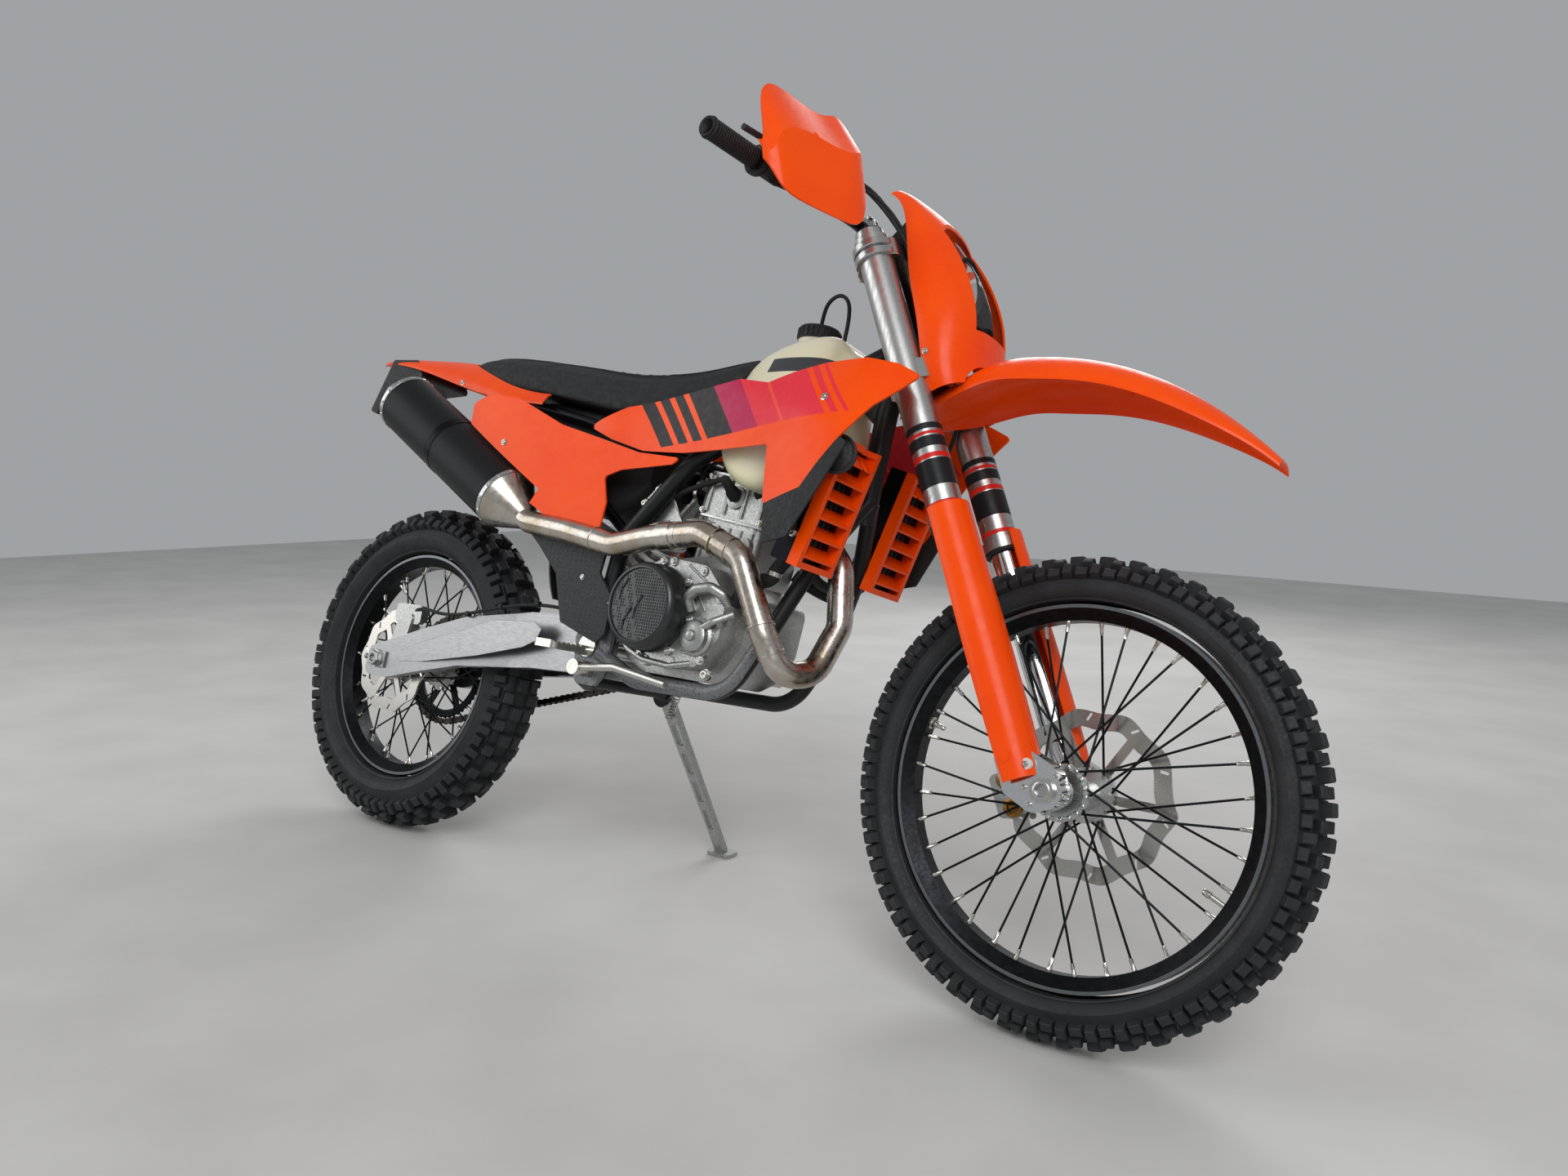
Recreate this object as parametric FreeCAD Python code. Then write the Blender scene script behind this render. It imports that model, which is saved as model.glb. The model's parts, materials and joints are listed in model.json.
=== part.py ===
"""Enduro dirt bike standing on its side stand.

Everything is drawn upright first, in the bike's own frame: x forward from the rear axle, y to the
bike's left, z up from the ground, in millimetres. What turns with the handlebar is drawn in the
fork's frame: ahead of, beside and up along the steering axis. settled() then leans the whole bike to
the left on its side stand and puts the origin under the middle of its bounding box.
"""
import FreeCAD, Part
import math
import os

V = FreeCAD.Vector

# Whole bike
WHEELBASE = 1482.0
FRONT_RADIUS = 348.0
REAR_RADIUS = 341.0
RAKE_DEG = 26.5
LEAN_DEG = 14.95
STEERING_STOP_DEG = 40.0

# Fits and clearances
RUNNING_FIT = 0.05
SEAT_GAP = 0.3
WORKING_GAP = 6.0
OVERRUN = 20.0

# Front wheel
FRONT_TYRE_HALF_WIDTH = 44.0
FRONT_TYRE_CROWN = 34.0
FRONT_TYRE_PITCHES = 36
FRONT_LUG_HEIGHT = 12.0
FRONT_LUG_LENGTH = 22.0
FRONT_LUG_WIDTH = 17.0
FRONT_CENTRE_LUG_WIDTH = 26.0
FRONT_RIM_RADIUS = 277.0
FRONT_RIM_HALF_WIDTH = 25.0
FRONT_HUB_FLANGE_RADIUS = 41.0
FRONT_HUB_HALF_WIDTH = 58.0
FRONT_HUB_BARREL_RADIUS = 24.0
FRONT_DISC_RADIUS = 130.0
FRONT_DISC_Y = 66.0

# Rear wheel
REAR_TYRE_HALF_WIDTH = 64.0
REAR_TYRE_CROWN = 50.0
REAR_TYRE_PITCHES = 28
REAR_LUG_HEIGHT = 15.0
REAR_LUG_LENGTH = 27.0
REAR_LUG_WIDTH = 22.0
REAR_CENTRE_LUG_WIDTH = 42.0
REAR_RIM_RADIUS = 240.0
REAR_RIM_HALF_WIDTH = 33.0
REAR_HUB_FLANGE_RADIUS = 48.0
REAR_HUB_HALF_WIDTH = 62.0
REAR_HUB_BARREL_RADIUS = 32.0
REAR_DISC_RADIUS = 110.0
REAR_DISC_Y = -74.0

# Pieces that both wheels share
RIM_DEPTH = 26.0
RIM_WALL = 3.0
HUB_FLANGE_WIDTH = 7.0
DISC_THICKNESS = 4.0
DISC_BAND = 26.0
DISC_WAVES = 10
DISC_WAVE_DEPTH = 7.0
DISC_SLOT_LENGTH = 13.0
DISC_SLOT_WIDTH = 4.0
DISC_SLOT_SLANT_DEG = 35.0
DISC_ARM_WIDTH = 14.0
DISC_ARM_COUNT = 6
DISC_BORE = 28.0
DISC_RING = 10.0
SPOKE_RADIUS = 1.8
SPOKE_COUNT = 36
SPOKE_LEAD_DEG = 40.0
SPOKE_FLANGE_SPREAD = 8.0
SPOKE_RIM_SPREAD = 4.6
SPOKE_RIM_Y = 7.0

# Axles
FRONT_AXLE_RADIUS = 12.0
FRONT_AXLE_BORE = 9.0
REAR_AXLE_RADIUS = 12.5
REAR_AXLE_BORE = 8.0
AXLE_NUT_RADIUS = 17.0
AXLE_NUT_WIDTH = 8.0

# Chain drive
CHAIN_Y = 78.0
CHAIN_HALF_WIDTH = 8.0
CHAIN_HALF_HEIGHT = 7.5
REAR_SPROCKET_RADIUS = 108.0
FRONT_SPROCKET_RADIUS = 32.0
SPROCKET_THICKNESS = 6.0
SPROCKET_BAND = 18.0
REAR_TEETH = 48
FRONT_TEETH = 14
TOOTH_DEPTH = 5.0
CHAIN_PITCH = 15.875
LINK_WAIST_DEPTH = 4.0
LINK_WAIST_LENGTH = 8.0

# Fork, clamps and steering stem
FORK_SPACING = 200.0
FORK_OFFSET = 22.0
AXLE_OFFSET = 55.0
FORK_TUBE_RADIUS = 28.5
FORK_TUBE_BOTTOM = 420.0
FORK_TOP = 942.0
FORK_CAP_HEIGHT = 14.0
FORK_WIPER_HEIGHT = 18.0
FORK_WIPER_WALL = 3.0
STANCHION_RADIUS = 24.0
LUG_HALF_WIDTH = 17.0
LUG_RADIUS = 26.0
LUG_TOP = 66.0
LUG_CORNER = 6.0
LOWER_CLAMP_HEIGHT = 664.0
UPPER_CLAMP_HEIGHT = 896.0
CLAMP_THICKNESS = 34.0
CLAMP_WALL = 11.0
STEM_RADIUS = 16.0
HEAD_TUBE_RADIUS = 28.0
FORK_GUARD_TOP = 446.0
FORK_GUARD_BOTTOM = 24.0
FORK_GUARD_WALL = 3.0
FORK_GUARD_RADIUS = 39.0
FORK_GUARD_BOSS = 8.0
CALIPER_LENGTH = 92.0
CALIPER_DEPTH = 46.0
CALIPER_HALF_WIDTH = 21.0
CALIPER_CORNER = 10.0
CALIPER_ARM_RADIUS = 9.0

# Front fender, headlight mask and headlight
FENDER_THICKNESS = 4.0
FRONT_FENDER_LENGTH = 500.0
FRONT_FENDER_HALF_WIDTH = 88.0
FRONT_FENDER_DROP = 46.0
MASK_HALF_WIDTH = 106.0
MASK_DEPTH = 96.0
MASK_THICKNESS = 4.0
LENS_HALF_WIDTH = 56.0
LENS_DEPTH = 40.0
MASK_REACH = 1052.0  # height up the steering axis that the mask's shares are of

# Handlebar and what sits on it
BAR_HEIGHT = 1052.0
BAR_CLAMP_HEIGHT = 1002.0
BAR_BACK = 62.0
BAR_RADIUS = 11.0
BAR_BEND = 60.0
BAR_HALF_WIDTH = 405.0
BAR_CLAMP_Y = 48.0
BAR_CLAMP_RADIUS = 18.0
BAR_RISE_Y = 96.0
GRIP_LENGTH = 122.0
GRIP_RADIUS = 16.0
GRIP_FLANGE_RADIUS = 25.0
GRIP_FLANGE_WIDTH = 6.0
PERCH_LENGTH = 46.0
PERCH_RADIUS = 19.0
RESERVOIR_LENGTH = 54.0
RESERVOIR_WIDTH = 30.0
RESERVOIR_HEIGHT = 26.0
LEVER_RADIUS = 5.0
LEVER_REACH = 66.0
HANDGUARD_THICKNESS = 4.0
HANDGUARD_BOW = 26.0
HANDGUARD_ARM_RADIUS = 6.0
INSTRUMENT_LENGTH = 66.0
INSTRUMENT_WIDTH = 112.0
INSTRUMENT_HEIGHT = 24.0

# Frame and subframe
FRAME_HALF_WIDTH = 106.0
SPAR_RADIUS = 16.0
SPAR_BEND = 90.0
CRADLE_RADIUS = 14.0
CRADLE_BEND = 80.0
DOWNTUBE_RADIUS = 19.0
SUBFRAME_RADIUS = 10.0
SUBFRAME_BEND = 120.0
PIVOT_PLATE_THICKNESS = 12.0
PIVOT_PLATE_CORNER = 18.0
GUSSET_HALF_WIDTH = 12.0

# Swingarm and rear suspension
PIVOT_RADIUS = 15.0
PIVOT_CAP_RADIUS = 20.0
PIVOT_CAP_WIDTH = 6.0
SWINGARM_OUTER = 114.0
SWINGARM_WIDTH = 22.0
SWINGARM_FRONT_OUTER = 86.0
SWINGARM_FRONT_WIDTH = 32.0
SWINGARM_CORNER = 12.0
SHOCK_BODY_RADIUS = 24.0
SHOCK_SPRING_RADIUS = 41.0
SHOCK_EYE_RADIUS = 22.0
SHOCK_EYE_WIDTH = 26.0
REAR_CALIPER_LENGTH = 84.0
REAR_CALIPER_HEIGHT = 40.0
REAR_CALIPER_HALF_WIDTH = 14.0
CALIPER_BRACKET_THICKNESS = 6.0

# Engine
CASE_HALF_WIDTH = 82.0
CASE_CORNER = 24.0
RIGHT_COVER_WIDTH = 46.0
LEFT_COVER_WIDTH = 30.0
CLUTCH_RADIUS = 78.0
CLUTCH_COVER_WIDTH = 48.0
IGNITION_RADIUS = 58.0
IGNITION_COVER_WIDTH = 16.0
COVER_CORNER = 8.0
BARREL_WIDTH = 136.0
BARREL_LENGTH = 140.0
BARREL_HEIGHT = 96.0
HEAD_WIDTH = 146.0
HEAD_LENGTH = 166.0
HEAD_HEIGHT = 78.0
HEAD_COVER_WIDTH = 110.0
HEAD_COVER_LENGTH = 140.0
HEAD_COVER_HEIGHT = 40.0
CYLINDER_CORNER = 20.0
CYLINDER_LEAN_DEG = 8.0
PUMP_RADIUS = 30.0
PUMP_DEPTH = 18.0

# Exhaust
PIPE_RADIUS = 22.0
PIPE_BEND = 50.0
PIPE_HALF_WIDTH = 158.0
SILENCER_RADIUS = 62.0
SILENCER_CONE_LENGTH = 70.0
SILENCER_CAP_LENGTH = 36.0

# Tank, seat and plastics
PANEL_THICKNESS = 4.0
TANK_HALF_WIDTH = 132.0
TANK_CORNER = 22.0
TANK_CAP_RADIUS = 36.0
TANK_CAP_HEIGHT = 22.0
SEAT_HALF_WIDTH = 94.0
SEAT_CORNER = 14.0
SHROUD_HALF_WIDTH = 220.0
SHROUD_CORNER = 6.0
SIDE_PANEL_HALF_WIDTH = 176.0
SIDE_PANEL_CORNER = 8.0
REAR_FENDER_HALF_WIDTH = 106.0
REAR_FENDER_DROP = 60.0
TAIL_HOLDER_HALF_WIDTH = 66.0
MUD_FLAP_HALF_WIDTH = 58.0
AIRBOX_HALF_WIDTH = 92.0
BOSS_RADIUS = 9.0
FRAME_GUARD_Y = 128.0
FRAME_GUARD_THICKNESS = 6.0

# Radiators and their louvres
RADIATOR_WIDTH = 104.0
RADIATOR_HEIGHT = 216.0
RADIATOR_DEPTH = 34.0
RADIATOR_INNER_Y = 62.0
RADIATOR_LEAN_DEG = 15.0
LOUVRE_DEPTH = 22.0
LOUVRE_RIM = 10.0
LOUVRE_SLATS = 6
LOUVRE_SLAT_THICKNESS = 3.0
LOUVRE_SLAT_DEG = 38.0

# Foot controls
PEG_LENGTH = 84.0
PEG_WIDTH = 54.0
PEG_HEIGHT = 14.0
PEG_RIM = 5.0
PEG_TEETH = 7
PEG_TOOTH_DEPTH = 5.0
PEG_ARM_RADIUS = 9.0
PEG_ROOT_Y = 140.0
PEDAL_RADIUS = 7.0
PEDAL_Y = 146.0
PEDAL_BEND = 30.0
SHIFTER_RADIUS = 6.0
SHIFTER_Y = 132.0

# Side stand
STAND_AXIS_DEG = 24.5
STAND_STOWED_DEG = 100.0
STAND_FOOT_Y = 314.0
STAND_LEG_TOP_WIDTH = 30.0
STAND_LEG_FOOT_WIDTH = 22.0
STAND_LEG_THICKNESS = 14.0
STAND_LEG_RIM = 6.0
STAND_EYE_RADIUS = 16.0
STAND_EYE_WIDTH = 16.0
STAND_PIN_RADIUS = 7.0
STAND_PIVOT_Y = 124.0
STAND_PAD_LENGTH = 56.0
STAND_PAD_WIDTH = 40.0
STAND_PAD_THICKNESS = 8.0
STAND_PAD_CORNER = 10.0

RAKE = math.radians(RAKE_DEG)
LEAN = math.radians(LEAN_DEG)
X_AXIS = V(1, 0, 0)
Y_AXIS = V(0, 1, 0)
Z_AXIS = V(0, 0, 1)
ORIGIN = V(0, 0, 0)
UP_FORK = V(-math.sin(RAKE), 0, math.cos(RAKE))
AHEAD_FORK = V(math.cos(RAKE), 0, math.sin(RAKE))
REAR_AXLE = V(0, 0, REAR_RADIUS)
FRONT_AXLE = V(WHEELBASE, 0, FRONT_RADIUS)
STEERING_FOOT = FRONT_AXLE - AHEAD_FORK * AXLE_OFFSET
FORK_SIDE = FORK_SPACING / 2


def in_fork(ahead, side, up):
    """A point ahead of, beside and up along the steering axis, counted from the axle's height."""
    return STEERING_FOOT + AHEAD_FORK * ahead + V(0, side, 0) + UP_FORK * up


# The steering head ties the body's places together: x shares count from the rear axle to it, and z
# shares from the ground to it
STEERING_HEAD = in_fork(0, 0, (LOWER_CLAMP_HEIGHT + UPPER_CLAMP_HEIGHT + CLAMP_THICKNESS) / 2)


def in_body(x_share, y, z_share):
    return V(STEERING_HEAD.x * x_share, y, STEERING_HEAD.z * z_share)


def mirrored(shape):
    """The other side's copy of a shape."""
    return shape.mirror(ORIGIN, Y_AXIS)


def both_sides(shape):
    return Part.Compound([shape, mirrored(shape)])


def fused(first, *others):
    return first.multiFuse(list(others)).removeSplitter()


def largest(shape):
    """The biggest solid of a shape, without what a cut left beside it."""
    return max(shape.Solids, key=lambda solid: solid.Volume)


def carved(shape, *others):
    """What is left of a solid where the others have their place."""
    return largest(shape.cut(list(others)))


def rod(start, end, radius):
    """A round bar from one point to another."""
    return Part.makeCylinder(radius, (end - start).Length, start, end - start)


def cross_rod(centre, radius, y_low, y_high):
    """A round bar across the bike."""
    return rod(V(centre.x, y_low, centre.z), V(centre.x, y_high, centre.z), radius)


def ring(centre, outer, inner, y_low, y_high):
    """A flat ring across the bike."""
    return cross_rod(centre, outer, y_low, y_high).cut(cross_rod(centre, inner, y_low, y_high))


def corner_arc(before, corner, after, radius, share):
    """The tangent arc that rounds a corner, or nothing where the corner is straight or sharp."""
    to_before = before - corner
    to_after = after - corner
    half_turn = to_before.getAngle(to_after) / 2
    limit = min(to_before.Length, to_after.Length) * share
    setback = min(radius / math.tan(half_turn), limit)
    if radius == 0 or half_turn > math.radians(89.9):
        return corner, None, corner
    to_before.normalize()
    to_after.normalize()
    reach = setback * math.tan(half_turn) * (1 / math.sin(half_turn) - 1)
    middle = corner + (to_before + to_after).normalize() * reach
    first = corner + to_before * setback
    last = corner + to_after * setback
    return first, Part.Arc(first, middle, last).toShape(), last


def rounded_outline(points, radii):
    """A closed outline through the points, each corner rounded by one radius or by its own."""
    if not isinstance(radii, (list, tuple)):
        radii = [radii] * len(points)
    count = len(points)
    corners = [corner_arc(points[i - 1], points[i], points[(i + 1) % count], radii[i], 0.48)
               for i in range(count)]
    edges = []
    for i, (first, arc, last) in enumerate(corners):
        if arc is not None:
            edges.append(arc)
        edges.append(Part.LineSegment(last, corners[(i + 1) % count][0]).toShape())
    return Part.Wire(edges)


def rounded_path(points, bend):
    """Straight runs joined by tangent arcs of one radius, or less where the runs are short."""
    edges = []
    last = points[0]
    for before, corner, after in zip(points, points[1:], points[2:]):
        first, arc, following = corner_arc(before, corner, after, bend, 0.49)
        edges.append(Part.LineSegment(last, first).toShape())
        if arc is not None:
            edges.append(arc)
        last = following
    edges.append(Part.LineSegment(last, points[-1]).toShape())
    return Part.Wire(edges)


def bent_tube(points, bend, radius):
    """A solid round bar bent along a path."""
    circle = Part.Wire([Part.makeCircle(radius, points[0], points[1] - points[0])])
    return rounded_path(points, bend).makePipeShell([circle], True, False)


def side_plate(points, radii, y_low, y_high):
    """A plate with the same outline in side view from one y to another."""
    wire = rounded_outline([V(p.x, y_low, p.z) for p in points], radii)
    return Part.Face(wire).extrude(V(0, y_high - y_low, 0))


def body_outline(shares):
    return [in_body(x, 0, z) for x, z in shares]


def spline(points):
    curve = Part.BSplineCurve()
    curve.interpolate(points)
    return curve.toShape()


def skin(lines, thickness, inward):
    """A thick skin lofted through open curves, its thickness laid along one direction."""
    sections = []
    for line in lines:
        inner = [p + inward * thickness for p in line]
        sections.append(Part.Wire([
            spline(line),
            Part.LineSegment(line[-1], inner[-1]).toShape(),
            spline(inner[::-1]),
            Part.LineSegment(inner[0], line[0]).toShape(),
        ]))
    return Part.makeLoft(sections, True, False)


def spun(profile, centre):
    """A solid of revolution about a wheel's axle from (radius, y) pairs."""
    wire = Part.makePolygon([centre + V(0, y, r) for r, y in profile + profile[:1]])
    return Part.Face(wire).revolve(centre, Y_AXIS, 360)


# Wheels
TYRE_BEAD_SHARE = 0.62
TYRE_WIDEST_SHARE = 0.88
TYRE_WIDEST_LEVEL_SHARE = 0.45
TYRE_SHOULDER_DEG = 60.0
TYRE_CROWN_FLAT_DEG = 20.0
MIDDLE_LUG_DEG = 29.0
RIM_FLOOR_SHARE = 0.55


def faceted_ring(centre, profile, pitches):
    """A ring with one flat facet a pitch, each flat as far from the axle as the profile says."""
    step = 2 * math.pi / pitches
    widen = 1 / math.cos(step / 2)

    def at(turn, radius, y):
        return centre + V(radius * widen * math.sin(turn * step), y, radius * widen * math.cos(turn * step))
    faces = []
    for i in range(pitches):
        for (near, near_y), (far, far_y) in zip(profile, profile[1:] + profile[:1]):
            corners = [at(i - 0.5, near, near_y), at(i - 0.5, far, far_y), at(i + 0.5, far, far_y),
                       at(i + 0.5, near, near_y)]
            faces.append(Part.Face(Part.makePolygon(corners + corners[:1])))
    solid = Part.Solid(Part.Shell(faces))
    if solid.Volume < 0:
        solid.reverse()
    return solid


def lug(centre, radius, crown, height, tilt_deg, width, length, turn_deg):
    """A tread lug that stands on the crown, tilted to one side and turned about the axle."""
    root = height / 2
    block = Part.makeBox(length, width, height + root,
                         centre + V(-length / 2, -width / 2, radius - height - root))
    block = block.rotated(centre + V(0, 0, radius - height - crown), X_AXIS, -tilt_deg)
    return block.rotated(centre, Y_AXIS, turn_deg)


def tyre(centre, radius, half_width, crown, pitches, lug_height, lug_length, lug_width, centre_width, rim_radius):
    """A knobbly tyre: rows with a wide centre lug and shoulder lugs, and rows of middle lugs between."""
    top = radius - lug_height
    bead = rim_radius - RIM_WALL

    def on_crown(angle_deg):
        angle = math.radians(angle_deg)
        return top - crown * (1 - math.cos(angle)), crown * math.sin(angle)
    shoulder = on_crown(TYRE_SHOULDER_DEG)
    widest = bead + (shoulder[0] - bead) * TYRE_WIDEST_LEVEL_SHARE
    half = [(bead, half_width * TYRE_BEAD_SHARE), (widest, half_width * TYRE_WIDEST_SHARE), shoulder,
            on_crown(TYRE_CROWN_FLAT_DEG)]
    carcass = faceted_ring(centre, half + [(r, -y) for r, y in half[::-1]], pitches)
    centre_row = [(0, centre_width), (TYRE_SHOULDER_DEG, lug_width), (-TYRE_SHOULDER_DEG, lug_width)]
    middle_row = [(MIDDLE_LUG_DEG, lug_width), (-MIDDLE_LUG_DEG, lug_width)]
    lugs = [lug(centre, radius, crown, lug_height, tilt, width, lug_length, 360 * i / pitches)
            for i in range(pitches) for tilt, width in (middle_row if i % 2 else centre_row)]
    return fused(carcass, *lugs)


def rim_floor(rim_radius):
    return rim_radius - RIM_DEPTH


def rim(centre, radius, half_width):
    """A drop-centre rim that the tyre sits on."""
    seat = radius - RIM_WALL - SEAT_GAP
    flat = half_width * RIM_FLOOR_SHARE
    half = [(seat, half_width), (seat - 2 * RIM_WALL, half_width), (rim_floor(radius), flat)]
    return spun(half + [(r, -y) for r, y in half[::-1]], centre)


def hub(centre, flange_radius, half_width, barrel_radius, axle_radius):
    flange_middle = half_width - HUB_FLANGE_WIDTH
    half = [
        (axle_radius + RUNNING_FIT, half_width),
        (barrel_radius, half_width),
        (flange_radius, flange_middle + HUB_FLANGE_WIDTH / 2),
        (flange_radius, flange_middle - HUB_FLANGE_WIDTH / 2),
        (barrel_radius, flange_middle - HUB_FLANGE_WIDTH),
    ]
    return spun(half + [(r, -y) for r, y in half[::-1]], centre)


def spokes(centre, flange_radius, half_width, rim_radius):
    """Crossed spokes from both hub flanges to the rim's floor, laced so that none touches another."""
    flange_middle = half_width - HUB_FLANGE_WIDTH
    inner = flange_radius - 2 * SPOKE_RADIUS
    outer = rim_floor(rim_radius) + RIM_WALL
    wires = []
    for i in range(SPOKE_COUNT):
        side = 1 if i % 2 else -1
        lace = 1 if (i // 2) % 2 else -1
        at_rim = 2 * math.pi * i / SPOKE_COUNT
        at_hub = at_rim + math.radians(SPOKE_LEAD_DEG) * lace
        hub_y = side * (flange_middle + lace * SPOKE_FLANGE_SPREAD / 2)
        rim_y = side * (SPOKE_RIM_Y + lace * SPOKE_RIM_SPREAD / 2)
        start = centre + V(inner * math.cos(at_hub), hub_y, inner * math.sin(at_hub))
        end = centre + V(outer * math.cos(at_rim), rim_y, outer * math.sin(at_rim))
        wires.append(rod(start, end, SPOKE_RADIUS))
    return Part.Compound(wires)


def spider(centre, y_low, y_high, core, reach, arm_width):
    """Flat arms from a round core out to a band."""
    length = reach - core
    arm = Part.makeBox(length, y_high - y_low, arm_width, V(centre.x + core, y_low, centre.z - arm_width / 2))
    return [arm.rotated(centre, Y_AXIS, 360 * i / DISC_ARM_COUNT) for i in range(DISC_ARM_COUNT)]


def wave_plate(centre, radius, y_low, y_high):
    """A flat plate whose edge waves between its radius and its wave's depth inside it."""
    points = []
    for i in range(2 * DISC_WAVES):
        reach = radius - DISC_WAVE_DEPTH * (i % 2)
        turn = math.pi * i / DISC_WAVES
        points.append(centre + V(reach * math.cos(turn), y_low, reach * math.sin(turn)))
    edge = Part.BSplineCurve()
    edge.interpolate(Points=points, PeriodicFlag=True)
    return Part.Face(Part.Wire(edge.toShape())).extrude(V(0, y_high - y_low, 0))


def disc_slots(centre, radius, y_low, y_high):
    """Slots through the braking band, one a wave, each slanted to the radius."""
    middle = radius - DISC_BAND / 2
    slot = Part.makeBox(DISC_SLOT_LENGTH, y_high - y_low, DISC_SLOT_WIDTH,
                        centre + V(middle - DISC_SLOT_LENGTH / 2, y_low - centre.y, -DISC_SLOT_WIDTH / 2))
    slot = slot.rotated(centre + V(middle, 0, 0), Y_AXIS, DISC_SLOT_SLANT_DEG)
    return [slot.rotated(centre, Y_AXIS, 360 * (i + 0.25) / DISC_WAVES) for i in range(DISC_WAVES)]


def brake_disc(centre, radius, y, hub_end):
    """A waved and slotted braking band on arms, with a ring that seats on the hub's end."""
    low = y - DISC_THICKNESS / 2
    high = y + DISC_THICKNESS / 2
    band = wave_plate(centre, radius, low, high).cut(wave_plate(centre, radius - DISC_BAND, low, high))
    carrier = ring(centre, DISC_BORE + DISC_RING, DISC_BORE, min(low, hub_end), max(high, hub_end))
    arms = spider(centre, low, high, DISC_BORE + DISC_RING / 2, radius - DISC_BAND / 2 - DISC_WAVE_DEPTH,
                  DISC_ARM_WIDTH)
    return carved(fused(band, carrier, *arms), *disc_slots(centre, radius, low, high))


def make_wheels(parts):
    parts["front_tyre"] = tyre(FRONT_AXLE, FRONT_RADIUS, FRONT_TYRE_HALF_WIDTH, FRONT_TYRE_CROWN,
                               FRONT_TYRE_PITCHES, FRONT_LUG_HEIGHT, FRONT_LUG_LENGTH, FRONT_LUG_WIDTH,
                               FRONT_CENTRE_LUG_WIDTH, FRONT_RIM_RADIUS)
    parts["front_rim"] = rim(FRONT_AXLE, FRONT_RIM_RADIUS, FRONT_RIM_HALF_WIDTH)
    parts["front_hub"] = hub(FRONT_AXLE, FRONT_HUB_FLANGE_RADIUS, FRONT_HUB_HALF_WIDTH,
                             FRONT_HUB_BARREL_RADIUS, FRONT_AXLE_RADIUS)
    parts["front_spokes"] = spokes(FRONT_AXLE, FRONT_HUB_FLANGE_RADIUS, FRONT_HUB_HALF_WIDTH,
                                   FRONT_RIM_RADIUS)
    parts["front_disc"] = brake_disc(FRONT_AXLE, FRONT_DISC_RADIUS, FRONT_DISC_Y, FRONT_HUB_HALF_WIDTH)
    parts["rear_tyre"] = tyre(REAR_AXLE, REAR_RADIUS, REAR_TYRE_HALF_WIDTH, REAR_TYRE_CROWN,
                              REAR_TYRE_PITCHES, REAR_LUG_HEIGHT, REAR_LUG_LENGTH, REAR_LUG_WIDTH,
                              REAR_CENTRE_LUG_WIDTH, REAR_RIM_RADIUS)
    parts["rear_rim"] = rim(REAR_AXLE, REAR_RIM_RADIUS, REAR_RIM_HALF_WIDTH)
    parts["rear_hub"] = hub(REAR_AXLE, REAR_HUB_FLANGE_RADIUS, REAR_HUB_HALF_WIDTH, REAR_HUB_BARREL_RADIUS,
                            REAR_AXLE_RADIUS)
    parts["rear_spokes"] = spokes(REAR_AXLE, REAR_HUB_FLANGE_RADIUS, REAR_HUB_HALF_WIDTH, REAR_RIM_RADIUS)
    parts["rear_disc"] = brake_disc(REAR_AXLE, REAR_DISC_RADIUS, REAR_DISC_Y, -REAR_HUB_HALF_WIDTH)
    parts["rear_sprocket"] = rear_sprocket()


def toothed_plate(centre, radius, teeth, y_low, y_high):
    """A flat plate with teeth round its edge."""
    points = []
    for i in range(2 * teeth):
        reach = radius - TOOTH_DEPTH * (i % 2)
        turn = math.pi * i / teeth
        points.append(centre + V(reach * math.cos(turn), y_low, reach * math.sin(turn)))
    return Part.Face(Part.makePolygon(points + points[:1])).extrude(V(0, y_high - y_low, 0))


def rear_sprocket():
    low = CHAIN_Y - SPROCKET_THICKNESS / 2
    high = CHAIN_Y + SPROCKET_THICKNESS / 2
    inner = REAR_SPROCKET_RADIUS - SPROCKET_BAND
    band = toothed_plate(REAR_AXLE, REAR_SPROCKET_RADIUS, REAR_TEETH, low, high)
    band = band.cut(cross_rod(REAR_AXLE, inner, low, high))
    carrier = ring(REAR_AXLE, DISC_BORE + DISC_RING, DISC_BORE, REAR_HUB_HALF_WIDTH, high)
    arms = spider(REAR_AXLE, low, high, DISC_BORE + DISC_RING / 2, inner + TOOTH_DEPTH, DISC_ARM_WIDTH)
    return fused(band, carrier, *arms)


def hollow_axle(centre, radius, bore, half_length):
    """A hollow axle with a nut at each end, beyond what it clamps."""
    end = half_length + AXLE_NUT_WIDTH
    nuts = [cross_rod(centre, AXLE_NUT_RADIUS, -end, -half_length),
            cross_rod(centre, AXLE_NUT_RADIUS, half_length, end)]
    return fused(cross_rod(centre, radius, -end, end), *nuts).cut(cross_rod(centre, bore, -end, end))


def make_axles(parts):
    parts["front_axle"] = hollow_axle(FRONT_AXLE, FRONT_AXLE_RADIUS, FRONT_AXLE_BORE,
                                      FORK_SIDE + LUG_HALF_WIDTH)
    pivot_end = FRAME_HALF_WIDTH + PIVOT_PLATE_THICKNESS / 2
    bolt = fused(cross_rod(PIVOT, PIVOT_RADIUS, -pivot_end, pivot_end),
                 cross_rod(PIVOT, PIVOT_CAP_RADIUS, -pivot_end - PIVOT_CAP_WIDTH, -pivot_end),
                 cross_rod(PIVOT, PIVOT_CAP_RADIUS, pivot_end, pivot_end + PIVOT_CAP_WIDTH))
    rear = hollow_axle(REAR_AXLE, REAR_AXLE_RADIUS, REAR_AXLE_BORE, SWINGARM_OUTER)
    parts["axle_and_pivot"] = Part.Compound([rear, bolt])


# Fork and clamps
def leg_rod(side, low, high, radius):
    return rod(in_fork(FORK_OFFSET, side, low), in_fork(FORK_OFFSET, side, high), radius)


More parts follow.
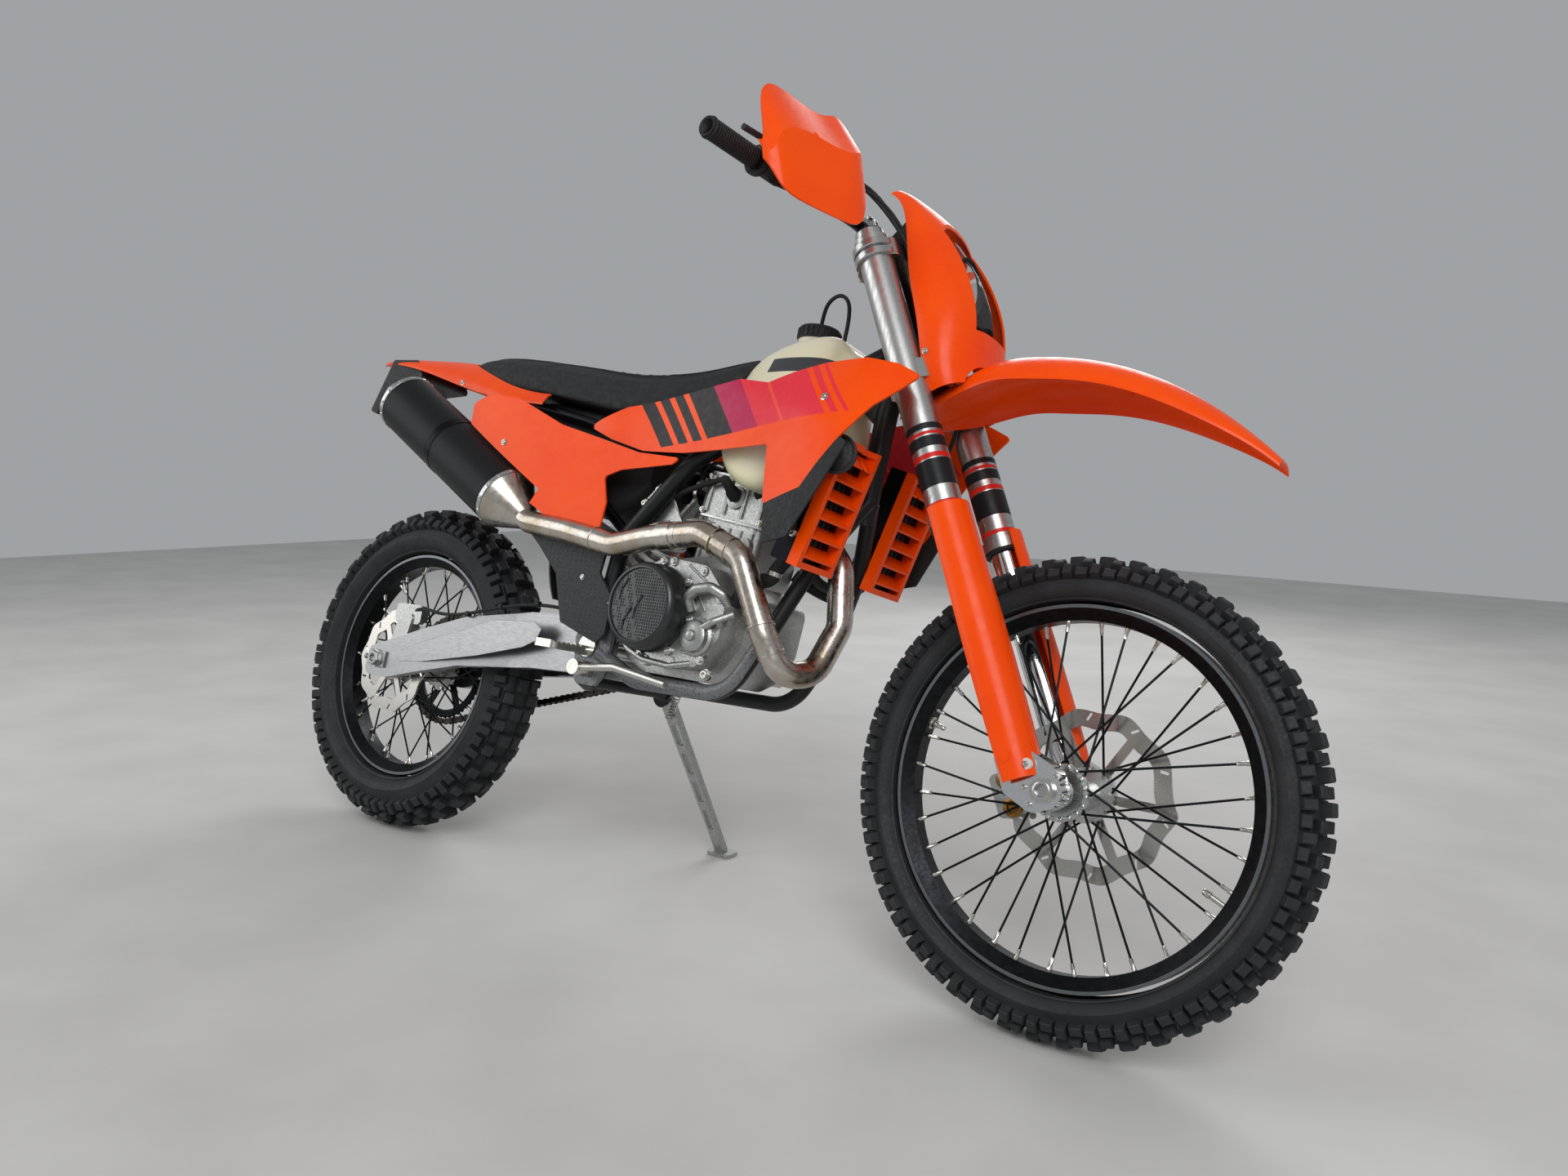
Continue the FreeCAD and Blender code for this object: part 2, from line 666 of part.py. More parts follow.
def make_fork(parts):
    tubes = fused(leg_rod(FORK_SIDE, FORK_TUBE_BOTTOM, FORK_TOP, FORK_TUBE_RADIUS),
                  leg_rod(FORK_SIDE, FORK_TUBE_BOTTOM, FORK_TUBE_BOTTOM + FORK_WIPER_HEIGHT,
                          FORK_TUBE_RADIUS + FORK_WIPER_WALL),
                  leg_rod(FORK_SIDE, FORK_TOP, FORK_TOP + FORK_CAP_HEIGHT, STANCHION_RADIUS))
    parts["fork_tubes"] = both_sides(tubes)
    parts["fork_legs"] = both_sides(fork_leg())
    parts["triple_clamps"] = triple_clamps()
    parts["fork_guards"] = both_sides(fork_guard(parts["fork_legs"], parts["fork_tubes"]))
    parts["front_caliper"] = front_caliper(parts["fork_legs"], parts["fork_guards"])


def fork_leg():
    """The left leg below the outer tube, with the foot that holds the axle."""
    stanchion = leg_rod(FORK_SIDE, LUG_TOP / 2, FORK_TUBE_BOTTOM, STANCHION_RADIUS)
    inner = FORK_SIDE - LUG_HALF_WIDTH
    outline = [
        in_fork(AXLE_OFFSET + LUG_RADIUS, inner, -LUG_RADIUS),
        in_fork(AXLE_OFFSET + LUG_RADIUS, inner, LUG_RADIUS),
        in_fork(FORK_OFFSET + STANCHION_RADIUS, inner, LUG_TOP),
        in_fork(FORK_OFFSET - STANCHION_RADIUS, inner, LUG_TOP),
        in_fork(FORK_OFFSET - STANCHION_RADIUS, inner, LUG_RADIUS / 2),
        in_fork(AXLE_OFFSET - LUG_RADIUS, inner, -LUG_RADIUS),
    ]
    radii = [LUG_RADIUS, LUG_RADIUS, LUG_CORNER, LUG_CORNER, LUG_CORNER, LUG_RADIUS]
    foot = Part.Face(rounded_outline(outline, radii)).extrude(V(0, 2 * LUG_HALF_WIDTH, 0))
    hole = cross_rod(FRONT_AXLE, FRONT_AXLE_RADIUS, 0, FORK_SPACING)
    return fused(stanchion, foot).cut(hole)


def triple_clamps():
    """Both clamps and the stem between them as one piece, with the handlebar's two mounts on top."""
    def plate(height):
        outline = [
            in_fork(FORK_OFFSET + FORK_TUBE_RADIUS + CLAMP_WALL, FORK_SIDE, height),
            in_fork(FORK_OFFSET, FORK_SIDE + FORK_TUBE_RADIUS + CLAMP_WALL, height),
            in_fork(FORK_OFFSET - FORK_TUBE_RADIUS - CLAMP_WALL, FORK_SIDE, height),
            in_fork(-HEAD_TUBE_RADIUS, STEM_RADIUS, height),
        ]
        outline = outline + [V(p.x, -p.y, p.z) for p in outline[::-1]]
        return Part.Face(rounded_outline(outline, 2 * CLAMP_WALL)).extrude(UP_FORK * CLAMP_THICKNESS)

    top = UPPER_CLAMP_HEIGHT + CLAMP_THICKNESS
    stem = rod(in_fork(0, 0, LOWER_CLAMP_HEIGHT), in_fork(0, 0, top), STEM_RADIUS)
    mounts = [rod(in_fork(0, y, UPPER_CLAMP_HEIGHT), in_fork(0, y, BAR_CLAMP_HEIGHT + BAR_CLAMP_RADIUS),
                  BAR_CLAMP_RADIUS) for y in (-BAR_CLAMP_Y, BAR_CLAMP_Y)]
    whole = fused(plate(LOWER_CLAMP_HEIGHT), plate(UPPER_CLAMP_HEIGHT), stem, *mounts)
    legs = [leg_rod(side, LOWER_CLAMP_HEIGHT - OVERRUN, top + OVERRUN, FORK_TUBE_RADIUS)
            for side in (-FORK_SIDE, FORK_SIDE)]
    return carved(whole, handlebar(), *legs)


FORK_GUARD_TAPER_SHARES = ((0.0, 0.9), (0.3, 1.0), (0.7, 0.98), (1.0, 0.95))
FORK_GUARD_INNER_DEG = -40
FORK_GUARD_OUTER_DEG = 115
FORK_GUARD_STEPS = 8


def fork_guard(legs, tubes):
    """The left leg's guard: a channel round its front and outer side, bolted to the foot."""
    span = FORK_GUARD_TOP - FORK_GUARD_BOTTOM
    sections = []
    for height, swell in FORK_GUARD_TAPER_SHARES:
        up = FORK_GUARD_BOTTOM + span * height
        outer, inner = [], []
        for i in range(FORK_GUARD_STEPS + 1):
            wrap = FORK_GUARD_OUTER_DEG - FORK_GUARD_INNER_DEG
            turn = math.radians(FORK_GUARD_INNER_DEG + wrap * i / FORK_GUARD_STEPS)
            for line, radius in ((outer, FORK_GUARD_RADIUS * swell),
                                 (inner, FORK_GUARD_RADIUS * swell - FORK_GUARD_WALL)):
                line.append(in_fork(FORK_OFFSET + radius * math.cos(turn), FORK_SIDE + radius * math.sin(turn),
                                    up))
        sections.append(Part.Wire([
            spline(outer),
            Part.LineSegment(outer[-1], inner[-1]).toShape(),
            spline(inner[::-1]),
            Part.LineSegment(inner[0], outer[0]).toShape(),
        ]))
    shell = Part.makeLoft(sections, True, False)
    boss_up = LUG_TOP - FORK_GUARD_BOSS
    boss = rod(in_fork(FORK_OFFSET, FORK_SIDE, boss_up),
               in_fork(FORK_OFFSET, FORK_SIDE + FORK_GUARD_RADIUS - FORK_GUARD_WALL / 2, boss_up),
               FORK_GUARD_BOSS)
    return carved(fused(shell, boss), legs, tubes)


def front_caliper(legs, guards):
    """The caliper behind the left leg, over the disc, on an arm from the leg's foot."""
    ahead = AXLE_OFFSET - FRONT_DISC_RADIUS + DISC_BAND / 2
    points = [(ahead - CALIPER_DEPTH / 2, -CALIPER_LENGTH / 4), (ahead - CALIPER_DEPTH / 2, CALIPER_LENGTH / 2),
              (ahead + CALIPER_DEPTH / 2, CALIPER_LENGTH / 2), (ahead + CALIPER_DEPTH / 2, -CALIPER_LENGTH / 4)]
    block = side_plate([in_fork(a, 0, u + CALIPER_LENGTH / 4) for a, u in points], CALIPER_CORNER,
                       FRONT_DISC_Y - CALIPER_HALF_WIDTH, FRONT_DISC_Y + CALIPER_HALF_WIDTH)
    room = cross_rod(FRONT_AXLE, FRONT_DISC_RADIUS + WORKING_GAP, FRONT_DISC_Y - DISC_THICKNESS,
                     FRONT_DISC_Y + DISC_THICKNESS)
    root = in_fork(ahead, FRONT_DISC_Y + CALIPER_HALF_WIDTH - CALIPER_ARM_RADIUS, CALIPER_LENGTH / 2)
    arm = rod(root, in_fork(FORK_OFFSET, FORK_SIDE, LUG_TOP / 2), CALIPER_ARM_RADIUS)
    return carved(fused(block, arm), room, legs, guards)


# Front fender, headlight mask and headlight
FENDER_SECTION_SHARES = ((-1.0, 1.0), (-0.84, 0.42), (-0.55, 0.06), (0.0, 0.0), (0.55, 0.06), (0.84, 0.42),
                         (1.0, 1.0))
FRONT_FENDER_RIDGE_SHARES = (
    (-0.048, 0.0, 0.568, 0.348), (0.048, 0.0, 0.659, 0.478), (0.144, 0.002, 0.795, 0.739),
    (0.28, 0.001, 0.943, 0.913), (0.428, -0.047, 1.0, 1.0), (0.604, -0.155, 0.966, 0.913),
    (0.756, -0.299, 0.841, 0.783), (0.872, -0.463, 0.636, 0.522), (0.956, -0.631, 0.341, 0.217)
)


def ridge_skin(ridge, half_width, drop, thickness):
    """A fender's skin: ridge points with their shares of the half width and of the edge's drop."""
    lines = []
    for point, wide, low in ridge:
        lines.append([point + V(0, half_width * wide * y, -drop * low * z) for y, z in FENDER_SECTION_SHARES])
    return skin(lines, thickness, V(0, 0, -1))


def front_fender(raised, thickness):
    """Bolted flat against the underside of the lower clamp, then arched over the wheel."""
    top = LOWER_CLAMP_HEIGHT - SEAT_GAP + raised
    ridge = [(in_fork(FRONT_FENDER_LENGTH * ahead, 0, top + FRONT_FENDER_LENGTH * up), wide, low)
             for ahead, up, wide, low in FRONT_FENDER_RIDGE_SHARES]
    return ridge_skin(ridge, FRONT_FENDER_HALF_WIDTH, FRONT_FENDER_DROP, thickness)


MASK_SECTION_SHARES = ((-1.0, 1.0), (-0.94, 0.5), (-0.6, 0.12), (0.0, 0.0), (0.6, 0.12), (0.94, 0.5), (1.0, 1.0))
# Up the steering axis, the nose ahead of it, the half width and the depth back to the edge
MASK_STATION_SHARES = (
    (0.608, 0.11, 0.943, 0.625), (0.665, 0.127, 0.981, 0.812), (0.715, 0.144, 0.962, 0.917),
    (0.782, 0.152, 0.887, 0.958), (0.853, 0.144, 0.792, 0.792), (0.926, 0.118, 0.66, 0.417),
    (0.994, 0.078, 0.472, 0.188)
)
LENS_SHOULDER_SHARE = 0.8
LENS_BACK_SHARE = 1.5
MASK_WINDOW_SHARES = ((0.69, 0.05), (0.69, 0.3), (0.91, 0.3), (0.91, 0.13), (0.8, 0.11))


def make_mask(parts):
    lines = []
    for up, nose, wide, deep in MASK_STATION_SHARES:
        lines.append([in_fork(MASK_REACH * nose - MASK_DEPTH * deep * back, MASK_HALF_WIDTH * wide * y,
                              MASK_REACH * up) for y, back in MASK_SECTION_SHARES])
    shell = skin(lines, MASK_THICKNESS, AHEAD_FORK * -1)
    window = side_plate([in_fork(MASK_REACH * a, 0, MASK_REACH * u) for u, a in MASK_WINDOW_SHARES],
                        LENS_DEPTH / 4, -LENS_HALF_WIDTH - SEAT_GAP, LENS_HALF_WIDTH + SEAT_GAP)
    hood = front_fender(WORKING_GAP, MASK_DEPTH)
    parts["headlight_mask"] = carved(shell, window, hood)
    lens = []
    for up, nose, wide, deep in MASK_STATION_SHARES[1:5]:
        ahead = MASK_REACH * nose - MASK_THICKNESS
        depth = LENS_DEPTH * deep
        half = LENS_HALF_WIDTH
        shoulder = half * LENS_SHOULDER_SHARE
        back = ahead - depth * LENS_BACK_SHARE
        lens.append(Part.makePolygon([in_fork(a, y, MASK_REACH * up) for a, y in (
            (ahead, 0), (ahead - depth / 4, shoulder), (ahead - depth / 2, half), (back, half),
            (back, -half), (ahead - depth / 2, -half), (ahead - depth / 4, -shoulder), (ahead, 0))]))
    parts["headlight"] = carved(Part.makeLoft(lens, True, False), parts["headlight_mask"], parts["triple_clamps"])


# Handlebar and what sits on it
BAR_BEND_SHARE = 0.8


def bar_points():
    """The left half of the bar's path, from its end to the middle."""
    end = in_fork(-BAR_BACK, BAR_HALF_WIDTH, BAR_HEIGHT)
    bend = in_fork(-BAR_BACK * BAR_BEND_SHARE, BAR_HALF_WIDTH - GRIP_LENGTH - PERCH_LENGTH, BAR_HEIGHT)
    rise = in_fork(0, BAR_RISE_Y, BAR_CLAMP_HEIGHT)
    return [end, bend, rise]


def handlebar():
    left = bar_points()
    right = [V(p.x, -p.y, p.z) for p in left[::-1]]
    return bent_tube(left + right, BAR_BEND, BAR_RADIUS)


def make_cockpit(parts):
    bar = handlebar()
    parts["handlebar"] = bar
    end, bend, rise = bar_points()
    inward = (bend - end).normalize()
    grip_end = end + inward * GRIP_LENGTH
    sleeve = rod(end - inward * BAR_RADIUS / 4, grip_end, GRIP_RADIUS)
    flange = rod(grip_end - inward * GRIP_FLANGE_WIDTH, grip_end, GRIP_FLANGE_RADIUS)
    core = rod(end, grip_end, BAR_RADIUS)
    parts["grips"] = both_sides(fused(sleeve, flange).cut(core))

    perch_start = grip_end + inward * GRIP_FLANGE_WIDTH
    perch_end = perch_start + inward * PERCH_LENGTH
    perch = rod(perch_start, perch_end, PERCH_RADIUS)
    middle = (perch_start + perch_end) / 2
    ahead = V(1, 0, 0)
    box_centre = middle + ahead * (PERCH_RADIUS + RESERVOIR_WIDTH / 2 - LEVER_RADIUS)
    reservoir = Part.makeBox(RESERVOIR_WIDTH, RESERVOIR_LENGTH, RESERVOIR_HEIGHT,
                             box_centre - V(RESERVOIR_WIDTH, RESERVOIR_LENGTH, RESERVOIR_HEIGHT) / 2)
    lever = bent_tube([box_centre, grip_end + ahead * LEVER_REACH, end + ahead * (LEVER_REACH - BAR_RADIUS)
                       + inward * GRIP_RADIUS], BAR_BEND, LEVER_RADIUS)
    parts["hand_controls"] = both_sides(carved(fused(perch, reservoir, lever), bar))
    parts["handguards"] = both_sides(handguard(bar, parts["hand_controls"]))
    parts["instrument"] = instrument(parts["triple_clamps"], bar)


# Across the left guard, from its outer end: side as a share of the bar's half width, then how far
# ahead and its lower and upper edge as shares of the bar's height
HANDGUARD_STATION_SHARES = (
    (0.933, 0.004, 0.917, 0.951), (0.889, 0.01, 0.885, 1.003), (0.837, 0.019, 0.86, 1.066),
    (0.716, 0.037, 0.846, 1.056), (0.593, 0.055, 0.839, 1.042), (0.501, 0.069, 0.89, 1.031)
)
HANDGUARD_RIDGE_SHARES = (0.5, 0.5, 0.55, 0.62, 0.62, 0.6)
HANDGUARD_ROOT_SHARE = 0.15
HANDGUARD_BOW_SHARES = (0.92, 0.4)


def handguard(bar, controls):
    """The left shell in front of the grip, creased along its middle, on an arm from the bar."""
    outward = V(*HANDGUARD_BOW_SHARES, 0)
    sections = []
    ridges = []
    for (side, ahead, low, high), share in zip(HANDGUARD_STATION_SHARES, HANDGUARD_RIDGE_SHARES):
        bottom = in_fork(BAR_HEIGHT * ahead, BAR_HALF_WIDTH * side, BAR_HEIGHT * low)
        top = in_fork(BAR_HEIGHT * ahead, BAR_HALF_WIDTH * side, BAR_HEIGHT * high)
        bow = HANDGUARD_BOW * min(1, (top - bottom).Length / BAR_RISE_Y / 2)
        ridge = bottom + (top - bottom) * share + outward * bow
        outer = [bottom, ridge, top]
        inner = [p - outward * HANDGUARD_THICKNESS for p in outer[::-1]]
        ridges.append(ridge)
        sections.append(Part.makePolygon(outer + inner + outer[:1]))
    shell = Part.makeLoft(sections, True, False)
    bend, rise = bar_points()[1:]
    root = bend + (rise - bend) * HANDGUARD_ROOT_SHARE
    arm = rod(root, ridges[3] - outward * HANDGUARD_THICKNESS / 2, HANDGUARD_ARM_RADIUS)
    return carved(fused(shell, arm), bar, controls)


def instrument(clamps, bar):
    """The display on the upper clamp, in front of the bar's mounts."""
    low = UPPER_CLAMP_HEIGHT + CLAMP_THICKNESS
    back = BAR_CLAMP_RADIUS
    points = [in_fork(a, 0, u) for a, u in (
        (back, low), (back + INSTRUMENT_LENGTH, low + INSTRUMENT_HEIGHT / 2),
        (back + INSTRUMENT_LENGTH, low + 2 * INSTRUMENT_HEIGHT), (back, low + INSTRUMENT_HEIGHT))]
    block = side_plate(points, INSTRUMENT_HEIGHT / 4, -INSTRUMENT_WIDTH / 2, INSTRUMENT_WIDTH / 2)
    return carved(block, clamps, bar)


# Frame and subframe
PIVOT_SHARES = (0.546, 0.424)
PIVOT = in_body(PIVOT_SHARES[0], 0, PIVOT_SHARES[1])
FRONT_SPROCKET_SHARES = (0.62, 0.446)
FRONT_SPROCKET = in_body(FRONT_SPROCKET_SHARES[0], 0, FRONT_SPROCKET_SHARES[1])
SPAR_SHARES = (
    (0.995, 0.132, 0.986), (0.835, 0.623, 0.87), (0.682, 0.887, 0.764), (0.574, 1.0, 0.617),
    (0.557, 1.0, 0.453)
)
DOWNTUBE_SHARES = (
    (1.014, 0.0, 0.965), (0.984, 0.0, 0.892), (0.978, 0.0, 0.781), (0.971, 0.075, 0.694)
)
CRADLE_SHARES = (
    (0.98, 0.057, 0.728), (0.943, 0.66, 0.617), (0.899, 0.906, 0.492), (0.84, 0.925, 0.382),
    (0.65, 0.925, 0.378), (0.566, 0.981, 0.415)
)
PIVOT_PLATE_SHARES = (
    (0.52, 0.482), (0.548, 0.55), (0.589, 0.54), (0.594, 0.436), (0.587, 0.378), (0.563, 0.343),
    (0.525, 0.361), (0.512, 0.434)
)
GUSSET_SHARES = ((1.019, 0.95), (0.995, 0.993), (0.9, 0.916), (0.98, 0.849))
LOW_CROSS_SHARES = (0.563, 0.363)
SHOCK_TOP_SHARES = (0.682, 0.764)
SHOCK_FOOT_SHARES = (0.464, 0.494)
HIGH_RAIL_SHARES = (
    (0.682, 0.887, 0.768), (0.408, 0.736, 0.837), (0.056, 0.566, 0.914)
)
LOW_RAIL_SHARES = (
    (0.577, 0.981, 0.627), (0.39, 0.755, 0.752), (0.167, 0.623, 0.873)
)
TIE_SHARES = (0.111, 0.902)


def frame_path(shares, side=1):
    return [in_body(x, FRAME_HALF_WIDTH * y * side, z) for x, y, z in shares]


def make_frame(parts):
    head = rod(in_fork(0, 0, LOWER_CLAMP_HEIGHT + CLAMP_THICKNESS + SEAT_GAP),
               in_fork(0, 0, UPPER_CLAMP_HEIGHT - SEAT_GAP), HEAD_TUBE_RADIUS)
    spar = bent_tube(frame_path(SPAR_SHARES), SPAR_BEND, SPAR_RADIUS)
    down = bent_tube(frame_path(DOWNTUBE_SHARES), SPAR_BEND, DOWNTUBE_RADIUS)
    cradle = bent_tube(frame_path(CRADLE_SHARES), CRADLE_BEND, CRADLE_RADIUS)
    plate_inner = FRAME_HALF_WIDTH - PIVOT_PLATE_THICKNESS / 2
    plate_outer = FRAME_HALF_WIDTH + PIVOT_PLATE_THICKNESS / 2
    plate = side_plate(body_outline(PIVOT_PLATE_SHARES), PIVOT_PLATE_CORNER, plate_inner, plate_outer)
    low_cross = in_body(LOW_CROSS_SHARES[0], 0, LOW_CROSS_SHARES[1])
    high_cross = in_body(SHOCK_TOP_SHARES[0], 0, SHOCK_TOP_SHARES[1])
    crosses = [cross_rod(low_cross, SUBFRAME_RADIUS, -FRAME_HALF_WIDTH, FRAME_HALF_WIDTH),
               cross_rod(high_cross, CRADLE_RADIUS, -plate_inner + SPAR_RADIUS, plate_inner - SPAR_RADIUS)]
    gusset = side_plate(body_outline(GUSSET_SHARES), GUSSET_HALF_WIDTH, -GUSSET_HALF_WIDTH, GUSSET_HALF_WIDTH)
    bracket, pin = stand_mount(plate_inner)
    half = STAND_EYE_WIDTH / 2
    eye_room = rod(stand_pivot() - stand_axis() * (half + SEAT_GAP), stand_pivot() + stand_axis() * (half + OVERRUN),
                   STAND_EYE_RADIUS + SEAT_GAP)
    left_plate = carved(plate, eye_room)
    whole = fused(head, spar, mirrored(spar), down, cradle, mirrored(cradle), left_plate, mirrored(plate), gusset,
                  bracket, pin, *crosses)
    stem = rod(in_fork(0, 0, LOWER_CLAMP_HEIGHT), in_fork(0, 0, UPPER_CLAMP_HEIGHT + OVERRUN),
               STEM_RADIUS + RUNNING_FIT)
    bolt = cross_rod(PIVOT, PIVOT_RADIUS, -plate_outer - OVERRUN, plate_outer + OVERRUN)
    parts["frame"] = carved(whole, stem, bolt)
    high = bent_tube(frame_path(HIGH_RAIL_SHARES), SUBFRAME_BEND, SUBFRAME_RADIUS)
    low = bent_tube(frame_path(LOW_RAIL_SHARES), SUBFRAME_BEND, SUBFRAME_RADIUS)
    tie = in_body(TIE_SHARES[0], 0, TIE_SHARES[1])
    tie_y = FRAME_HALF_WIDTH * HIGH_RAIL_SHARES[2][1]
    rails = fused(high, mirrored(high), low, mirrored(low), cross_rod(tie, SUBFRAME_RADIUS, -tie_y, tie_y))
    parts["subframe"] = carved(rails, parts["frame"])


# Swingarm, shock and rear caliper
ARM_OUTLINE_SHARES = (
    (0.214, 0.44), (0.371, 0.469), (0.483, 0.475), (0.563, 0.449), (0.563, 0.403), (0.501, 0.374),
    (0.39, 0.367), (0.214, 0.345)
)
ARM_END_SHARES = ((-0.36, -0.2), (-0.3, 0.22), (0.42, 0.46))
ARM_HEEL_SHARES = ((0.3, -0.33), (-0.24, -0.33))
ARM_KNEE_SHARE = 0.2
ARM_WAIST_SHARE = 0.62
SHOCK_DAMPER_SHARES = (0.3, 0.92)
SHOCK_SPRING_SHARES = (0.16, 0.62)
REAR_CALIPER_SHARE = 0.3
BRIDGE_SHARES = (
    (0.364, 0.453), (0.436, 0.467), (0.52, 0.457), (0.531, 0.405), (0.483, 0.388), (0.39, 0.384)
)


def rear_tyre_room():
    gap = WORKING_GAP
    half = REAR_TYRE_HALF_WIDTH + gap
    return cross_rod(REAR_AXLE, REAR_RADIUS + 2 * gap, -half, half)


def make_swingarm(parts):
    front = body_outline(ARM_OUTLINE_SHARES)
    end_height = REAR_SPROCKET_RADIUS
    tail_top = [REAR_AXLE + V(end_height * x, 0, end_height * z) for x, z in ARM_END_SHARES]
    tail_low = [REAR_AXLE + V(end_height * x, 0, end_height * z) for x, z in ARM_HEEL_SHARES]
    outline = tail_top + front + tail_low
    radii = [SWINGARM_CORNER] * 2 + [SPAR_BEND] * 3 + [2 * SWINGARM_CORNER] * 3 + [SPAR_BEND] * 4 + [
        SWINGARM_CORNER]
    blank = side_plate(outline, radii, 0, SWINGARM_OUTER + OVERRUN)
    back = REAR_AXLE.x - REAR_SPROCKET_RADIUS
    knee = PIVOT.x * ARM_KNEE_SHARE
    waist = PIVOT.x * ARM_WAIST_SHARE
    nose = PIVOT.x + SPAR_BEND
    front_inner = SWINGARM_FRONT_OUTER - SWINGARM_FRONT_WIDTH
    plan = [V(back, SWINGARM_OUTER, 0), V(knee, SWINGARM_OUTER, 0), V(waist, SWINGARM_FRONT_OUTER, 0),
            V(nose, SWINGARM_FRONT_OUTER, 0), V(nose, front_inner, 0), V(waist, front_inner, 0),
            V(knee, SWINGARM_OUTER - SWINGARM_WIDTH, 0), V(back, SWINGARM_OUTER - SWINGARM_WIDTH, 0)]
    plan_radii = [0, SUBFRAME_BEND, SUBFRAME_BEND, 0, 0, SUBFRAME_BEND, SUBFRAME_BEND, 0]
    prism = Part.Face(rounded_outline(plan, plan_radii)).extrude(V(0, 0, STEERING_HEAD.z))
    arm = blank.common(prism)
    left = arm.cut(chain_room())
    bridge = side_plate(body_outline(BRIDGE_SHARES), SWINGARM_CORNER, -front_inner - SWINGARM_CORNER,
                        front_inner + SWINGARM_CORNER)
    foot = in_body(SHOCK_FOOT_SHARES[0], 0, SHOCK_FOOT_SHARES[1])
    eye_half = SHOCK_EYE_WIDTH / 2
    ear = fused(cross_rod(foot, SHOCK_EYE_RADIUS / 2, -eye_half - SWINGARM_CORNER, eye_half + SWINGARM_CORNER),
                *[side_plate([foot + V(-SHOCK_EYE_RADIUS, 0, -2 * SHOCK_EYE_RADIUS),
                              foot + V(-SHOCK_EYE_RADIUS, 0, SHOCK_EYE_RADIUS / 2),
                              foot + V(SHOCK_EYE_RADIUS, 0, SHOCK_EYE_RADIUS / 2),
                              foot + V(SHOCK_EYE_RADIUS, 0, -2 * SHOCK_EYE_RADIUS)], SHOCK_EYE_RADIUS / 2, low,
                             low + SWINGARM_CORNER - SEAT_GAP)
                  for low in (-eye_half - SWINGARM_CORNER, eye_half + SEAT_GAP)])
    whole = fused(left, mirrored(arm), bridge, ear)
    reach = SWINGARM_OUTER + OVERRUN
    parts["swingarm"] = carved(whole, rear_tyre_room(), cross_rod(PIVOT, PIVOT_RADIUS, -reach, reach),
                               cross_rod(REAR_AXLE, REAR_AXLE_RADIUS, -reach, reach))
    parts["rear_shock"] = carved(rear_shock(foot), parts["frame"], parts["swingarm"])
    parts["rear_caliper"] = rear_caliper(parts["swingarm"], parts["axle_and_pivot"])


def rear_shock(foot):
    top = in_body(SHOCK_TOP_SHARES[0], 0, SHOCK_TOP_SHARES[1])
    along = (top - foot).normalize()
    length = (top - foot).Length
    half = SHOCK_EYE_WIDTH / 2
    damper_low, damper_high = (foot + along * length * share for share in SHOCK_DAMPER_SHARES)
    spring_low, spring_high = (foot + along * length * share for share in SHOCK_SPRING_SHARES)
    return fused(rod(foot, top, SHOCK_BODY_RADIUS / 2), rod(damper_low, damper_high, SHOCK_BODY_RADIUS),
                 rod(spring_low, spring_high, SHOCK_SPRING_RADIUS),
                 cross_rod(foot, SHOCK_EYE_RADIUS, -half, half), cross_rod(top, SHOCK_EYE_RADIUS, -half, half))


def rear_caliper(swingarm, axle):
    """The caliper over the rear disc, on a bracket that hangs on the axle inside the right arm."""
    arm_inner = SWINGARM_OUTER - SWINGARM_WIDTH
    centre = REAR_AXLE + V(REAR_DISC_RADIUS * REAR_CALIPER_SHARE, REAR_DISC_Y, REAR_DISC_RADIUS - DISC_BAND / 4)
    half = REAR_CALIPER_LENGTH / 2
    tall = REAR_CALIPER_HEIGHT / 2
    block = side_plate([centre + V(-half, 0, -tall), centre + V(-half, 0, tall), centre + V(half, 0, tall),
                        centre + V(half, 0, -tall)], CALIPER_CORNER, REAR_DISC_Y - REAR_CALIPER_HALF_WIDTH,
                       REAR_DISC_Y + REAR_CALIPER_HALF_WIDTH)
    outer = -arm_inner + SEAT_GAP
    bracket = side_plate([REAR_AXLE + V(-AXLE_NUT_RADIUS, 0, -AXLE_NUT_RADIUS),
                          centre + V(-half / 2, 0, 0), centre + V(half / 2, 0, 0),
                          REAR_AXLE + V(2 * AXLE_NUT_RADIUS, 0, -AXLE_NUT_RADIUS)], CALIPER_CORNER, outer,
                         outer + CALIPER_BRACKET_THICKNESS)
    room = cross_rod(REAR_AXLE, REAR_DISC_RADIUS + WORKING_GAP, REAR_DISC_Y - DISC_THICKNESS,
                     REAR_DISC_Y + DISC_THICKNESS)
    return carved(fused(block, bracket), room, rear_tyre_room(), swingarm, axle)


# Chain drive
def chain_loop(grow, y_low, y_high):
    """The loop round both sprockets at the chain's pitch line, grown outwards or inwards."""
    big = REAR_SPROCKET_RADIUS + grow
    small = FRONT_SPROCKET_RADIUS + grow
    span = FRONT_SPROCKET - REAR_AXLE
    base = math.atan2(span.z, span.x)
    lean = math.acos((big - small) / span.Length)
    high, low = base + lean, base - lean

    def at(centre, radius, angle):
        return V(centre.x + radius * math.cos(angle), y_low, centre.z + radius * math.sin(angle))
    edges = [
        Part.LineSegment(at(REAR_AXLE, big, high), at(FRONT_SPROCKET, small, high)).toShape(),
        Part.Arc(at(FRONT_SPROCKET, small, high), at(FRONT_SPROCKET, small, base),
                 at(FRONT_SPROCKET, small, low)).toShape(),
        Part.LineSegment(at(FRONT_SPROCKET, small, low), at(REAR_AXLE, big, low)).toShape(),
        Part.Arc(at(REAR_AXLE, big, low), at(REAR_AXLE, big, base + math.pi), at(REAR_AXLE, big, high)).toShape(),
    ]
    return Part.Face(Part.Wire(edges)).extrude(V(0, y_high - y_low, 0))


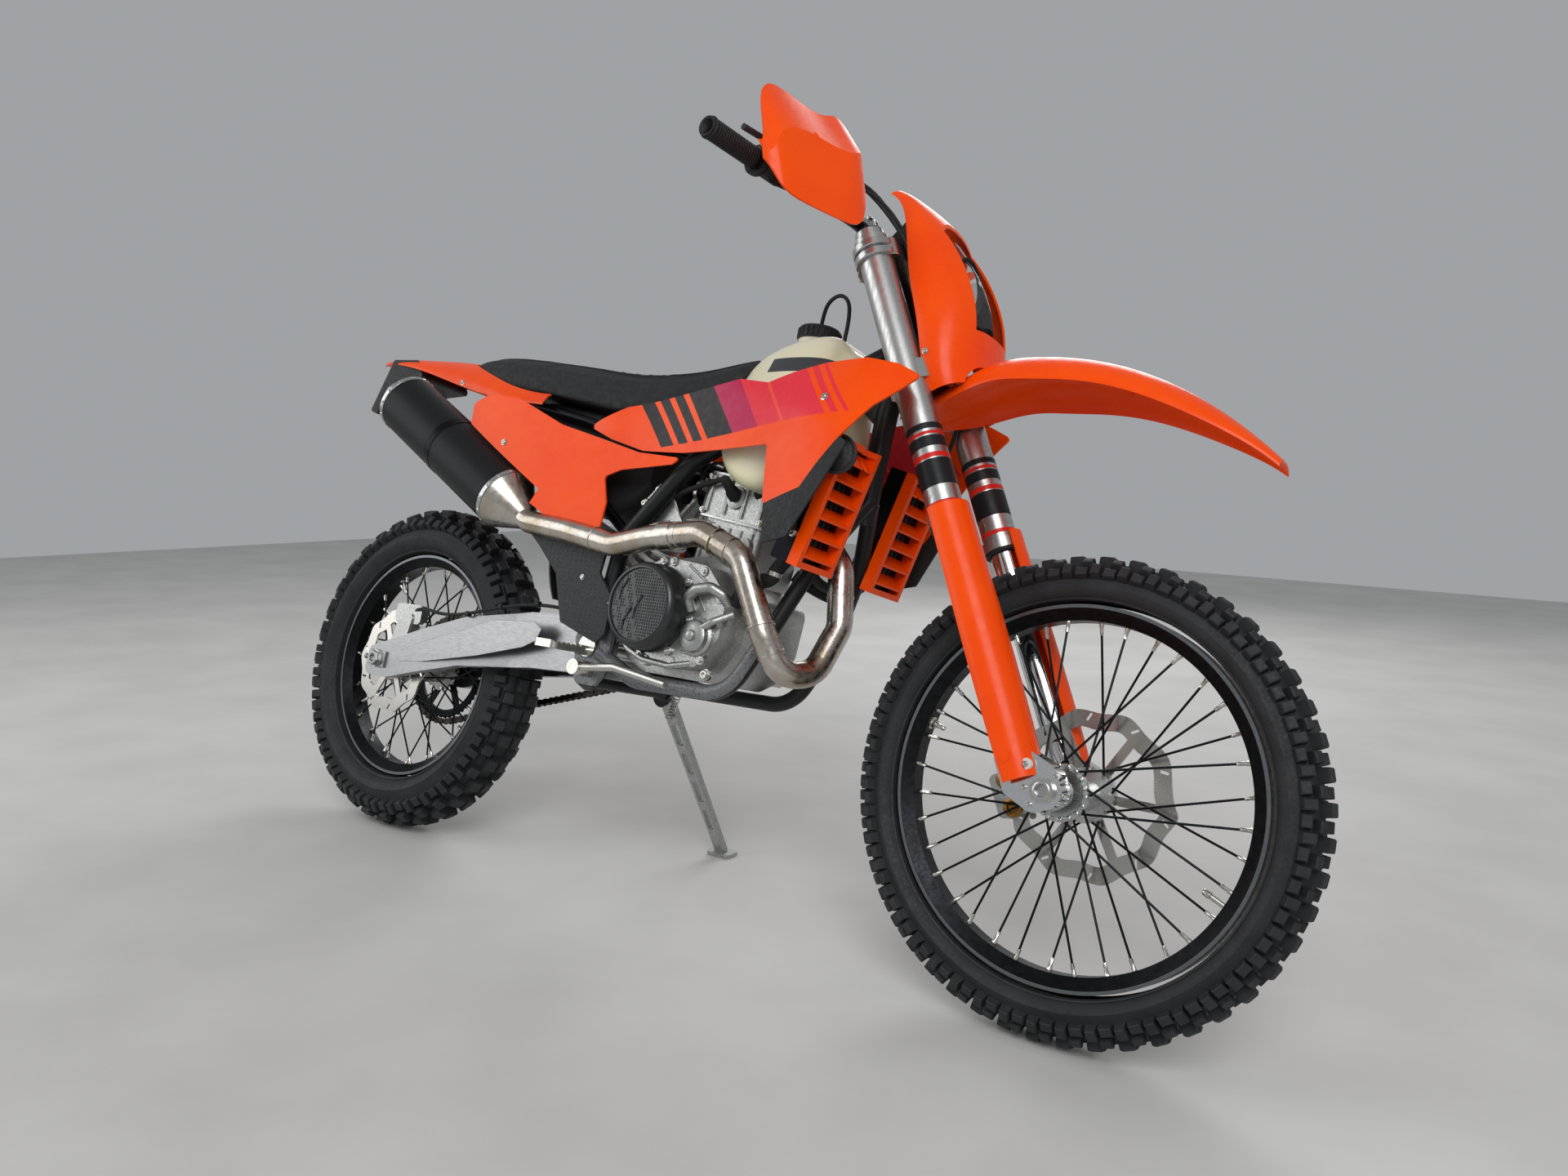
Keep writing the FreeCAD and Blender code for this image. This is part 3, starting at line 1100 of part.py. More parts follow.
def chain_room():
    """The space that the chain runs through, with its working gap."""
    grow = 2 * CHAIN_HALF_HEIGHT + WORKING_GAP
    half = CHAIN_HALF_WIDTH + WORKING_GAP
    outer = chain_loop(grow, CHAIN_Y - half, CHAIN_Y + half)
    return outer.cut(chain_loop(-WORKING_GAP, CHAIN_Y - half, CHAIN_Y + half))


def link_waists(low, high):
    """Notches round the chain's outer edge, every second pitch, where its side plates are waisted."""
    outer = chain_loop(2 * CHAIN_HALF_HEIGHT, low, high).Faces[-1].OuterWire
    count = int(outer.Length / (2 * CHAIN_PITCH))
    places = outer.discretize(Number=count + 1)
    notches = []
    for before, place, after in zip(places[-2:-1] + places[:-2], places[:-1], places[1:]):
        along = (after - before).normalize()
        inward = V(along.z, 0, -along.x)
        if (place + inward - REAR_AXLE).Length > (place - REAR_AXLE).Length and (
                place + inward - FRONT_SPROCKET).Length > (place - FRONT_SPROCKET).Length:
            inward = inward * -1
        base = V(place.x, low, place.z)
        half = along * LINK_WAIST_LENGTH / 2
        lift = inward * -LINK_WAIST_DEPTH
        points = [base - half + lift, base - half, base + inward * LINK_WAIST_DEPTH, base + half,
                  base + half + lift]
        notches.append(Part.Face(Part.makePolygon(points + points[:1])).extrude(V(0, high - low, 0)))
    return notches


def make_chain(parts):
    low = CHAIN_Y - CHAIN_HALF_WIDTH
    high = CHAIN_Y + CHAIN_HALF_WIDTH
    band = chain_loop(2 * CHAIN_HALF_HEIGHT, low, high).cut(chain_loop(SEAT_GAP, low, high))
    parts["drive_chain"] = carved(band, *link_waists(low, high))
    half = SPROCKET_THICKNESS / 2
    parts["front_sprocket"] = toothed_plate(FRONT_SPROCKET, FRONT_SPROCKET_RADIUS, FRONT_TEETH, CHAIN_Y - half,
                                            CHAIN_Y + half)


# Engine
CASE_SHARES = (
    (0.596, 0.453), (0.602, 0.55), (0.65, 0.592), (0.743, 0.606), (0.808, 0.583), (0.847, 0.54),
    (0.841, 0.463), (0.81, 0.415), (0.78, 0.397), (0.654, 0.397), (0.608, 0.415)
)
RIGHT_COVER_SHARES = (
    (0.624, 0.463), (0.631, 0.559), (0.692, 0.592), (0.78, 0.584), (0.828, 0.536), (0.826, 0.469),
    (0.789, 0.415), (0.678, 0.409)
)
LEFT_COVER_SHARES = (
    (0.682, 0.502), (0.706, 0.569), (0.761, 0.579), (0.813, 0.54), (0.817, 0.463), (0.785, 0.415),
    (0.715, 0.417)
)
CLUTCH_SHARES = (0.689, 0.503)
IGNITION_SHARES = (0.752, 0.494)
PUMP_SHARES = (0.79, 0.47)
CYLINDER_FOOT_SHARES = (0.754, 0.579)


def domed_cover(centre, radius, face, width):
    """A round cover that stands on a face and steps in to a lower rim before its flat top."""
    rim = radius - COVER_CORNER
    step = width - math.copysign(COVER_CORNER, width)
    profile = [(0, face), (radius, face), (radius, face + step / 2), (rim, face + step), (rim - COVER_CORNER,
               face + width), (0, face + width)]
    return spun(profile, centre)


def make_engine(parts):
    case = side_plate(body_outline(CASE_SHARES), CASE_CORNER, -CASE_HALF_WIDTH, CASE_HALF_WIDTH)
    right_face = -CASE_HALF_WIDTH - RIGHT_COVER_WIDTH
    left_face = CASE_HALF_WIDTH + LEFT_COVER_WIDTH
    right = side_plate(body_outline(RIGHT_COVER_SHARES), CASE_CORNER, right_face, 0)
    left = side_plate(body_outline(LEFT_COVER_SHARES), CASE_CORNER, 0, left_face)
    whole = fused(case, right, left)
    pocket = chain_loop(2 * CHAIN_HALF_HEIGHT + WORKING_GAP, CHAIN_Y - CHAIN_HALF_WIDTH - WORKING_GAP,
                        left_face + OVERRUN)
    parts["engine_case"] = carved(whole, parts["frame"], pocket)
    foot = in_body(CYLINDER_FOOT_SHARES[0], 0, CYLINDER_FOOT_SHARES[1])

    def block(length, width, low, height):
        start = foot + V(-length / 2, -width / 2, low)
        points = [start, start + V(length, 0, 0), start + V(length, width, 0), start + V(0, width, 0)]
        return Part.Face(rounded_outline(points, CYLINDER_CORNER)).extrude(V(0, 0, height))
    stack = fused(block(BARREL_LENGTH, BARREL_WIDTH, 0, BARREL_HEIGHT),
                  block(HEAD_LENGTH, HEAD_WIDTH, BARREL_HEIGHT, HEAD_HEIGHT),
                  block(HEAD_COVER_LENGTH, HEAD_COVER_WIDTH, BARREL_HEIGHT + HEAD_HEIGHT, HEAD_COVER_HEIGHT))
    stack = stack.rotated(foot, Y_AXIS, CYLINDER_LEAN_DEG)
    parts["engine_cylinder"] = carved(stack, parts["frame"], parts["engine_case"], parts["rear_shock"])
    clutch = in_body(CLUTCH_SHARES[0], 0, CLUTCH_SHARES[1])
    ignition = in_body(IGNITION_SHARES[0], 0, IGNITION_SHARES[1])
    lid = domed_cover(clutch, CLUTCH_RADIUS, right_face, -CLUTCH_COVER_WIDTH)
    cap = domed_cover(ignition, IGNITION_RADIUS, left_face, IGNITION_COVER_WIDTH)
    pump = in_body(PUMP_SHARES[0], 0, PUMP_SHARES[1])
    bowl = carved(domed_cover(pump, PUMP_RADIUS, right_face, -PUMP_DEPTH),
                  cross_rod(clutch, CLUTCH_RADIUS + SEAT_GAP, 2 * right_face, right_face))
    parts["engine_covers"] = Part.Compound([lid, cap, bowl])


# Exhaust
PIPE_SHARES = (
    (0.847, 0.0, 0.687), (0.902, 0.0, 0.675), (0.956, -0.076, 0.617), (0.977, -0.127, 0.521),
    (0.971, -0.392, 0.44), (0.949, -0.772, 0.426), (0.921, -0.937, 0.487), (0.863, -1.0, 0.6),
    (0.778, -1.0, 0.632), (0.668, -0.975, 0.617), (0.594, -0.949, 0.6), (0.483, -0.949, 0.617),
    (0.371, -0.899, 0.629), (0.297, -0.905, 0.67)
)
SILENCER_SHARES = (
    (0.306, -0.905, 0.666), (-0.007, -1.076, 0.845)
)


def silencer_ends():
    return [in_body(x, PIPE_HALF_WIDTH * y, z) for x, y, z in SILENCER_SHARES]


def silencer_room(gap):
    front, rear = silencer_ends()
    along = (rear - front).normalize()
    return rod(front - along * SILENCER_CONE_LENGTH, rear, SILENCER_RADIUS + gap)


def make_exhaust(parts):
    front, rear = silencer_ends()
    along = (rear - front).normalize()
    points = [in_body(x, PIPE_HALF_WIDTH * y, z) for x, y, z in PIPE_SHARES]
    points[-1] = front - along * SILENCER_CONE_LENGTH / 2
    pipe = bent_tube(points, PIPE_BEND, PIPE_RADIUS)
    cone = Part.makeCone(PIPE_RADIUS, SILENCER_RADIUS, SILENCER_CONE_LENGTH, front - along * SILENCER_CONE_LENGTH,
                         along)
    cap = Part.makeCone(SILENCER_RADIUS, SILENCER_RADIUS / 2, SILENCER_CAP_LENGTH, rear, along)
    header = carved(fused(pipe, cone), parts["frame"], parts["engine_cylinder"], parts["engine_case"])
    parts["exhaust_pipe"] = Part.Compound([header, cap])
    parts["silencer"] = rod(front, rear, SILENCER_RADIUS)


# Tank, seat and plastics
TANK_STATION_SHARES = (
    (0.692, 0.455, 0.82, 0.916), (0.743, 0.788, 0.772, 0.949), (0.817, 1.0, 0.719, 0.984),
    (0.873, 0.939, 0.733, 0.997), (0.905, 0.636, 0.829, 0.99), (0.933, 0.348, 0.887, 0.972)
)
TANK_SECTION_SHARES = ((-1.0, 0.0), (1.0, 0.0), (0.98, 0.5), (0.5, 1.0), (-0.5, 1.0), (-0.98, 0.5))
TANK_CAP_SHARES = (0.826, 0.984)
SEAT_STATION_SHARES = (
    (0.037, 0.617, 0.932, 0.976), (0.13, 0.872, 0.914, 0.978), (0.278, 1.0, 0.887, 0.961),
    (0.418, 0.872, 0.864, 0.947), (0.52, 0.745, 0.855, 0.941), (0.631, 0.638, 0.88, 0.949),
    (0.724, 0.404, 0.932, 0.972), (0.756, 0.255, 0.963, 0.978)
)
SEAT_SECTION_SHARES = ((-1.0, 0.0), (1.0, 0.0), (0.92, 0.82), (0.5, 1.0), (-0.5, 1.0), (-0.92, 0.82))
AIRBOX_STATION_SHARES = (
    (0.232, 0.761, 0.772, 0.886), (0.306, 0.935, 0.714, 0.882), (0.399, 1.0, 0.675, 0.864),
    (0.501, 0.957, 0.666, 0.855), (0.576, 0.761, 0.714, 0.856)
)


def lofted(stations, half_width, section, corner):
    """A closed body through upright sections: x, half width, lower and upper height as shares."""
    wires = []
    for x, wide, low, high in stations:
        points = [in_body(x, half_width * wide * y, low + (high - low) * z) for y, z in section]
        wires.append(rounded_outline(points, corner))
    return Part.makeLoft(wires, True, False)


def make_tank_and_seat(parts):
    tank = lofted(TANK_STATION_SHARES, TANK_HALF_WIDTH, TANK_SECTION_SHARES, TANK_CORNER)
    cap_at = in_body(TANK_CAP_SHARES[0], 0, TANK_CAP_SHARES[1])
    cap = rod(cap_at, cap_at + V(0, 0, TANK_CAP_HEIGHT + TANK_CORNER), TANK_CAP_RADIUS)
    parts["fuel_tank"] = carved(fused(tank, cap), parts["frame"], parts["engine_cylinder"],
                                *leg_sweeps(WORKING_GAP))
    seat = lofted(SEAT_STATION_SHARES, SEAT_HALF_WIDTH, SEAT_SECTION_SHARES, SEAT_CORNER)
    parts["seat"] = carved(seat, parts["fuel_tank"], parts["subframe"])
    box = lofted(AIRBOX_STATION_SHARES, AIRBOX_HALF_WIDTH, TANK_SECTION_SHARES, TANK_CORNER)
    parts["airbox"] = carved(box, parts["seat"], parts["subframe"], parts["frame"], parts["rear_shock"],
                             silencer_room(WORKING_GAP), parts["engine_cylinder"])


def leg_sweeps(gap):
    """The space behind which the fork tubes pass between the steering stops, on both sides."""
    outer = math.hypot(FORK_OFFSET, FORK_SIDE) + FORK_TUBE_RADIUS + gap
    inner = math.hypot(FORK_OFFSET, FORK_SIDE) - FORK_TUBE_RADIUS - gap
    height = FORK_TOP + FORK_CAP_HEIGHT + gap - FORK_TUBE_BOTTOM
    rest = math.degrees(math.atan2(FORK_SIDE, FORK_OFFSET))
    spread = math.degrees(math.asin((FORK_TUBE_RADIUS + gap) / math.hypot(FORK_OFFSET, FORK_SIDE)))
    start = rest - STEERING_STOP_DEG - spread
    turn = 2 * (STEERING_STOP_DEG + spread)
    sector = Part.makeCylinder(outer, height, ORIGIN, Z_AXIS, turn).cut(Part.makeCylinder(inner, height))
    sector = sector.rotated(ORIGIN, Z_AXIS, start)
    frame = FreeCAD.Placement(in_fork(0, 0, FORK_TUBE_BOTTOM),
                              FreeCAD.Rotation(AHEAD_FORK, Y_AXIS, UP_FORK, "ZXY"))
    sector.Placement = frame.multiply(sector.Placement)
    return [sector, mirrored(sector)]


SHROUD_SHARES = (
    (0.457, 0.816), (0.539, 0.853), (0.784, 0.897), (0.852, 0.885), (0.9, 0.9), (0.959, 0.913),
    (1.03, 0.919), (1.087, 0.907), (1.126, 0.888), (1.068, 0.837), (1.032, 0.789), (1.001, 0.741),
    (0.98, 0.705), (0.912, 0.678), (0.894, 0.775), (0.822, 0.774), (0.691, 0.77), (0.591, 0.774),
    (0.516, 0.793)
)
# Along the shroud: the half width at its lower edge, its middle and its upper edge
SHROUD_SWELL_SHARES = (
    (0.436, 0.509, 0.509, 0.509), (0.557, 0.564, 0.555, 0.518), (0.706, 0.645, 0.618, 0.564),
    (0.817, 0.773, 0.736, 0.6), (0.91, 0.936, 0.855, 0.655), (0.984, 1.0, 0.918, 0.7),
    (1.058, 0.982, 0.9, 0.727), (1.16, 0.891, 0.836, 0.736)
)
SHROUD_LEVEL_SHARES = (0.6, 0.71, 0.815, 0.931)
SHROUD_CAP_SHARES = (
    (0.913, 0.683), (0.975, 0.711), (0.995, 0.745), (1.026, 0.788), (1.043, 0.777), (1.017, 0.716),
    (0.975, 0.629), (0.93, 0.617)
)
SHROUD_BOSS_SHARES = ((0.8, 0.85), (0.975, 0.765))
SHROUD_CAP_BOSS_SHARES = ((0.952, 0.655),)
SIDE_PANEL_BOSS_SHARES = ((0.531, 0.622),)
SIDE_PANEL_RAIL_SHARES = ((0.4, 0.8),)
FRAME_GUARD_BOSS_SHARES = ((0.553, 0.45), (0.56, 0.5))
SIDE_PANEL_SHARES = (
    (0.186, 0.847), (0.217, 0.865), (0.292, 0.861), (0.412, 0.812), (0.506, 0.79), (0.594, 0.768),
    (0.682, 0.762), (0.668, 0.75), (0.563, 0.735), (0.531, 0.721), (0.546, 0.675), (0.543, 0.617),
    (0.531, 0.598), (0.516, 0.601), (0.464, 0.619), (0.382, 0.66), (0.329, 0.674), (0.244, 0.729),
    (0.19, 0.808)
)
SIDE_PANEL_SWELL_SHARES = (
    (0.149, 0.966, 0.955, 0.909), (0.26, 0.955, 0.943, 0.875), (0.39, 0.909, 0.875, 0.784),
    (0.501, 0.841, 0.807, 0.727), (0.613, 0.795, 0.761, 0.693), (0.724, 0.75, 0.716, 0.67)
)
SIDE_PANEL_LEVEL_SHARES = (0.579, 0.675, 0.772, 0.883)


def flank(swells, levels, half_width, outline, corner):
    """A right-hand panel: a swelling skin trimmed to its outline in side view."""
    lines = []
    for x, low, middle, high in swells:
        widths = (low, (low + middle) / 2, middle, high)
        lines.append([in_body(x, -half_width * wide, z) for wide, z in zip(widths, levels)])
    wall = skin(lines, PANEL_THICKNESS, Y_AXIS)
    trim = side_plate(body_outline(outline), corner, -half_width - OVERRUN, 0)
    return largest(wall.common(trim))


def bossed(panel, half_width, shares, y_inner, *seats):
    """A right-hand panel with the bosses on its inner face that rest on what carries it."""
    reach = -half_width - OVERRUN
    whole = panel
    for x, z in shares:
        at = in_body(x, 0, z)
        column = cross_rod(at, BOSS_RADIUS, reach, -y_inner)
        outside = column.cut(panel)
        inner = max(outside.Solids, key=lambda solid: solid.CenterOfMass.y)
        whole = fused(whole, inner)
    return carved(whole, *seats)


def make_panels(parts):
    shroud = flank(SHROUD_SWELL_SHARES, SHROUD_LEVEL_SHARES, SHROUD_HALF_WIDTH, SHROUD_SHARES, SHROUD_CORNER)
    cap = carved(flank(SHROUD_SWELL_SHARES, SHROUD_LEVEL_SHARES, SHROUD_HALF_WIDTH, SHROUD_CAP_SHARES,
                       SHROUD_CORNER), shroud)
    radiator_side = RADIATOR_INNER_Y + RADIATOR_WIDTH + SEAT_GAP
    shroud = bossed(shroud, SHROUD_HALF_WIDTH, SHROUD_BOSS_SHARES[:1], 0, parts["fuel_tank"])
    shroud = bossed(shroud, SHROUD_HALF_WIDTH, SHROUD_BOSS_SHARES[1:], radiator_side)
    parts["shrouds"] = both_sides(shroud)
    parts["shroud_caps"] = both_sides(bossed(cap, SHROUD_HALF_WIDTH, SHROUD_CAP_BOSS_SHARES, radiator_side))
    panel = flank(SIDE_PANEL_SWELL_SHARES, SIDE_PANEL_LEVEL_SHARES, SIDE_PANEL_HALF_WIDTH, SIDE_PANEL_SHARES,
                  SIDE_PANEL_CORNER)
    guard_side = FRAME_GUARD_Y + FRAME_GUARD_THICKNESS
    panel = bossed(panel, SIDE_PANEL_HALF_WIDTH, SIDE_PANEL_BOSS_SHARES, guard_side)
    panel = bossed(panel, SIDE_PANEL_HALF_WIDTH, SIDE_PANEL_RAIL_SHARES, 0, parts["airbox"], parts["subframe"])
    right = carved(panel, silencer_room(WORKING_GAP), parts["exhaust_pipe"], shroud)
    left = mirrored(carved(panel, shroud))
    parts["side_panels"] = Part.Compound([right, left])


REAR_FENDER_RIDGE_SHARES = (
    (-0.295, 0.982, 0.283, 0.1), (-0.223, 0.986, 0.585, 0.267), (-0.093, 0.98, 0.736, 0.567),
    (0.056, 0.965, 0.906, 1.0), (0.186, 0.93, 0.981, 0.867), (0.306, 0.905, 1.0, 0.667)
)
MUD_FLAP_SHARES = ((0.36, 0.72), (0.352, 0.64), (0.36, 0.56), (0.385, 0.5))
MUD_FLAP_SIDE_SHARES = (-1.0, 0.0, 1.0)
TAIL_HOLDER_SHARES = (
    (-0.219, 0.976), (-0.139, 0.974), (-0.111, 0.934), (-0.182, 0.928), (-0.243, 0.853), (-0.264, 0.86)
)


def make_tail(parts):
    ridge = [(in_body(x, 0, z), wide, low) for x, z, wide, low in REAR_FENDER_RIDGE_SHARES]
    fender = ridge_skin(ridge, REAR_FENDER_HALF_WIDTH, REAR_FENDER_DROP, FENDER_THICKNESS)
    parts["rear_fender"] = carved(fender, parts["seat"], parts["subframe"], parts["airbox"],
                                  silencer_room(WORKING_GAP))
    holder = side_plate(body_outline(TAIL_HOLDER_SHARES), SHROUD_CORNER, -TAIL_HOLDER_HALF_WIDTH,
                        TAIL_HOLDER_HALF_WIDTH)
    pieces = sorted(holder.cut(parts["rear_fender"]).Solids, key=lambda solid: solid.CenterOfMass.z)
    parts["tail_holder"] = pieces[0]
    lines = [[in_body(x, MUD_FLAP_HALF_WIDTH * side, z) for x, z in MUD_FLAP_SHARES] for side in MUD_FLAP_SIDE_SHARES]
    parts["mud_flap"] = carved(skin(lines, PANEL_THICKNESS, X_AXIS), parts["airbox"], parts["subframe"],
                               parts["rear_shock"], parts["swingarm"], silencer_room(SEAT_GAP))


RADIATOR_MIDDLE_SHARES = (0.962, 0.702)
FRAME_GUARD_SHARES = (
    (0.251, 0.704), (0.323, 0.673), (0.377, 0.656), (0.516, 0.598), (0.533, 0.666), (0.546, 0.714),
    (0.572, 0.698), (0.564, 0.61), (0.557, 0.551), (0.595, 0.511), (0.594, 0.448), (0.577, 0.43),
    (0.543, 0.44), (0.488, 0.457), (0.455, 0.542), (0.399, 0.59), (0.321, 0.647)
)


def slatted(slab, middle, front):
    """Opens a slab into a frame round a window with slats that slant down to the front."""
    width = RADIATOR_WIDTH - 2 * LOUVRE_RIM
    height = RADIATOR_HEIGHT - 2 * LOUVRE_RIM
    window = Part.makeBox(4 * LOUVRE_DEPTH, width, height,
                          middle + V(front - 2 * LOUVRE_DEPTH, RADIATOR_INNER_Y + LOUVRE_RIM, -height / 2))
    window = window.rotated(middle, Y_AXIS, RADIATOR_LEAN_DEG)
    slats = []
    for i in range(LOUVRE_SLATS):
        level = height * ((i + 0.5) / LOUVRE_SLATS - 0.5)
        centre = middle + V(front, 0, level)
        slat = Part.makeBox(2 * LOUVRE_DEPTH, width + LOUVRE_RIM, LOUVRE_SLAT_THICKNESS,
                            centre + V(-LOUVRE_DEPTH, RADIATOR_INNER_Y + LOUVRE_RIM / 2, 0))
        slat = slat.rotated(centre, Y_AXIS, LOUVRE_SLAT_DEG)
        slats.append(slat.rotated(middle, Y_AXIS, RADIATOR_LEAN_DEG).common(slab))
    return fused(slab.cut(window), *slats)


def make_radiators(parts):
    middle = in_body(RADIATOR_MIDDLE_SHARES[0], 0, RADIATOR_MIDDLE_SHARES[1])

    def slab(front, depth):
        box = Part.makeBox(depth, RADIATOR_WIDTH, RADIATOR_HEIGHT,
                           middle + V(front - depth, RADIATOR_INNER_Y, -RADIATOR_HEIGHT / 2))
        return box.rotated(middle, Y_AXIS, RADIATOR_LEAN_DEG)
    half = RADIATOR_DEPTH / 2
    sweeps = leg_sweeps(WORKING_GAP)
    core = carved(slab(half, RADIATOR_DEPTH), parts["frame"], parts["exhaust_pipe"], parts["fuel_tank"],
                  parts["shrouds"], *sweeps)
    louvre = slatted(slab(half + LOUVRE_DEPTH, LOUVRE_DEPTH - SEAT_GAP), middle, half + LOUVRE_DEPTH / 2)
    parts["radiators"] = both_sides(core)
    parts["radiator_louvres"] = both_sides(carved(louvre, parts["frame"], parts["exhaust_pipe"],
                                                  parts["shrouds"], *sweeps))


def make_frame_guards(parts):
    plate = side_plate(body_outline(FRAME_GUARD_SHARES), SIDE_PANEL_CORNER, -FRAME_GUARD_Y - FRAME_GUARD_THICKNESS,
                       -FRAME_GUARD_Y)
    plate_side = FRAME_HALF_WIDTH + PIVOT_PLATE_THICKNESS / 2
    for x, z in FRAME_GUARD_BOSS_SHARES:
        at = in_body(x, 0, z)
        plate = fused(plate, cross_rod(at, BOSS_RADIUS, -FRAME_GUARD_Y, -plate_side))
    right = carved(plate, parts["frame"], parts["exhaust_pipe"], parts["side_panels"], parts["silencer"],
                   parts["axle_and_pivot"])
    left = carved(mirrored(plate), parts["frame"], parts["side_panels"], parts["axle_and_pivot"])
    parts["frame_guards"] = Part.Compound([right, left])


# Foot controls
PEG_SHARES = (0.546, 0.415)
PEDAL_SHARES = (
    (0.557, 0.384), (0.641, 0.395), (0.754, 0.382)
)
SHIFTER_SHARES = (
    (0.689, 0.44), (0.72, 0.424), (0.767, 0.419)
)


def foot_rest(at):
    """The left footpeg: an open frame with one rib along it and teeth along its top."""
    low = V(at.x - PEG_WIDTH / 2, PEG_ROOT_Y, at.z - PEG_HEIGHT / 2)

    def plan(inset_x, inset_y, width, length, corner):
        start = low + V(inset_x, inset_y, 0)
        points = [start, start + V(width, 0, 0), start + V(width, length, 0), start + V(0, length, 0)]
        return Part.Face(rounded_outline(points, corner)).extrude(V(0, 0, PEG_HEIGHT))
    bay = (PEG_WIDTH - 3 * PEG_RIM) / 2
    bays = [plan(PEG_RIM + i * (bay + PEG_RIM), 2 * PEG_RIM, bay, PEG_LENGTH - 3 * PEG_RIM, PEG_RIM)
            for i in range(2)]
    gap = PEG_LENGTH / PEG_TEETH
    top = low + V(-OVERRUN, 0, PEG_HEIGHT)
    notch = Part.makePolygon([top, top + V(0, gap / 2, -PEG_TOOTH_DEPTH), top + V(0, gap, 0), top])
    notch = Part.Face(notch).extrude(V(PEG_WIDTH + 2 * OVERRUN, 0, 0))
    notches = [notch.translated(V(0, gap * i, 0)) for i in range(1, PEG_TEETH)]
    return carved(plan(0, 0, PEG_WIDTH, PEG_LENGTH, 2 * PEG_RIM), *bays, *notches)


def make_foot_controls(parts):
    at = in_body(PEG_SHARES[0], 0, PEG_SHARES[1])
    peg = foot_rest(at)
    hanger = cross_rod(at, PEG_ARM_RADIUS, FRAME_HALF_WIDTH, PEG_ROOT_Y + PEG_ARM_RADIUS)
    peg_left = carved(fused(peg, hanger), parts["frame"], parts["frame_guards"], parts["axle_and_pivot"])
    parts["footpegs"] = both_sides(peg_left)
    pedal_points = [in_body(x, -PEDAL_Y, z) for x, z in PEDAL_SHARES]
    boss = cross_rod(pedal_points[0], 2 * PEDAL_RADIUS, -PEDAL_Y - PEDAL_RADIUS * 1.4, -FRAME_HALF_WIDTH)
    pedal = carved(fused(bent_tube(pedal_points, PEDAL_BEND, PEDAL_RADIUS), boss), parts["frame"],
                   parts["frame_guards"], parts["footpegs"], parts["exhaust_pipe"])
    shift_points = [in_body(x, SHIFTER_Y, z) for x, z in SHIFTER_SHARES]
    shaft = cross_rod(shift_points[0], 2 * SHIFTER_RADIUS, 0, SHIFTER_Y + SHIFTER_RADIUS * 1.4)
    tip = cross_rod(shift_points[-1], SHIFTER_RADIUS * 1.3, SHIFTER_Y - SHIFTER_RADIUS * 1.4, SHIFTER_Y + PEDAL_BEND)
    shifter = carved(fused(bent_tube(shift_points, PEDAL_BEND, SHIFTER_RADIUS), shaft, tip),
                     parts["engine_case"], parts["engine_covers"], parts["frame"], chain_room())
    parts["foot_levers"] = Part.Compound([pedal, shifter])


# Side stand
STAND_PIVOT_SHARES = (0.548, 0.359)
STAND_FOOT_SHARE = 0.615
STAND_SLOT_SHARES = ((0.17, 0.3), (0.35, 0.48), (0.53, 0.66), (0.71, 0.84))


def stand_axis():
    """Level across the standing bike but for a slant, so that the leg folds back beside the arm."""
    tip = math.radians(STAND_AXIS_DEG)
    return V(0, math.cos(tip), math.sin(tip))


def stand_pivot():
    return in_body(STAND_PIVOT_SHARES[0], STAND_PIVOT_Y, STAND_PIVOT_SHARES[1])


def stand_mount(plate_inner):
    """The ear on the left pivot plate and the pin that the stand turns on."""
    pivot, axis = stand_pivot(), stand_axis()
    inner = STAND_EYE_WIDTH / 2 + SEAT_GAP
    ear_end = pivot - axis * inner
    ear = rod(ear_end - axis * PIVOT_PLATE_THICKNESS, ear_end, STAND_EYE_RADIUS)
    strap = rod(in_body(PIVOT_PLATE_SHARES[6][0], FRAME_HALF_WIDTH, PIVOT_PLATE_SHARES[6][1]),
                ear_end - axis * PIVOT_PLATE_THICKNESS / 2, PIVOT_PLATE_THICKNESS / 2)
    pin = rod(ear_end - axis * PIVOT_PLATE_THICKNESS, pivot + axis * inner, STAND_PIN_RADIUS)
    head = rod(pivot + axis * inner, pivot + axis * (inner + PIVOT_CAP_WIDTH), STAND_PIN_RADIUS * 1.6)
    return fused(ear, strap), fused(pin, head)


def ground_drop(lug_width):
    """How far the low corner of a leaning tyre's centre lug dips below the line that it leans about."""
    return lug_width / 2 * math.sin(LEAN)


def on_ground(x, y):
    """A point on the ground of the leaning bike, in the upright frame."""
    rear, front = ground_drop(REAR_CENTRE_LUG_WIDTH), ground_drop(FRONT_CENTRE_LUG_WIDTH)
    z = -rear - (front - rear) * x / WHEELBASE
    return FreeCAD.Rotation(X_AXIS, LEAN_DEG).multVec(V(x, y, z))


def stand_leg(top, foot, axis):
    """A forged flat leg that narrows towards its foot, with slots down its middle."""
    along = (foot - top).normalize()
    wide = axis.cross(along).normalize()
    flat = along.cross(wide)
    length = (foot - top).Length
    base = top - flat * STAND_LEG_THICKNESS / 2

    def half_at(share):
        return STAND_LEG_TOP_WIDTH / 2 + (STAND_LEG_FOOT_WIDTH - STAND_LEG_TOP_WIDTH) / 2 * share

    def outline(start, end, rim, corner):
        points = [base + along * length * share + wide * (half_at(share) - rim) * side
                  for share, side in ((start, 1), (end, 1), (end, -1), (start, -1))]
        return Part.Face(rounded_outline(points, corner)).extrude(flat * STAND_LEG_THICKNESS)
    slots = [outline(start, end, STAND_LEG_RIM, STAND_LEG_RIM / 2) for start, end in STAND_SLOT_SHARES]
    return carved(outline(0, 1, 0, STAND_LEG_RIM), *slots)


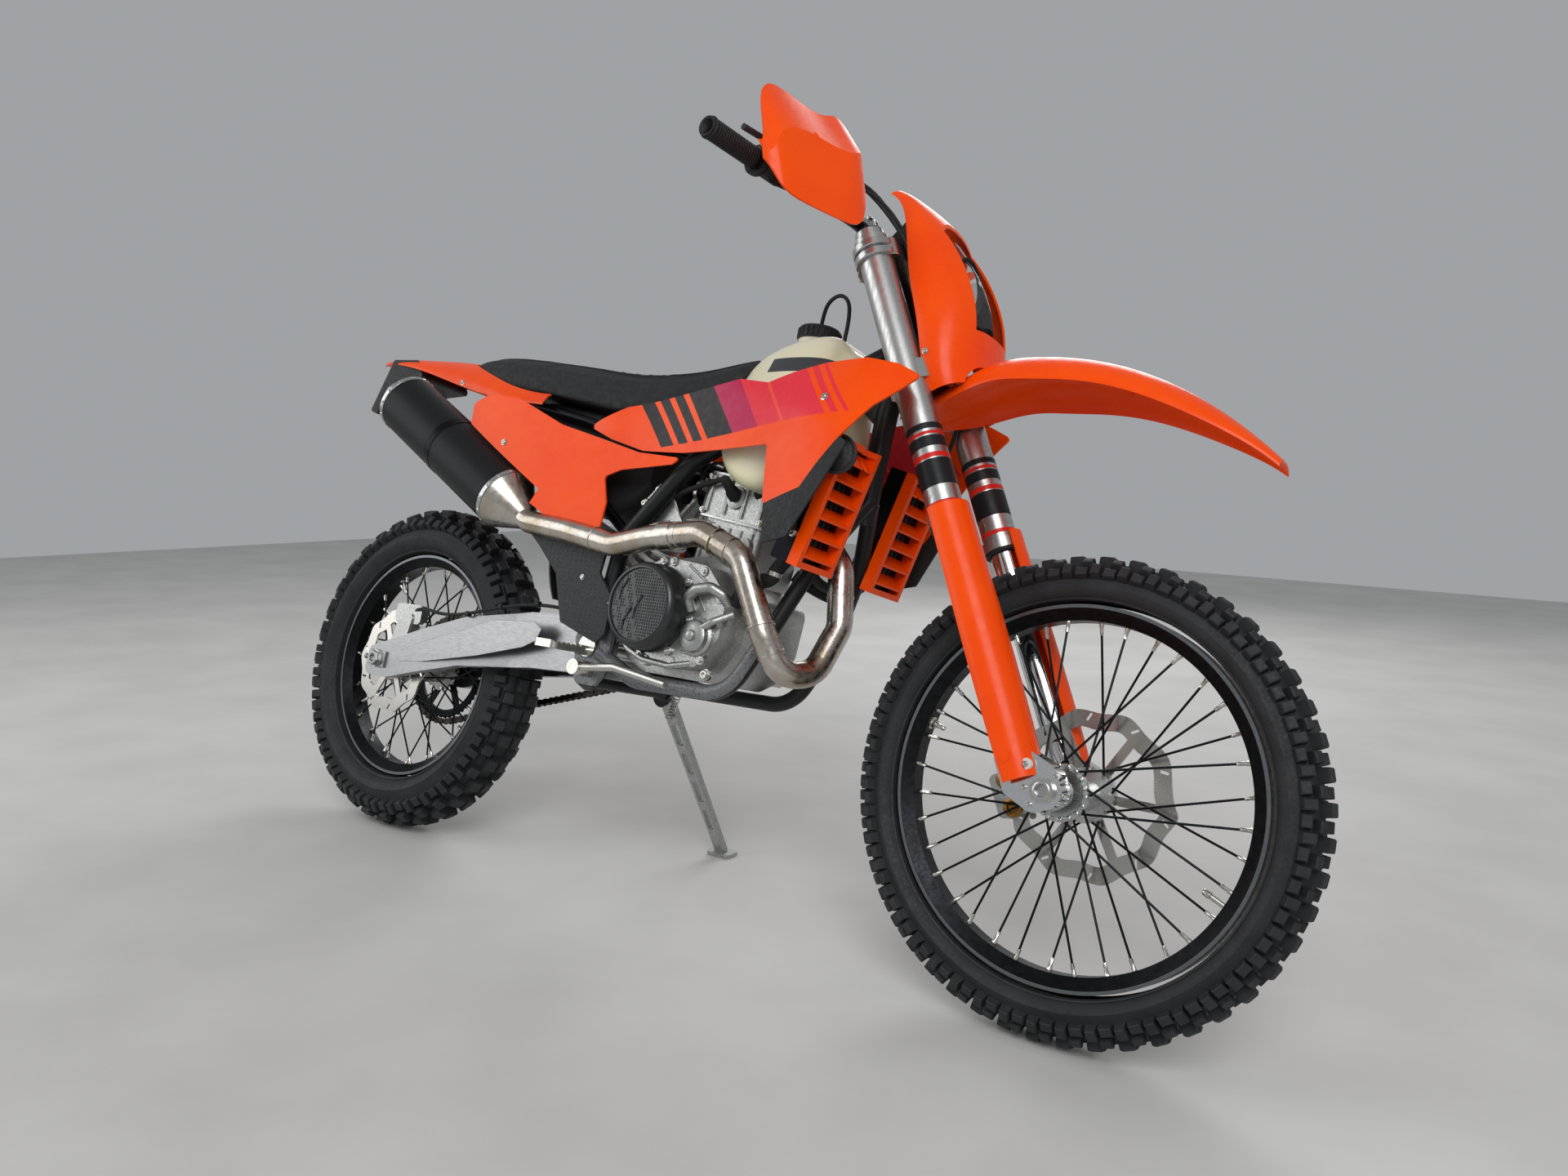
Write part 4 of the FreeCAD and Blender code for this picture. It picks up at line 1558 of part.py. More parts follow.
def make_stand(parts):
    pivot, axis = stand_pivot(), stand_axis()
    foot_x = STEERING_HEAD.x * STAND_FOOT_SHARE
    foot = on_ground(foot_x, STAND_FOOT_Y)
    up = FreeCAD.Rotation(X_AXIS, LEAN_DEG).multVec(Z_AXIS)
    leg = stand_leg(pivot, foot + up * STAND_PAD_THICKNESS / 2, axis)
    half = STAND_EYE_WIDTH / 2
    eye = rod(pivot - axis * half, pivot + axis * half, STAND_EYE_RADIUS)
    corners = [(-0.5, -0.5), (0.5, -0.5), (0.5, 0.5), (-0.5, 0.5)]
    pad_points = [on_ground(foot_x + STAND_PAD_LENGTH * x, STAND_FOOT_Y + STAND_PAD_WIDTH * y)
                  for x, y in corners]
    pad = Part.Face(rounded_outline(pad_points, STAND_PAD_CORNER)).extrude(up * STAND_PAD_THICKNESS)
    hole = rod(pivot - axis * OVERRUN, pivot + axis * OVERRUN, STAND_PIN_RADIUS + RUNNING_FIT)
    washers = [rod(pivot + axis * half * sign, pivot + axis * (half + OVERRUN) * sign, STAND_EYE_RADIUS)
               for sign in (-1, 1)]
    parts["side_stand"] = carved(fused(leg, eye, pad), hole, *washers)


def build():
    parts = {}
    make_wheels(parts)
    make_axles(parts)
    make_fork(parts)
    parts["front_fender"] = carved(front_fender(0, FENDER_THICKNESS), parts["triple_clamps"])
    make_mask(parts)
    make_cockpit(parts)
    make_frame(parts)
    make_swingarm(parts)
    make_chain(parts)
    make_engine(parts)
    make_exhaust(parts)
    make_tank_and_seat(parts)
    make_panels(parts)
    make_tail(parts)
    make_radiators(parts)
    make_frame_guards(parts)
    make_foot_controls(parts)
    make_stand(parts)
    return parts


def low_point(shape, placement):
    moved = shape.copy()
    moved.Placement = placement.multiply(moved.Placement)
    return moved.optimalBoundingBox(False).ZMin


def settled(parts):
    """The placement that stands the bike on its tyres and its stand, centred on the origin."""
    lean = FreeCAD.Placement(ORIGIN, FreeCAD.Rotation(X_AXIS, -LEAN_DEG))
    front = low_point(parts["front_tyre"], lean)
    rear = low_point(parts["rear_tyre"], lean)
    pitch = FreeCAD.Rotation(Y_AXIS, math.degrees(math.atan2(front - rear, WHEELBASE)))
    standing = FreeCAD.Placement(V(0, 0, -rear), pitch).multiply(lean)
    box = FreeCAD.BoundBox()
    for shape in parts.values():
        moved = shape.copy()
        moved.Placement = standing.multiply(moved.Placement)
        box.add(moved.optimalBoundingBox(False))
    centred = FreeCAD.Placement(V(-box.Center.x, -box.Center.y, -box.ZMin), FreeCAD.Rotation())
    return centred.multiply(standing)


parts = build()
rest = settled(parts)
os.makedirs("parts", exist_ok=True)
for name, shape in parts.items():
    shape.Placement = rest.multiply(shape.Placement)
    shape.exportStep("parts/" + name + ".step")
print("pieces:", len(parts))
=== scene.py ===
# %% [markdown]
# # Dressing an enduro dirt bike
#
# The bike's solids come from the CAD model. This lesson gives each of them a material that is built
# from nodes, adds the small pieces that solids leave out, lights the bike softly and sets the
# camera where the photograph was taken. Lengths are in metres, and the helpers for small parts say
# where they take millimetres.

# %% Load the frame
import json
import math

import bmesh
import bpy
from mathutils import Matrix, Vector
from mathutils.bvhtree import BVHTree


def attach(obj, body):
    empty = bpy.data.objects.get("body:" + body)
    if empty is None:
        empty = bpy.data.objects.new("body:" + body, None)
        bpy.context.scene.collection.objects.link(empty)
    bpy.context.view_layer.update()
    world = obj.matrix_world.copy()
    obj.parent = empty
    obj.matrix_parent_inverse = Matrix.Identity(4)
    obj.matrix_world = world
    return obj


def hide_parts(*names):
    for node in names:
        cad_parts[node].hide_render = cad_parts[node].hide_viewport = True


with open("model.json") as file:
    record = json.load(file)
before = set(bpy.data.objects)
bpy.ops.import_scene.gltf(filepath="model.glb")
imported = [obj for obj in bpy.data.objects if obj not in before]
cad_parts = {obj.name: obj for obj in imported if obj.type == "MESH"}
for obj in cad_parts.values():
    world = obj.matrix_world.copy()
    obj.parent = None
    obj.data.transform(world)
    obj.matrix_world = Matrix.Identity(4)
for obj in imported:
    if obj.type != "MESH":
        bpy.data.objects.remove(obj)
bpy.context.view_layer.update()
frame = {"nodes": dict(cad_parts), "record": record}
nodes = frame["nodes"]

# %% [markdown]
# The bike leans on its side stand, but places on it are easier to think of on an upright bike: x
# forward from the rear axle, y to its left and z up from the ground. `bike()` turns such a place
# into the leaning frame. The two wheel joints say where the axles are and how far the bike leans.
# `fork()` does the same for a place that is measured along the steering axis.

# %% Places on the upright bike
REAR_RADIUS = 0.341
FRONT_RADIUS = 0.348
WHEELBASE = 1.482
RAKE = math.radians(26.5)
AXLE_OFFSET = 0.055

joints = {joint["name"]: joint for joint in frame["record"]["behaviour"]["joints"]}
rear_axle = Vector(joints["rear_wheel_spin"]["pos_m"])
front_axle = Vector(joints["front_wheel_spin"]["pos_m"])
left = Vector(joints["rear_wheel_spin"]["axis"]).normalized()
between = (front_axle - rear_axle).normalized()
rise = math.atan2(FRONT_RADIUS - REAR_RADIUS, WHEELBASE)
forward = Matrix.Rotation(rise, 3, left) @ between
up = forward.cross(left)
ahead_fork = forward * math.cos(RAKE) + up * math.sin(RAKE)
up_fork = up * math.cos(RAKE) - forward * math.sin(RAKE)
steering_foot = front_axle - ahead_fork * AXLE_OFFSET


def bike(x, y, z):
    """A place on the upright bike, in the leaning frame."""
    return rear_axle + forward * x + left * y + up * (z - REAR_RADIUS)


def fork(ahead, side, along):
    """A place on what steers: ahead of, beside and up along the steering axis."""
    return steering_foot + ahead_fork * ahead + left * side + up_fork * along


print("lean", round(math.degrees(math.asin(-left.z)), 2), "degrees, wheelbase",
      round((front_axle - rear_axle).length, 3))

# %% [markdown]
# ## Materials
#
# Every finish is a small tree of nodes. `Finish` starts one with a Principled shader, `node()` adds
# a node with its settings and its links, and the helpers below it make the parts that finishes
# share: a bump from noise, and a roughness that varies over the surface. Coordinates are the
# piece's own, in metres, so a noise of scale 400 has features of about 2.5 mm.

# %% Node helpers
def linear(code):
    """A colour from its sRGB hex code, in the linear values that Blender mixes."""
    parts = [int(code[i:i + 2], 16) / 255 for i in (1, 3, 5)]
    return tuple(c / 12.92 if c <= 0.04045 else ((c + 0.055) / 1.055) ** 2.4 for c in parts) + (1,)


def node(tree, kind, links=None, **settings):
    """Adds a node. Settings name its sockets or its properties, links give sockets their input."""
    new = tree.nodes.new("ShaderNode" + kind)
    for key, value in settings.items():
        name = key.replace("_", " ")
        socket = next((s for s in new.inputs if s.name.lower() == name.lower()), None)
        if socket is not None and not hasattr(new, key):
            socket.default_value = value
        else:
            setattr(new, key, value)
    for key, source in (links or {}).items():
        target = new.inputs[key]
        tree.links.new(source, target)
    return new


class Finish:
    """A material with one Principled shader and the piece's own coordinates."""

    def __init__(self, name, color, roughness=0.5, metallic=0.0, **shader):
        self.material = bpy.data.materials.new(name)
        self.material.use_nodes = True
        self.tree = self.material.node_tree
        self.shader = self.tree.nodes["Principled BSDF"]
        self.shader.inputs["Base Color"].default_value = linear(color)
        self.shader.inputs["Roughness"].default_value = roughness
        self.shader.inputs["Metallic"].default_value = metallic
        for key, value in shader.items():
            self.shader.inputs[key.replace("_", " ")].default_value = value
        self.place = node(self.tree, "TexCoord").outputs["Object"]

    def noise(self, scale, detail=2.0, stretch=(1, 1, 1)):
        """Noise over the surface, from 0 to 1, finer with a larger scale."""
        mapping = node(self.tree, "Mapping", {"Vector": self.place})
        mapping.inputs["Scale"].default_value = stretch
        return node(
            self.tree, "TexNoise", {"Vector": mapping.outputs[0]}, scale=scale,
            detail=detail).outputs[0]

    def ramp(self, value, low, high, start=0.35, end=0.65):
        """Turns a value between start and end into one between low and high."""
        spread = node(self.tree, "MapRange", {"Value": value})
        for socket, number in zip(spread.inputs[1:5], (start, end, low, high)):
            socket.default_value = number
        return spread.outputs[0]

    def bump(self, height, strength, distance):
        made = node(self.tree, "Bump", {"Height": height}, strength=strength, distance=distance)
        self.tree.links.new(made.outputs[0], self.shader.inputs["Normal"])
        return self

    def blend(self, value, under, over):
        """Goes from one colour, or a socket's, to another as a value goes from 0 to 1."""
        mix = node(self.tree, "Mix", {"Factor": value}, data_type="RGBA")
        if isinstance(under, str):
            mix.inputs[6].default_value = linear(under)
        else:
            self.tree.links.new(under, mix.inputs[6])
        mix.inputs[7].default_value = linear(over)
        return mix.outputs[2]

    def calc(self, operation, *values):
        """Arithmetic on sockets and numbers."""
        made = node(self.tree, "Math", operation=operation)
        for socket, value in zip(made.inputs, values):
            if isinstance(value, (int, float)):
                socket.default_value = value
            else:
                self.tree.links.new(value, socket)
        return made.outputs[0]

    def offset(self, origin):
        """The way from a place to the surface."""
        made = node(self.tree, "VectorMath", {0: self.place}, operation="SUBTRACT")
        made.inputs[1].default_value = origin
        return made.outputs[0]

    def measure(self, direction):
        """How far the surface lies from the rear tyre's foot, along a direction, in metres."""
        offset = self.offset(bike(0, 0, 0))
        along = node(self.tree, "VectorMath", {0: offset}, operation="DOT_PRODUCT")
        along.inputs[1].default_value = direction
        return along.outputs["Value"]

    def radius_from(self, origin, axis):
        """How far the surface lies from an axis, in metres."""
        across = node(self.tree, "VectorMath", {0: self.offset(origin)}, operation="CROSS_PRODUCT")
        across.inputs[1].default_value = axis
        return node(self.tree, "VectorMath", {0: across.outputs[0]},
                    operation="LENGTH").outputs["Value"]

    def between(self, value, low, high):
        """1 where a value lies between two bounds, and 0 elsewhere."""
        return self.calc(
            "MULTIPLY", self.calc("GREATER_THAN", value, low), self.calc("LESS_THAN", value, high))

    def feed(self, socket, source):
        self.tree.links.new(source, self.shader.inputs[socket])
        return self

    def mottle(self, scale, detail, one, two):
        """Soft patches of two colours."""
        return self.blend(self.ramp(self.noise(scale, detail), 0, 1), one, two)

    def gloss(self, scale, detail, low, high):
        """A roughness that wanders between two values."""
        return self.feed("Roughness", self.ramp(self.noise(scale, detail), low, high))


def gloss_plastic(name, color, shade, roughness=0.22):
    """Injection-moulded body plastic: nearly flat, with a faint ripple and dust in its gloss."""
    finish = Finish(name, color, roughness, Specular_IOR_Level=0.22)
    finish.feed("Base Color", finish.mottle(9, 3, color, shade))
    finish.gloss(60, 4, roughness, roughness + 0.12)
    return finish.bump(finish.noise(35, 1), 0.06, 0.002)


def grained_plastic(name, color, shade, roughness=0.62, grain=1500):
    """Black moulded plastic or rubber with a fine leather grain."""
    finish = Finish(name, color, roughness)
    finish.feed("Base Color", finish.mottle(25, 4, color, shade))
    finish.gloss(200, 4, roughness - 0.08, roughness + 0.1)
    return finish.bump(finish.noise(grain, 2), 0.25, 0.0004)


def metal(name, color, shade, roughness, grain, stretch=(1, 1, 1), depth=0.15):
    """Bare or plated metal, brushed along an axis if its grain is stretched."""
    finish = Finish(name, color, roughness, 1.0)
    marks = finish.noise(grain, 3, stretch)
    finish.feed("Base Color", finish.blend(finish.ramp(marks, 0, 1), color, shade))
    finish.feed("Roughness", finish.ramp(marks, roughness - 0.06, roughness + 0.08))
    return finish.bump(marks, depth, 0.0003)


# %% [markdown]
# One finish answers for each kind of surface on the real bike: moulded plastic, rubber, cast,
# machined and anodised aluminium, stainless tube, and so on.

# %% Finishes
ORANGE = "#FF5200"
ORANGE_SHADE = "#FA4A00"
BRUSHED_ALONG = (0.03, 1, 1)

orange = gloss_plastic("orange_polypropylene", ORANGE, ORANGE_SHADE)
rubber = grained_plastic("knobbly_tyre_rubber", "#1B1C1E", "#26272A", 0.66, 700)
black_plastic = grained_plastic("black_moulded_plastic", "#151618", "#1D1E20")
soft_black = grained_plastic("black_grip_rubber", "#121314", "#191A1B", 0.7, 2200)
black_metal = metal("powder_coated_steel", "#1B1C1F", "#232427", 0.38, 600)
black_wire = metal("black_plated_spoke_wire", "#1F2022", "#2A2B2D", 0.3, 500)
cast = metal("sand_cast_aluminium", "#C3C4C2", "#A2A3A1", 0.4, 420, depth=0.3)
machined = metal("machined_aluminium", "#C9C9C8", "#ABACAB", 0.27, 900, BRUSHED_ALONG)
satin_tube = metal("satin_anodised_aluminium", "#C9C9C7", "#B2B2B0", 0.34, 260, (1, 1, 0.04))
plated = metal("zinc_plated_steel", "#D6D4CE", "#B9B6AE", 0.24, 700)
chrome = metal("hard_chrome", "#E9EAEC", "#DDDEE0", 0.08, 300, depth=0.03)
disc_steel = metal("ground_disc_steel", "#C9C7C1", "#B5B2AB", 0.25, 1600, depth=0.04)
dark_steel = metal("blackened_chain_steel", "#4A4744", "#353331", 0.36, 500)
arm_finish = metal("brushed_arm_aluminium", "#A9AAAB", "#939495", 0.34, 2400, BRUSHED_ALONG, 0.05)
fin_finish = metal("dark_radiator_fin_aluminium", "#3C3E40", "#303234", 0.45, 900)
lid_enamel = gloss_plastic("black_lid_enamel", "#17181A", "#1F2022", 0.26)
lid_enamel.shader.inputs["Specular IOR Level"].default_value = 0.7

# %% [markdown]
# The exhaust's stainless tube takes a straw and brown tint where it was welded and where it runs
# hottest. Broad soft noise mixes the tint in, so that no two lengths of the pipe are the same.

# %% Heat tint on the header pipe
exhaust = Finish("stainless_header_pipe", "#B8AC9E", 0.26, 1.0)
tint = exhaust.ramp(exhaust.noise(14, 4), 0, 1, 0.38, 0.66)
warm = exhaust.blend(tint, "#C8C3BB", "#A89A88")
stains = exhaust.ramp(exhaust.noise(30, 3), 0, 0.12, 0.5, 0.75)
exhaust.feed("Base Color", exhaust.blend(stains, warm, "#8F7A66"))
exhaust.gloss(120, 4, 0.2, 0.36)
exhaust.bump(exhaust.noise(300, 2), 0.08, 0.0003)

# %% [markdown]
# The rims are black anodised, and their outer flange, beside the tyre, is polished by the bead to a
# grey ring. The ring is drawn where the surface lies far enough from the axle.

# %% Rims with a worn grey flange
FRONT_FLANGE = 0.2685
REAR_FLANGE = 0.2315


def rim_finish(name, axle, edge_radius):
    finish = Finish(name, "#17181A", 0.36, 0.9)
    far = finish.calc("GREATER_THAN", finish.radius_from(axle, left), edge_radius)
    black = finish.mottle(90, 3, "#17181A", "#202124")
    finish.feed("Base Color", finish.blend(far, black, "#6F7275"))
    finish.gloss(200, 3, 0.3, 0.44)
    return finish.bump(finish.noise(800, 2), 0.08, 0.0003)


front_rim = rim_finish("front_rim_anodising", front_axle, FRONT_FLANGE)
rear_rim = rim_finish("rear_rim_anodising", rear_axle, REAR_FLANGE)

# %% [markdown]
# The tank is blow-moulded from natural polyethylene: cream, waxy and faintly see-through, so light
# spreads under its surface, with a dark pad stuck across it. The lens is clear, and the seat cover
# is a ribbed gripper cloth, whose ribs stand 4 mm apart. The frame's black coat is scuffed grey
# where boots and stones reach the cradle.

# %% Tank, lens, seat cloth and frame
PAD_HEIGHTS = (0.957, 0.986)
PAD_REACH = (0.86, 1.1)
tank = Finish(
    "natural_polyethylene", "#E7E3C6", 0.34, Subsurface_Weight=0.25, Subsurface_Scale=0.01)
tank_x = tank.measure(forward)
tank_z = tank.measure(up)
pad = tank.calc("MULTIPLY", tank.between(tank_z, *PAD_HEIGHTS), tank.between(tank_x, *PAD_REACH))
cream = tank.mottle(7, 3, "#EAE7CF", "#DFDAB4")
tank.feed("Base Color", tank.blend(pad, cream, "#3A3C3F"))
tank.gloss(80, 4, 0.28, 0.42)
tank.bump(tank.noise(240, 3), 0.12, 0.0006)

lens = Finish("clear_polycarbonate", "#F4F6F7", 0.04, Transmission_Weight=0.96, IOR=1.05)
lens.gloss(60, 2, 0.02, 0.07)

RIB_SPACING = 0.004
seat_cloth = Finish("ribbed_gripper_cloth", "#131415", 0.72)
waves = [seat_cloth.calc("SINE", seat_cloth.calc("MULTIPLY", seat_cloth.measure(way),
                                               2 * math.pi / RIB_SPACING))
         for way in (forward, left)]
weave = seat_cloth.calc("MULTIPLY_ADD", seat_cloth.calc("MULTIPLY", *waves), 0.5, 0.5)
seat_cloth.feed("Base Color", seat_cloth.blend(weave, "#0E0F10", "#222426"))
seat_cloth.gloss(90, 4, 0.62, 0.8)
seat_cloth.bump(weave, 0.5, 0.0012)

WORN_HALF_WIDTH = 0.1035
WORN_HEIGHTS = (0.37, 0.52)
frame_paint = Finish("powder_coated_frame_with_wear", "#17181A", 0.4, 0.3)
outer = frame_paint.calc("ABSOLUTE", frame_paint.measure(left))
low = frame_paint.measure(up)
wide = frame_paint.calc("GREATER_THAN", outer, WORN_HALF_WIDTH)
cradle = frame_paint.calc("MULTIPLY", wide, frame_paint.between(low, *WORN_HEIGHTS))
scuffs = frame_paint.calc(
    "MULTIPLY", cradle, frame_paint.ramp(frame_paint.noise(260, 6), 0.3, 1, 0.3, 0.5))
frame_paint.feed("Base Color", frame_paint.blend(scuffs, "#17181A", "#77797B"))
frame_paint.gloss(300, 4, 0.34, 0.5)
frame_paint.bump(frame_paint.noise(900, 2), 0.08, 0.0003)

silencer_black = metal("black_anodised_sleeve", "#17181A", "#1F2022", 0.5, 1200, (1, 1, 0.1))
silencer_black.shader.inputs["Metallic"].default_value = 0.6

# %% [markdown]
# The frame guards are moulded with rows of small notches that keep boots and knees from slipping.
# Two crossed saw waves make the notches, 12 mm apart along the guard and 8 mm across it.

# %% Notched frame guards
NOTCH_LENGTH = 0.012
NOTCH_HEIGHT = 0.008
guard_plastic = Finish("notched_guard_plastic", "#2A2B2E", 0.6)
run = guard_plastic.calc("DIVIDE", guard_plastic.measure(forward), NOTCH_LENGTH)
climb = guard_plastic.calc("DIVIDE", guard_plastic.measure(up), NOTCH_HEIGHT)
zig = guard_plastic.calc("PINGPONG", run, 0.5)
step_up = guard_plastic.calc("FRACT", guard_plastic.calc("ADD", climb, zig))
notch = guard_plastic.calc("GREATER_THAN", step_up, 0.8)
guard_plastic.feed("Base Color", guard_plastic.blend(notch, "#2A2B2E", "#1B1C1E"))
guard_plastic.gloss(200, 3, 0.52, 0.68)
guard_plastic.bump(step_up, 0.35, 0.0014)

# %% [markdown]
# The shrouds carry a decal in coral, magenta and black on the orange plastic. Its layout here is a
# plain one: slanted bars, each placed by how far forward it lies and how high, so that the same
# pattern runs over both sides of the bike.

# %% Shroud decal
DECAL_PIVOT = (0.8, 0.9)
DECAL_LOW = 0.822
DECAL_RISE = 0.11
DECAL_SLANT = 0.9
DECAL_BARS = ((0.60, 0.80, "#1C1517"), (0.635, 0.65, ORANGE), (0.675, 0.69, ORANGE),
              (0.715, 0.73, ORANGE), (0.80, 0.87, "#B8184E"), (0.87, 1.03, "#E6313F"),
              (0.93, 0.937, "#F4523E"), (1.042, 1.056, "#E6313F"), (1.068, 1.076, "#E6313F"))
shroud_plastic = gloss_plastic("shroud_plastic_with_decal", ORANGE, ORANGE_SHADE)
place_x = shroud_plastic.measure(forward)
place_z = shroud_plastic.measure(up)
line = shroud_plastic.calc("MULTIPLY_ADD", place_x, DECAL_RISE,
                           DECAL_LOW - DECAL_PIVOT[0] * DECAL_RISE)
above_line = shroud_plastic.calc("GREATER_THAN", place_z, line)
ahead = shroud_plastic.calc("ADD", place_x, -DECAL_PIVOT[1] * DECAL_SLANT)
slanted = shroud_plastic.calc("MULTIPLY_ADD", place_z, DECAL_SLANT, ahead)
shade = shroud_plastic.mottle(9, 3, ORANGE, ORANGE_SHADE)
for start, end, color in DECAL_BARS:
    bar = shroud_plastic.calc("MULTIPLY", above_line, shroud_plastic.between(slanted, start, end))
    shade = shroud_plastic.blend(bar, shade, color)
shroud_plastic.feed("Base Color", shade)

# %% [markdown]
# Each node's finish is chosen by what it is, and the slots in the record stay as they are.

# %% Finishes node by node
NODE_FINISH = {
    orange: ("fork_guards", "front_fender", "headlight_mask", "handguards", "side_panels",
             "rear_fender", "radiator_louvres"),
    shroud_plastic: ("shrouds",),
    rubber: ("front_tyre", "rear_tyre"),
    front_rim: ("front_rim",),
    rear_rim: ("rear_rim",),
    black_wire: ("front_spokes", "rear_spokes"),
    machined: ("front_hub", "rear_hub", "triple_clamps"),
    arm_finish: ("swingarm",),
    disc_steel: ("front_disc", "rear_disc"),
    plated: ("front_axle", "axle_and_pivot", "foot_levers", "footpegs"),
    satin_tube: ("fork_tubes", "rear_shock"),
    chrome: ("fork_legs",),
    cast: ("engine_case", "engine_cylinder", "front_caliper", "rear_caliper", "side_stand"),
    lens: ("headlight",),
    soft_black: ("grips", "airbox"),
    black_plastic: ("instrument", "shroud_caps", "tail_holder", "mud_flap", "hand_controls",
                    "engine_covers"),
    guard_plastic: ("frame_guards",),
    dark_steel: ("drive_chain",),
    exhaust: ("exhaust_pipe",),
    silencer_black: ("silencer",),
    tank: ("fuel_tank",),
    seat_cloth: ("seat",),
    frame_paint: ("frame",),
    black_metal: ("subframe", "handlebar", "rear_sprocket", "front_sprocket", "radiators"),
}
for finish, names in NODE_FINISH.items():
    for name in names:
        for material_slot in nodes[name].material_slots:
            material_slot.material = finish.material
finished = {name for names in NODE_FINISH.values() for name in names}
print("nodes without a finish", sorted(set(nodes) - finished))

# %% [markdown]
# ## Building small pieces
#
# Most of what the CAD leaves out is turned, extruded or repeated: bolts, lugs, links, nipples.
# `Shape` collects the faces of one piece in the leaning frame, and `piece()` turns them into an
# object that rides on a body. Primitives from the add menu would need joining and placing one by
# one.

# %% Mesh helpers
SMOOTH_ANGLE = math.radians(38)
BEVEL_ANGLE = math.radians(40)
TUBE_HINT = Vector((0.31, 0.17, 0.93))
MM = 0.001


class Shape:
    """The points and faces of one piece."""

    def __init__(self):
        self.points = []
        self.faces = []

    def add(self, points, faces):
        start = len(self.points)
        self.points += [tuple(p) for p in points]
        self.faces += [tuple(start + i for i in face) for face in faces]
        return self

    def turned(self, origin, axis, profile, sides=20, closed=False):
        """A turned form. The profile gives (radius, height along the axis) pairs."""
        axis = Vector(axis).normalized()
        across = axis.orthogonal().normalized()
        other = axis.cross(across)
        rings = []
        points = []
        for radius, height in profile:
            centre = Vector(origin) + axis * height
            if radius == 0:
                rings.append([len(points)] * sides)
                points.append(centre)
                continue
            rings.append(list(range(len(points), len(points) + sides)))
            for i in range(sides):
                angle = 2 * math.pi * i / sides
                points.append(
                    centre + (across * math.cos(angle) + other * math.sin(angle)) * radius)
        faces = []
        pairs = list(zip(rings[:-1], rings[1:]))
        if closed:
            pairs.append((rings[-1], rings[0]))
        for low, high in pairs:
            for i in range(sides):
                j = (i + 1) % sides
                loop = []
                for index in (low[i], low[j], high[j], high[i]):
                    if index not in loop:
                        loop.append(index)
                if len(loop) > 2:
                    faces.append(loop)
        if not closed:
            for ring, (radius, _) in ((rings[0], profile[0]), (rings[-1], profile[-1])):
                if radius > 0:
                    faces.append(list(ring))
        return self.add(points, faces)

    def extruded(self, outline, depth):
        """A flat outline with thickness: depth is a vector."""
        count = len(outline)
        depth = Vector(depth)
        points = [Vector(p) for p in outline] + [Vector(p) + depth for p in outline]
        faces = [list(range(count)), list(range(count, 2 * count))]
        faces += [(i, (i + 1) % count, count + (i + 1) % count, count + i) for i in range(count)]
        return self.add(points, faces)

    def swept(self, path, radius, sides=10, up_hint=None):
        """A round tube along points, with closed ends."""
        points = []
        path = [Vector(p) for p in path]
        for i, place in enumerate(path):
            along = (path[min(i + 1, len(path) - 1)] - path[max(i - 1, 0)]).normalized()
            across = (up_hint or TUBE_HINT).cross(along).normalized()
            other = along.cross(across)
            for j in range(sides):
                angle = 2 * math.pi * j / sides
                points.append(place + (across * math.cos(angle) + other * math.sin(angle)) * radius)
        faces = [list(range(sides)), list(range(len(points) - sides, len(points)))]
        for i in range(len(path) - 1):
            for j in range(sides):
                a, b = i * sides + j, i * sides + (j + 1) % sides
                faces.append((a, b, b + sides, a + sides))
        return self.add(points, faces)

    def piece(self, name, finish, body="chassis", slot_name=None, bevel=0.0, stands_for=None,
              subdivide=0):
        """Makes the object on a body of the joints. Its slot_name is not used."""
        mesh = bpy.data.meshes.new(name)
        mesh.from_pydata(self.points, [], self.faces)
        clean = bmesh.new()
        clean.from_mesh(mesh)
        bmesh.ops.recalc_face_normals(clean, faces=clean.faces)
        clean.to_mesh(mesh)
        clean.free()
        mesh.shade_smooth()
        mesh.set_sharp_from_angle(angle=SMOOTH_ANGLE)
        made = bpy.data.objects.new(name, mesh)
        bpy.context.collection.objects.link(made)
        made.data.materials.append(finish.material)
        if bevel:
            edge = made.modifiers.new("edges", "BEVEL")
            edge.width = bevel
            edge.segments = 2
            edge.limit_method = "ANGLE"
            edge.angle_limit = BEVEL_ANGLE
        if subdivide:
            made.modifiers.new("round", "SUBSURF").levels = subdivide
            made.modifiers["round"].render_levels = subdivide
        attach(made, body)
        if stands_for:
            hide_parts(stands_for)


# %% [markdown]
# A small part that sits on a CAD surface needs to know where that surface is. `met()` sends a ray
# at a node and gives the place where it lands. The search tree of each node is kept, for it is slow
# to make.

# %% Finding a surface
trees = {}


def tree_of(source):
    """A search tree over a piece's faces, in the leaning frame."""
    if source.name not in trees:
        points = [source.matrix_world @ v.co for v in source.data.vertices]
        trees[source.name] = BVHTree.FromPolygons(
            points, [tuple(p.vertices) for p in source.data.polygons])
    return trees[source.name]


def met(source, start, way):
    """Where a ray meets a piece, or None."""
    return tree_of(source).ray_cast(start, way)[0]


# %% [markdown]
# ## Tyres
#
# A knobbly tyre is a smooth casing with separate rubber blocks: tall pairs on the crown, smaller
# ones either side of them, and a row of shoulder blocks that reach down the sidewall, long and
# short in turn. The casing is one turned profile. Every block is a tapered box with a chamfered
# top, set on the crown's curve and turned round the axle. A modifier array would leave each row the
# same, so a loop places them instead.

